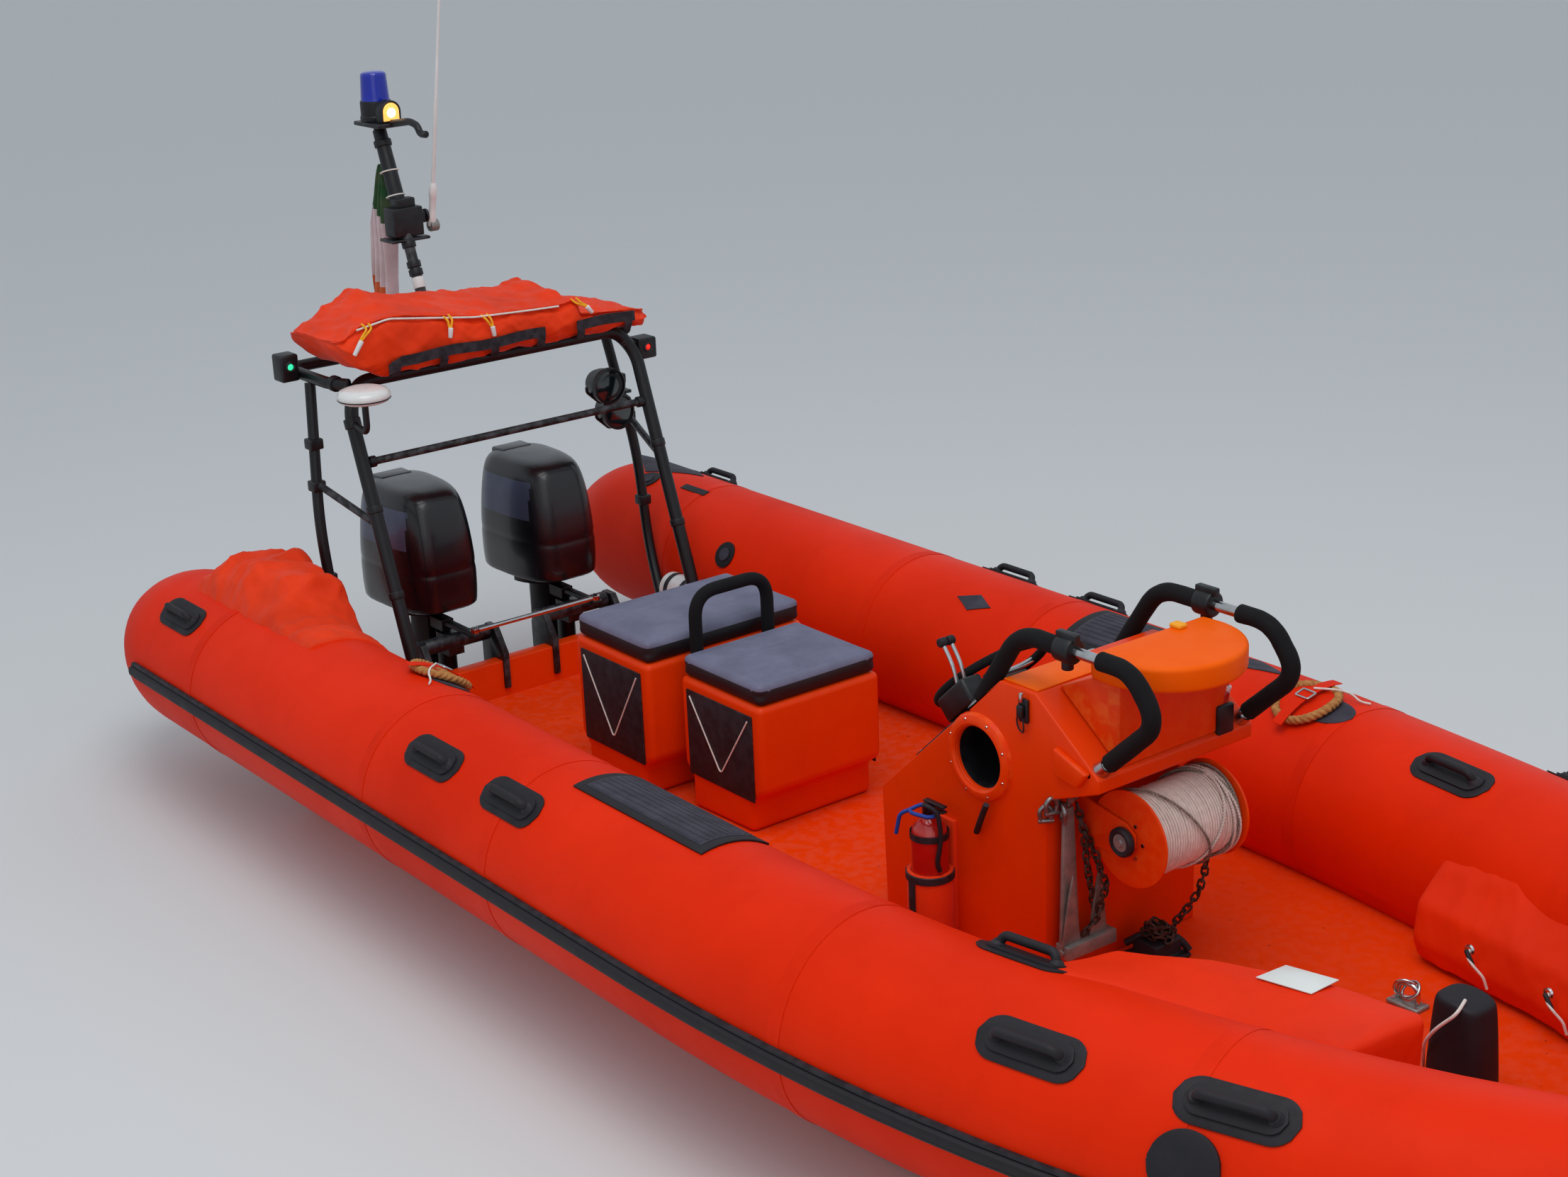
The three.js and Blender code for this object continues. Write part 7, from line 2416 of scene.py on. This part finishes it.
@dataclass
class LightMast:
    """The raked light mast with its head plate, beacon, lamp, collar, arm, ensign and whip aerial.

    Attributes:
        foot: The pin at its foot.
        axis: The direction of the tube.
        length: The tube's length.
        tube: The tube's radius.
        whip_axis: The direction of the whip aerial.
        whip_length: The whip's length.
    """

    foot: tuple = (-2.9735, -0.03, 1.61)
    axis: tuple = (-0.3355, 0.0, 0.9421)
    length: float = 0.775
    tube: float = 0.021
    whip_axis: tuple = (math.sin(math.radians(13)), 0.0, math.cos(math.radians(13)))
    whip_length: float = 1.489

    def along(self, share: float) -> Vector:
        """Returns a point on the tube's axis, by its share of the length."""
        return Vector(self.foot) + Vector(self.axis) * self.length * share

    def build(self) -> None:
        """Builds and dresses the mast and what it carries."""
        self.pole()
        self.beacon()
        self.amber()
        self.ensign()
        self.whip()

    def pole(self) -> None:
        """Builds the tube with its foot, collars, head plate, cross arm and cable."""
        axis, head = Vector(self.axis), self.along(1.0)
        tube = paint(shade(rod_form("pole_tube", self.along(0) + axis * 0.022, head, self.tube, 32)), FRAME_PAINT)
        foot = paint(round_edges(rod_form("pole_foot", self.along(0) - axis * 0.012, self.along(0) + axis * 0.085,
                                          0.0255, 28), 0.004), DARK_PLASTIC)
        band = paint(round_edges(rod_form("pole_band", self.along(0.16), self.along(0.215), 0.0235, 28), 0.002),
                     WHITE_GLOSS)
        sleeve = rod_form("pole_sleeve", self.along(0.51), self.along(0.96), 0.031, 30, 0.0265)
        parts = [tube, foot, band, paint(round_edges(sleeve, 0.004), DARK_PLASTIC)]
        for i, share in enumerate((0.24, 0.28, 0.38, 0.89)):
            middle = self.along(share)
            collar = rod_form(f"pole_collar_{i}", middle - axis * 0.013, middle + axis * 0.013,
                              0.034 if share > 0.8 else self.tube + 0.006, 28)
            parts.append(paint(round_edges(collar, 0.003), DARK_PLASTIC))
        plate = box_form("head_plate", (head.x - 0.066, -0.096, head.z - 0.012),
                         (head.x + 0.125, 0.036, head.z + 0.004))
        parts.append(paint(round_edges(plate, 0.004), FRAME_PAINT))
        for i, (low, high) in enumerate((((-3.145, -0.088, 1.918), (-3.066, 0.040, 2.028)),
                                         ((-3.158, -0.108, 1.900), (-3.056, 0.060, 1.912)),
                                         ((-3.130, -0.060, 2.022), (-3.082, 0.020, 2.062)),
                                         ((-3.125, 0.030, 1.958), (-3.087, 0.065, 2.000)))):
            parts.append(paint(round_edges(box_form(f"arm_block_{i}", low, high), 0.006), DARK_PLASTIC))
        hook = [tuple(head + Vector((ahead, 0, up))) for ahead, up in (
            (0.06, -0.004), (0.25, 0.022), (0.305, 0.012), (0.325, -0.018), (0.365, -0.016))]
        parts.append(paint(shade(bent_form("head_arm", hook, Section(0.0135, 16), corner=0.02)), FRAME_PAINT))
        for i, y in enumerate((0.072, 0.083)):
            disc = rod_form(f"ratchet_{i}", (-3.106, y - 0.006, 1.982), (-3.106, y + 0.004, 1.982), 0.026 - 0.004 * i,
                            28)
            parts.append(paint(round_edges(disc, 0.002, 2), BRIGHT_STEEL if i else DARK_PLASTIC))
        cable = [tuple(self.along(0.97) + Vector((-0.02, 0.012, 0))),
                 tuple(self.along(0.78) + Vector((-0.026, 0.012, 0))),
                 tuple(self.along(0.55) + Vector((-0.028, -0.012, 0))), tuple(self.along(0.33) + Vector((-0.026, 0.008,
                                                                                                         0))),
                 tuple(self.along(0.11) + Vector((-0.024, 0.004, 0)))]
        parts.append(paint(shade(bent_form("pole_cable", cable, Section(0.0045, 10), corner=0.03)), BLACK_RUBBER))
        gather("light_mast_cover", parts, FRAME_PAINT, ["light_mast"], "mast")

    def beacon(self) -> None:
        """Builds the ribbed blue beacon on its black base."""
        low, high = (Vector(corner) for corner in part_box("blue_beacon"))
        middle = (low + high) / 2
        base = Vector((middle.x, middle.y, low.z))
        height = high.z - low.z
        foot = turned_form("beacon_foot", [(0.0, 0.0), (0.0605, 0.0), (0.062, 0.003), (0.062, 0.018), (0.059, 0.022),
                                           (0.059, 0.068), (0.0575, 0.076), (0.050, 0.078), (0.0, 0.078)], base,
                           (0, 0, 1), 56)
        profile, start = [(0.0, 0.076), (0.0545, 0.076)], 0.080
        for i in range(14):
            rise = start + (height - start - 0.015) * i / 13
            taper = 0.0548 - 0.0055 * i / 13
            profile += [(taper, rise), (taper - 0.0010, rise + (height - start) / 28)]
        profile += [(0.046, height - 0.006), (0.036, height - 0.001), (0.0, height)]
        lens = turned_form("beacon_lens", profile, base, (0, 0, 1), 64)
        gather("blue_beacon_cover", [paint(shade(foot, 35), DARK_PLASTIC), paint(shade(lens, 30), BLUE_GLASS)],
               BLUE_GLASS, ["blue_beacon"], "mast")

    def amber(self) -> None:
        """Builds the amber lamp: an arched black housing with a lit lens that faces forward."""
        low, high = (Vector(corner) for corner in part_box("amber_lamp"))
        middle = (low + high) / 2
        half_y, half_z = (high.y - low.y) / 2, (high.z - low.z) / 2
        outline = []
        for i in range(25):
            turn = math.pi * i / 24
            outline.append((low.x, middle.y + half_y * math.cos(turn), middle.z + half_z - half_y + half_y *
                            math.sin(turn)))
        outline += [(low.x, low.y, low.z), (low.x, high.y, low.z)]
        shell = plate_form("lamp_shell", outline, (high.x - low.x - 0.010, 0, 0))
        parts = [paint(round_edges(shell, 0.004), DARK_PLASTIC)]
        inner = [(high.x - 0.0108, middle.y + (p[1] - middle.y) * 0.80, middle.z + (p[2] - middle.z) * 0.80)
                 for p in outline]
        lens = plate_form("lamp_pane", inner, (0.007, 0, 0))
        parts.append(paint(round_edges(lens, 0.003), AMBER_GLOW))
        spot = rod_form("lamp_spot", (high.x - 0.004, middle.y, middle.z - 0.004), (high.x - 0.002, middle.y,
                                                                                  middle.z - 0.004), 0.019, 28, 0.014)
        parts.append(paint(shade(spot), HOT_GLOW))
        rim_line = [(high.x - 0.008, middle.y + (p[1] - middle.y) * 0.90, middle.z + (p[2] - middle.z) * 0.90)
                    for p in outline]
        parts.append(paint(shade(bent_form("lamp_bezel", rim_line, Section(0.0045, 12), closed=True), 80),
                           DARK_PLASTIC))
        gather("amber_lamp_cover", parts, DARK_PLASTIC, ["amber_lamp"], "mast")

    def ensign(self) -> None:
        """Hangs the ensign, tied by its head, in upright folds abaft the mast."""
        rows, columns, drop = 72, 64, 0.56
        low, high = (Vector(corner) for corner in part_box("ensign"))
        top, bottom = high.z - 0.012, low.z + 0.010
        clear_selection()
        bpy.ops.mesh.primitive_grid_add(x_subdivisions=columns - 1, y_subdivisions=rows - 1, size=1)
        shape = name_fresh("ensign_cloth_piece")
        centre_y = (low.y + high.y) / 2
        for vertex in shape.data.vertices:
            u, v = vertex.co.x + 0.5, 0.5 - vertex.co.y
            opened = min(1.0, v / 0.45) ** 0.8
            fore = self.staff_x(top) - 0.024 - 0.030 * v
            sway = math.sin(2 * math.pi * 3.5 * u + 0.9 * math.sin(3.1 * v) + 0.5 * v)
            across = (0.012 + 0.024 * opened) * sway * (0.8 + 0.2 * math.sin(5 * v + 3 * u))
            back = u * (0.050 + 0.072 * opened) + 0.005 * math.cos(7 * u + 4 * v)
            vertex.co = Vector((fore - back, centre_y + across, top + (bottom - top) * v + 0.012 * math.sin(2.2 * u)))
        apply_modifier(shape, "SOLIDIFY", thickness=0.0012, offset=0.0)
        dress(shade(shape, 80), ENSIGN_CLOTH, "mast", ["ensign"])
        ties = []
        for i, height in enumerate((top - 0.01, top - 0.10)):
            ties.append(torus_form(f"ensign_tie_{i}", (self.staff_x(height) - 0.006, centre_y, height), (0, -0.34, 0),
                                   0.0345, 0.0028, (32, 8)))
        dress(shade(joined("ensign_ties", ties)), WHITE_CORD, "mast")

    def staff_x(self, height: float) -> float:
        """Returns x of the mast's axis at a height."""
        return self.foot[0] + self.axis[0] / self.axis[2] * (height - self.foot[2])

    def whip(self) -> None:
        """Builds the tapered whip aerial with its hub and ferrules."""
        x, y = -3.096, 0.09
        parts = [paint(round_edges(rod_form("whip_hub", (x, y - 0.012, 1.942), (x, y + 0.024, 1.942), 0.0235, 28),
                                   0.004),
                       ZINC),
                 paint(shade(turned_form("whip_ferrule", [(0.0, 0.0), (0.015, 0.0), (0.016, 0.006), (0.016, 0.045),
                                                          (0.0135, 0.055), (0.0135, 0.110), (0.016, 0.118),
                                                          (0.016, 0.155), (0.010, 0.170), (0.0, 0.170)],
                                         (x, y, 1.942), self.whip_axis, 28), 35), WHITE_GLOSS)]
        base = Vector((x, y, 1.942)) + Vector(self.whip_axis) * 0.158
        tall = self.whip_length - 0.158
        profile = [(0.0, 0.0), (0.0080, 0.0), (0.0078, tall * 0.25), (0.0066, tall * 0.255), (0.0060, tall * 0.60),
                   (0.0050, tall * 0.605), (0.0040, tall - 0.008), (0.0045, tall - 0.006), (0.0030, tall - 0.001),
                   (0.0, tall)]
        parts.append(paint(shade(turned_form("whip_rod", profile, base, self.whip_axis, 20), 35), WHITE_GLOSS))
        gather("whip_aerial_cover", parts, WHITE_GLOSS, ["whip_aerial"], "whip")


# Engines


@dataclass
class Engines:
    """The two outboard engines and the tie bar between their tillers.

    Attributes:
        y: The engines' distance from the centreline.
        cowl_x: The cowl's middle.
        levels: Heights of the cowl's rings, each with its share of the widest outline.
        rear: The cowl's rear radius.
        front: How far it reaches forward.
    """

    y: float = 0.27
    cowl_x: float = -2.865
    levels: tuple = ((0.5945, 0.955), (0.604, 0.975), (0.640, 0.992), (0.690, 1.0), (0.742, 0.998), (0.750, 0.984),
                     (0.764, 0.984), (0.772, 0.996), (0.850, 0.968), (0.905, 0.938), (0.950, 0.905), (0.995, 0.862),
                     (1.030, 0.80), (1.050, 0.70), (1.0605, 0.54))
    rear: float = 0.172
    front: float = 0.345

    def build(self) -> None:
        """Builds both engines and the tie bar."""
        for side, way in SIDES:
            y = way * self.y
            clamp = softened_copy(f"outboard_clamp_{side}", f"clamp_cover_{side}", 0.004, 2)
            dress(clamp, ENGINE_PAINT, stands_for=[f"outboard_clamp_{side}"])
            swivel = softened_copy(f"outboard_swivel_{side}", f"swivel_cover_{side}", 0.004, 2)
            dress(swivel, ENGINE_PAINT, f"engine_mount_{side}", [f"outboard_swivel_{side}"])
            leg = softened_copy(f"outboard_leg_{side}", f"leg_cover_{side}", 0.007, 3, 25)
            dress(leg, ENGINE_PAINT, f"engine_{side}", [f"outboard_leg_{side}"])
            self.cowl(side, y)
            screw = softened_copy(f"propeller_{side}", f"propeller_cover_{side}", 0.0016, 2, 30)
            dress(screw, BRONZE, f"screw_{side}", [f"propeller_{side}"])
        bar = softened_copy("steering_tie_bar", "tie_bar_cover", 0.0015, 2)
        dress(shade(bar, 40), BRIGHT_STEEL, "tie_bar", ["steering_tie_bar"])

    def outline(self, share: float, y: float, z: float) -> list[Vector]:
        """Returns the cowl's outline at one level: round aft and blunt forward."""
        points, count = [], 56
        for i in range(count):
            turn = 2 * math.pi * i / count
            c, s = math.cos(turn), math.sin(turn)
            if c < 0:
                dx = -self.rear * abs(c) ** 0.9
                dy = self.rear * math.copysign(abs(s) ** 0.86, s)
            else:
                dx = self.front * c ** 0.5
                dy = (self.rear + (0.150 - self.rear) * c) * math.copysign(abs(s) ** 0.5, s)
            points.append(Vector((self.cowl_x + 0.03 * (1 - share) + dx * share, y + dy * share, z)))
        return points

    def cowl(self, side: str, y: float) -> None:
        """Builds one cowl with its band, parting line, handle and air intake.

        Args:
            side: The side's name.
            y: The engine's place across the boat.
        """
        rings = [self.outline(share, y, z) for z, share in self.levels]
        shell = rings_form(f"cowl_shell_{side}", rings)
        apply_modifier(shell, "SUBSURF", levels=1, render_levels=1)
        paint_both(shell, COWL_GLOSS, COWL_BAND,
                   lambda face: 0.86 < face.center.z < 0.985 and abs(face.normal.y) > 0.6
                   and -0.05 < face.center.x - self.cowl_x < 0.25)
        latch = round_edges(box_form(f"cowl_latch_{side}", (self.cowl_x - self.rear - 0.001, y - 0.03, 0.735),
                                     (self.cowl_x - self.rear + 0.02, y + 0.03, 0.785)), 0.005)
        grip = round_edges(box_form(f"cowl_intake_{side}", (self.cowl_x - 0.11, y - 0.07, 1.030),
                                    (self.cowl_x - 0.02, y + 0.07, 1.0615)), 0.010)
        vents = [paint(round_edges(box_form(f"cowl_vent_{side}_{i}", (self.cowl_x - 0.112, y - 0.058,
                                                                      1.036 + 0.0085 * i),
                                            (self.cowl_x - 0.09, y + 0.058, 1.040 + 0.0085 * i)), 0.001, 2),
                       DARK_PLASTIC) for i in range(3)]
        gather(f"outboard_cowl_cover_{side}",
               [shade(shell, 40), paint(latch, DARK_PLASTIC), paint(grip, COWL_GLOSS), *vents], COWL_GLOSS,
               [f"outboard_cowl_{side}"], f"engine_{side}")


# Stage


@dataclass
class Stage:
    """The camera at the photograph's place, the floor at the waterline and soft lights.

    Attributes:
        place: The camera's place.
        yaw: Its heading from X, in degrees.
        pitch: Its tilt, in degrees.
        roll: Its roll, in degrees.
        lens: Its focal length in millimetres on a 36 mm sensor.
    """

    place: tuple = (5.114, -4.511, 3.592)
    yaw: float = 142.821
    pitch: float = -18.866
    roll: float = -2.37
    lens: float = 55.84

    def camera(self) -> None:
        """Sets the camera by its place, heading, tilt and roll."""
        yaw, pitch, roll = (math.radians(a) for a in (self.yaw, self.pitch, self.roll))
        ahead = Vector((math.cos(pitch) * math.cos(yaw), math.cos(pitch) * math.sin(yaw), math.sin(pitch)))
        level = Vector((math.sin(yaw), -math.cos(yaw), 0))
        over = level.cross(ahead)
        right = level * math.cos(roll) + over * math.sin(roll)
        up = over * math.cos(roll) - level * math.sin(roll)
        data = bpy.data.cameras.new("photo_camera")
        data.lens = self.lens
        data.sensor_width = 36
        data.clip_end = 200
        eye = bpy.data.objects.new("photo_camera", data)
        bpy.context.scene.collection.objects.link(eye)
        turn = Matrix((right, up, -ahead)).transposed().to_4x4()
        eye.matrix_world = Matrix.Translation(Vector(self.place)) @ turn
        bpy.context.scene.camera = eye

    def floor(self) -> None:
        """Adds the plain pale floor at the waterline."""
        clear_selection()
        bpy.ops.mesh.primitive_plane_add(size=600)
        ground = name_fresh("floor")
        material = bpy.data.materials.new("floor")
        material.use_nodes = True
        shader = material.node_tree.nodes["Principled BSDF"]
        shader.inputs["Base Color"].default_value = linear("#d2d4d4")
        shader.inputs["Roughness"].default_value = 0.9
        ground.data.materials.append(material)
        ground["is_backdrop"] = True

    def lights(self) -> None:
        """Adds an even sky and two large soft lights."""
        world = bpy.data.worlds.new("sky")
        bpy.context.scene.world = world
        world.use_nodes = True
        sky = world.node_tree.nodes["Background"]
        sky.inputs["Color"].default_value = linear("#dfe6ee")
        sky.inputs["Strength"].default_value = 0.72
        for name, place, size, power, aim in (
            ("key_light", (1.5, -2.0, 9.0), 6.0, 340, (-0.3, 0.2, 0.5)),
            ("fill_light", (5.5, -5.5, 4.5), 6.0, 50, (0.0, 0.0, 0.6)),
        ):
            data = bpy.data.lights.new(name, "AREA")
            data.energy = power
            data.size = size
            lamp = bpy.data.objects.new(name, data)
            bpy.context.scene.collection.objects.link(lamp)
            way = Vector(aim) - Vector(place)
            lamp.matrix_world = Matrix.Translation(Vector(place)) @ way.to_track_quat("-Z", "Y").to_matrix().to_4x4()

    def build(self) -> None:
        """Sets up the camera, the floor, the lights and a plain view transform."""
        self.camera()
        self.floor()
        self.lights()
        bpy.context.scene.view_settings.view_transform = "Standard"


def main() -> None:
    """Builds the stage and every sub-assembly in order."""
    Stage().build()
    for assembly in (Tubes(), HullBody(), Console(), GroundTackle(), Seats(), BowFittings(), SternGear(), Gantry(),
                     LightMast(), Engines()):
        before = len(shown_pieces())
        assembly.build()
        LOG.info("%s built, %d pieces more", type(assembly).__name__, len(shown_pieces()) - before)
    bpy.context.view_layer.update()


if __name__ == "__main__":
    logging.basicConfig(level=logging.INFO, format="%(name)s: %(message)s")
    main()
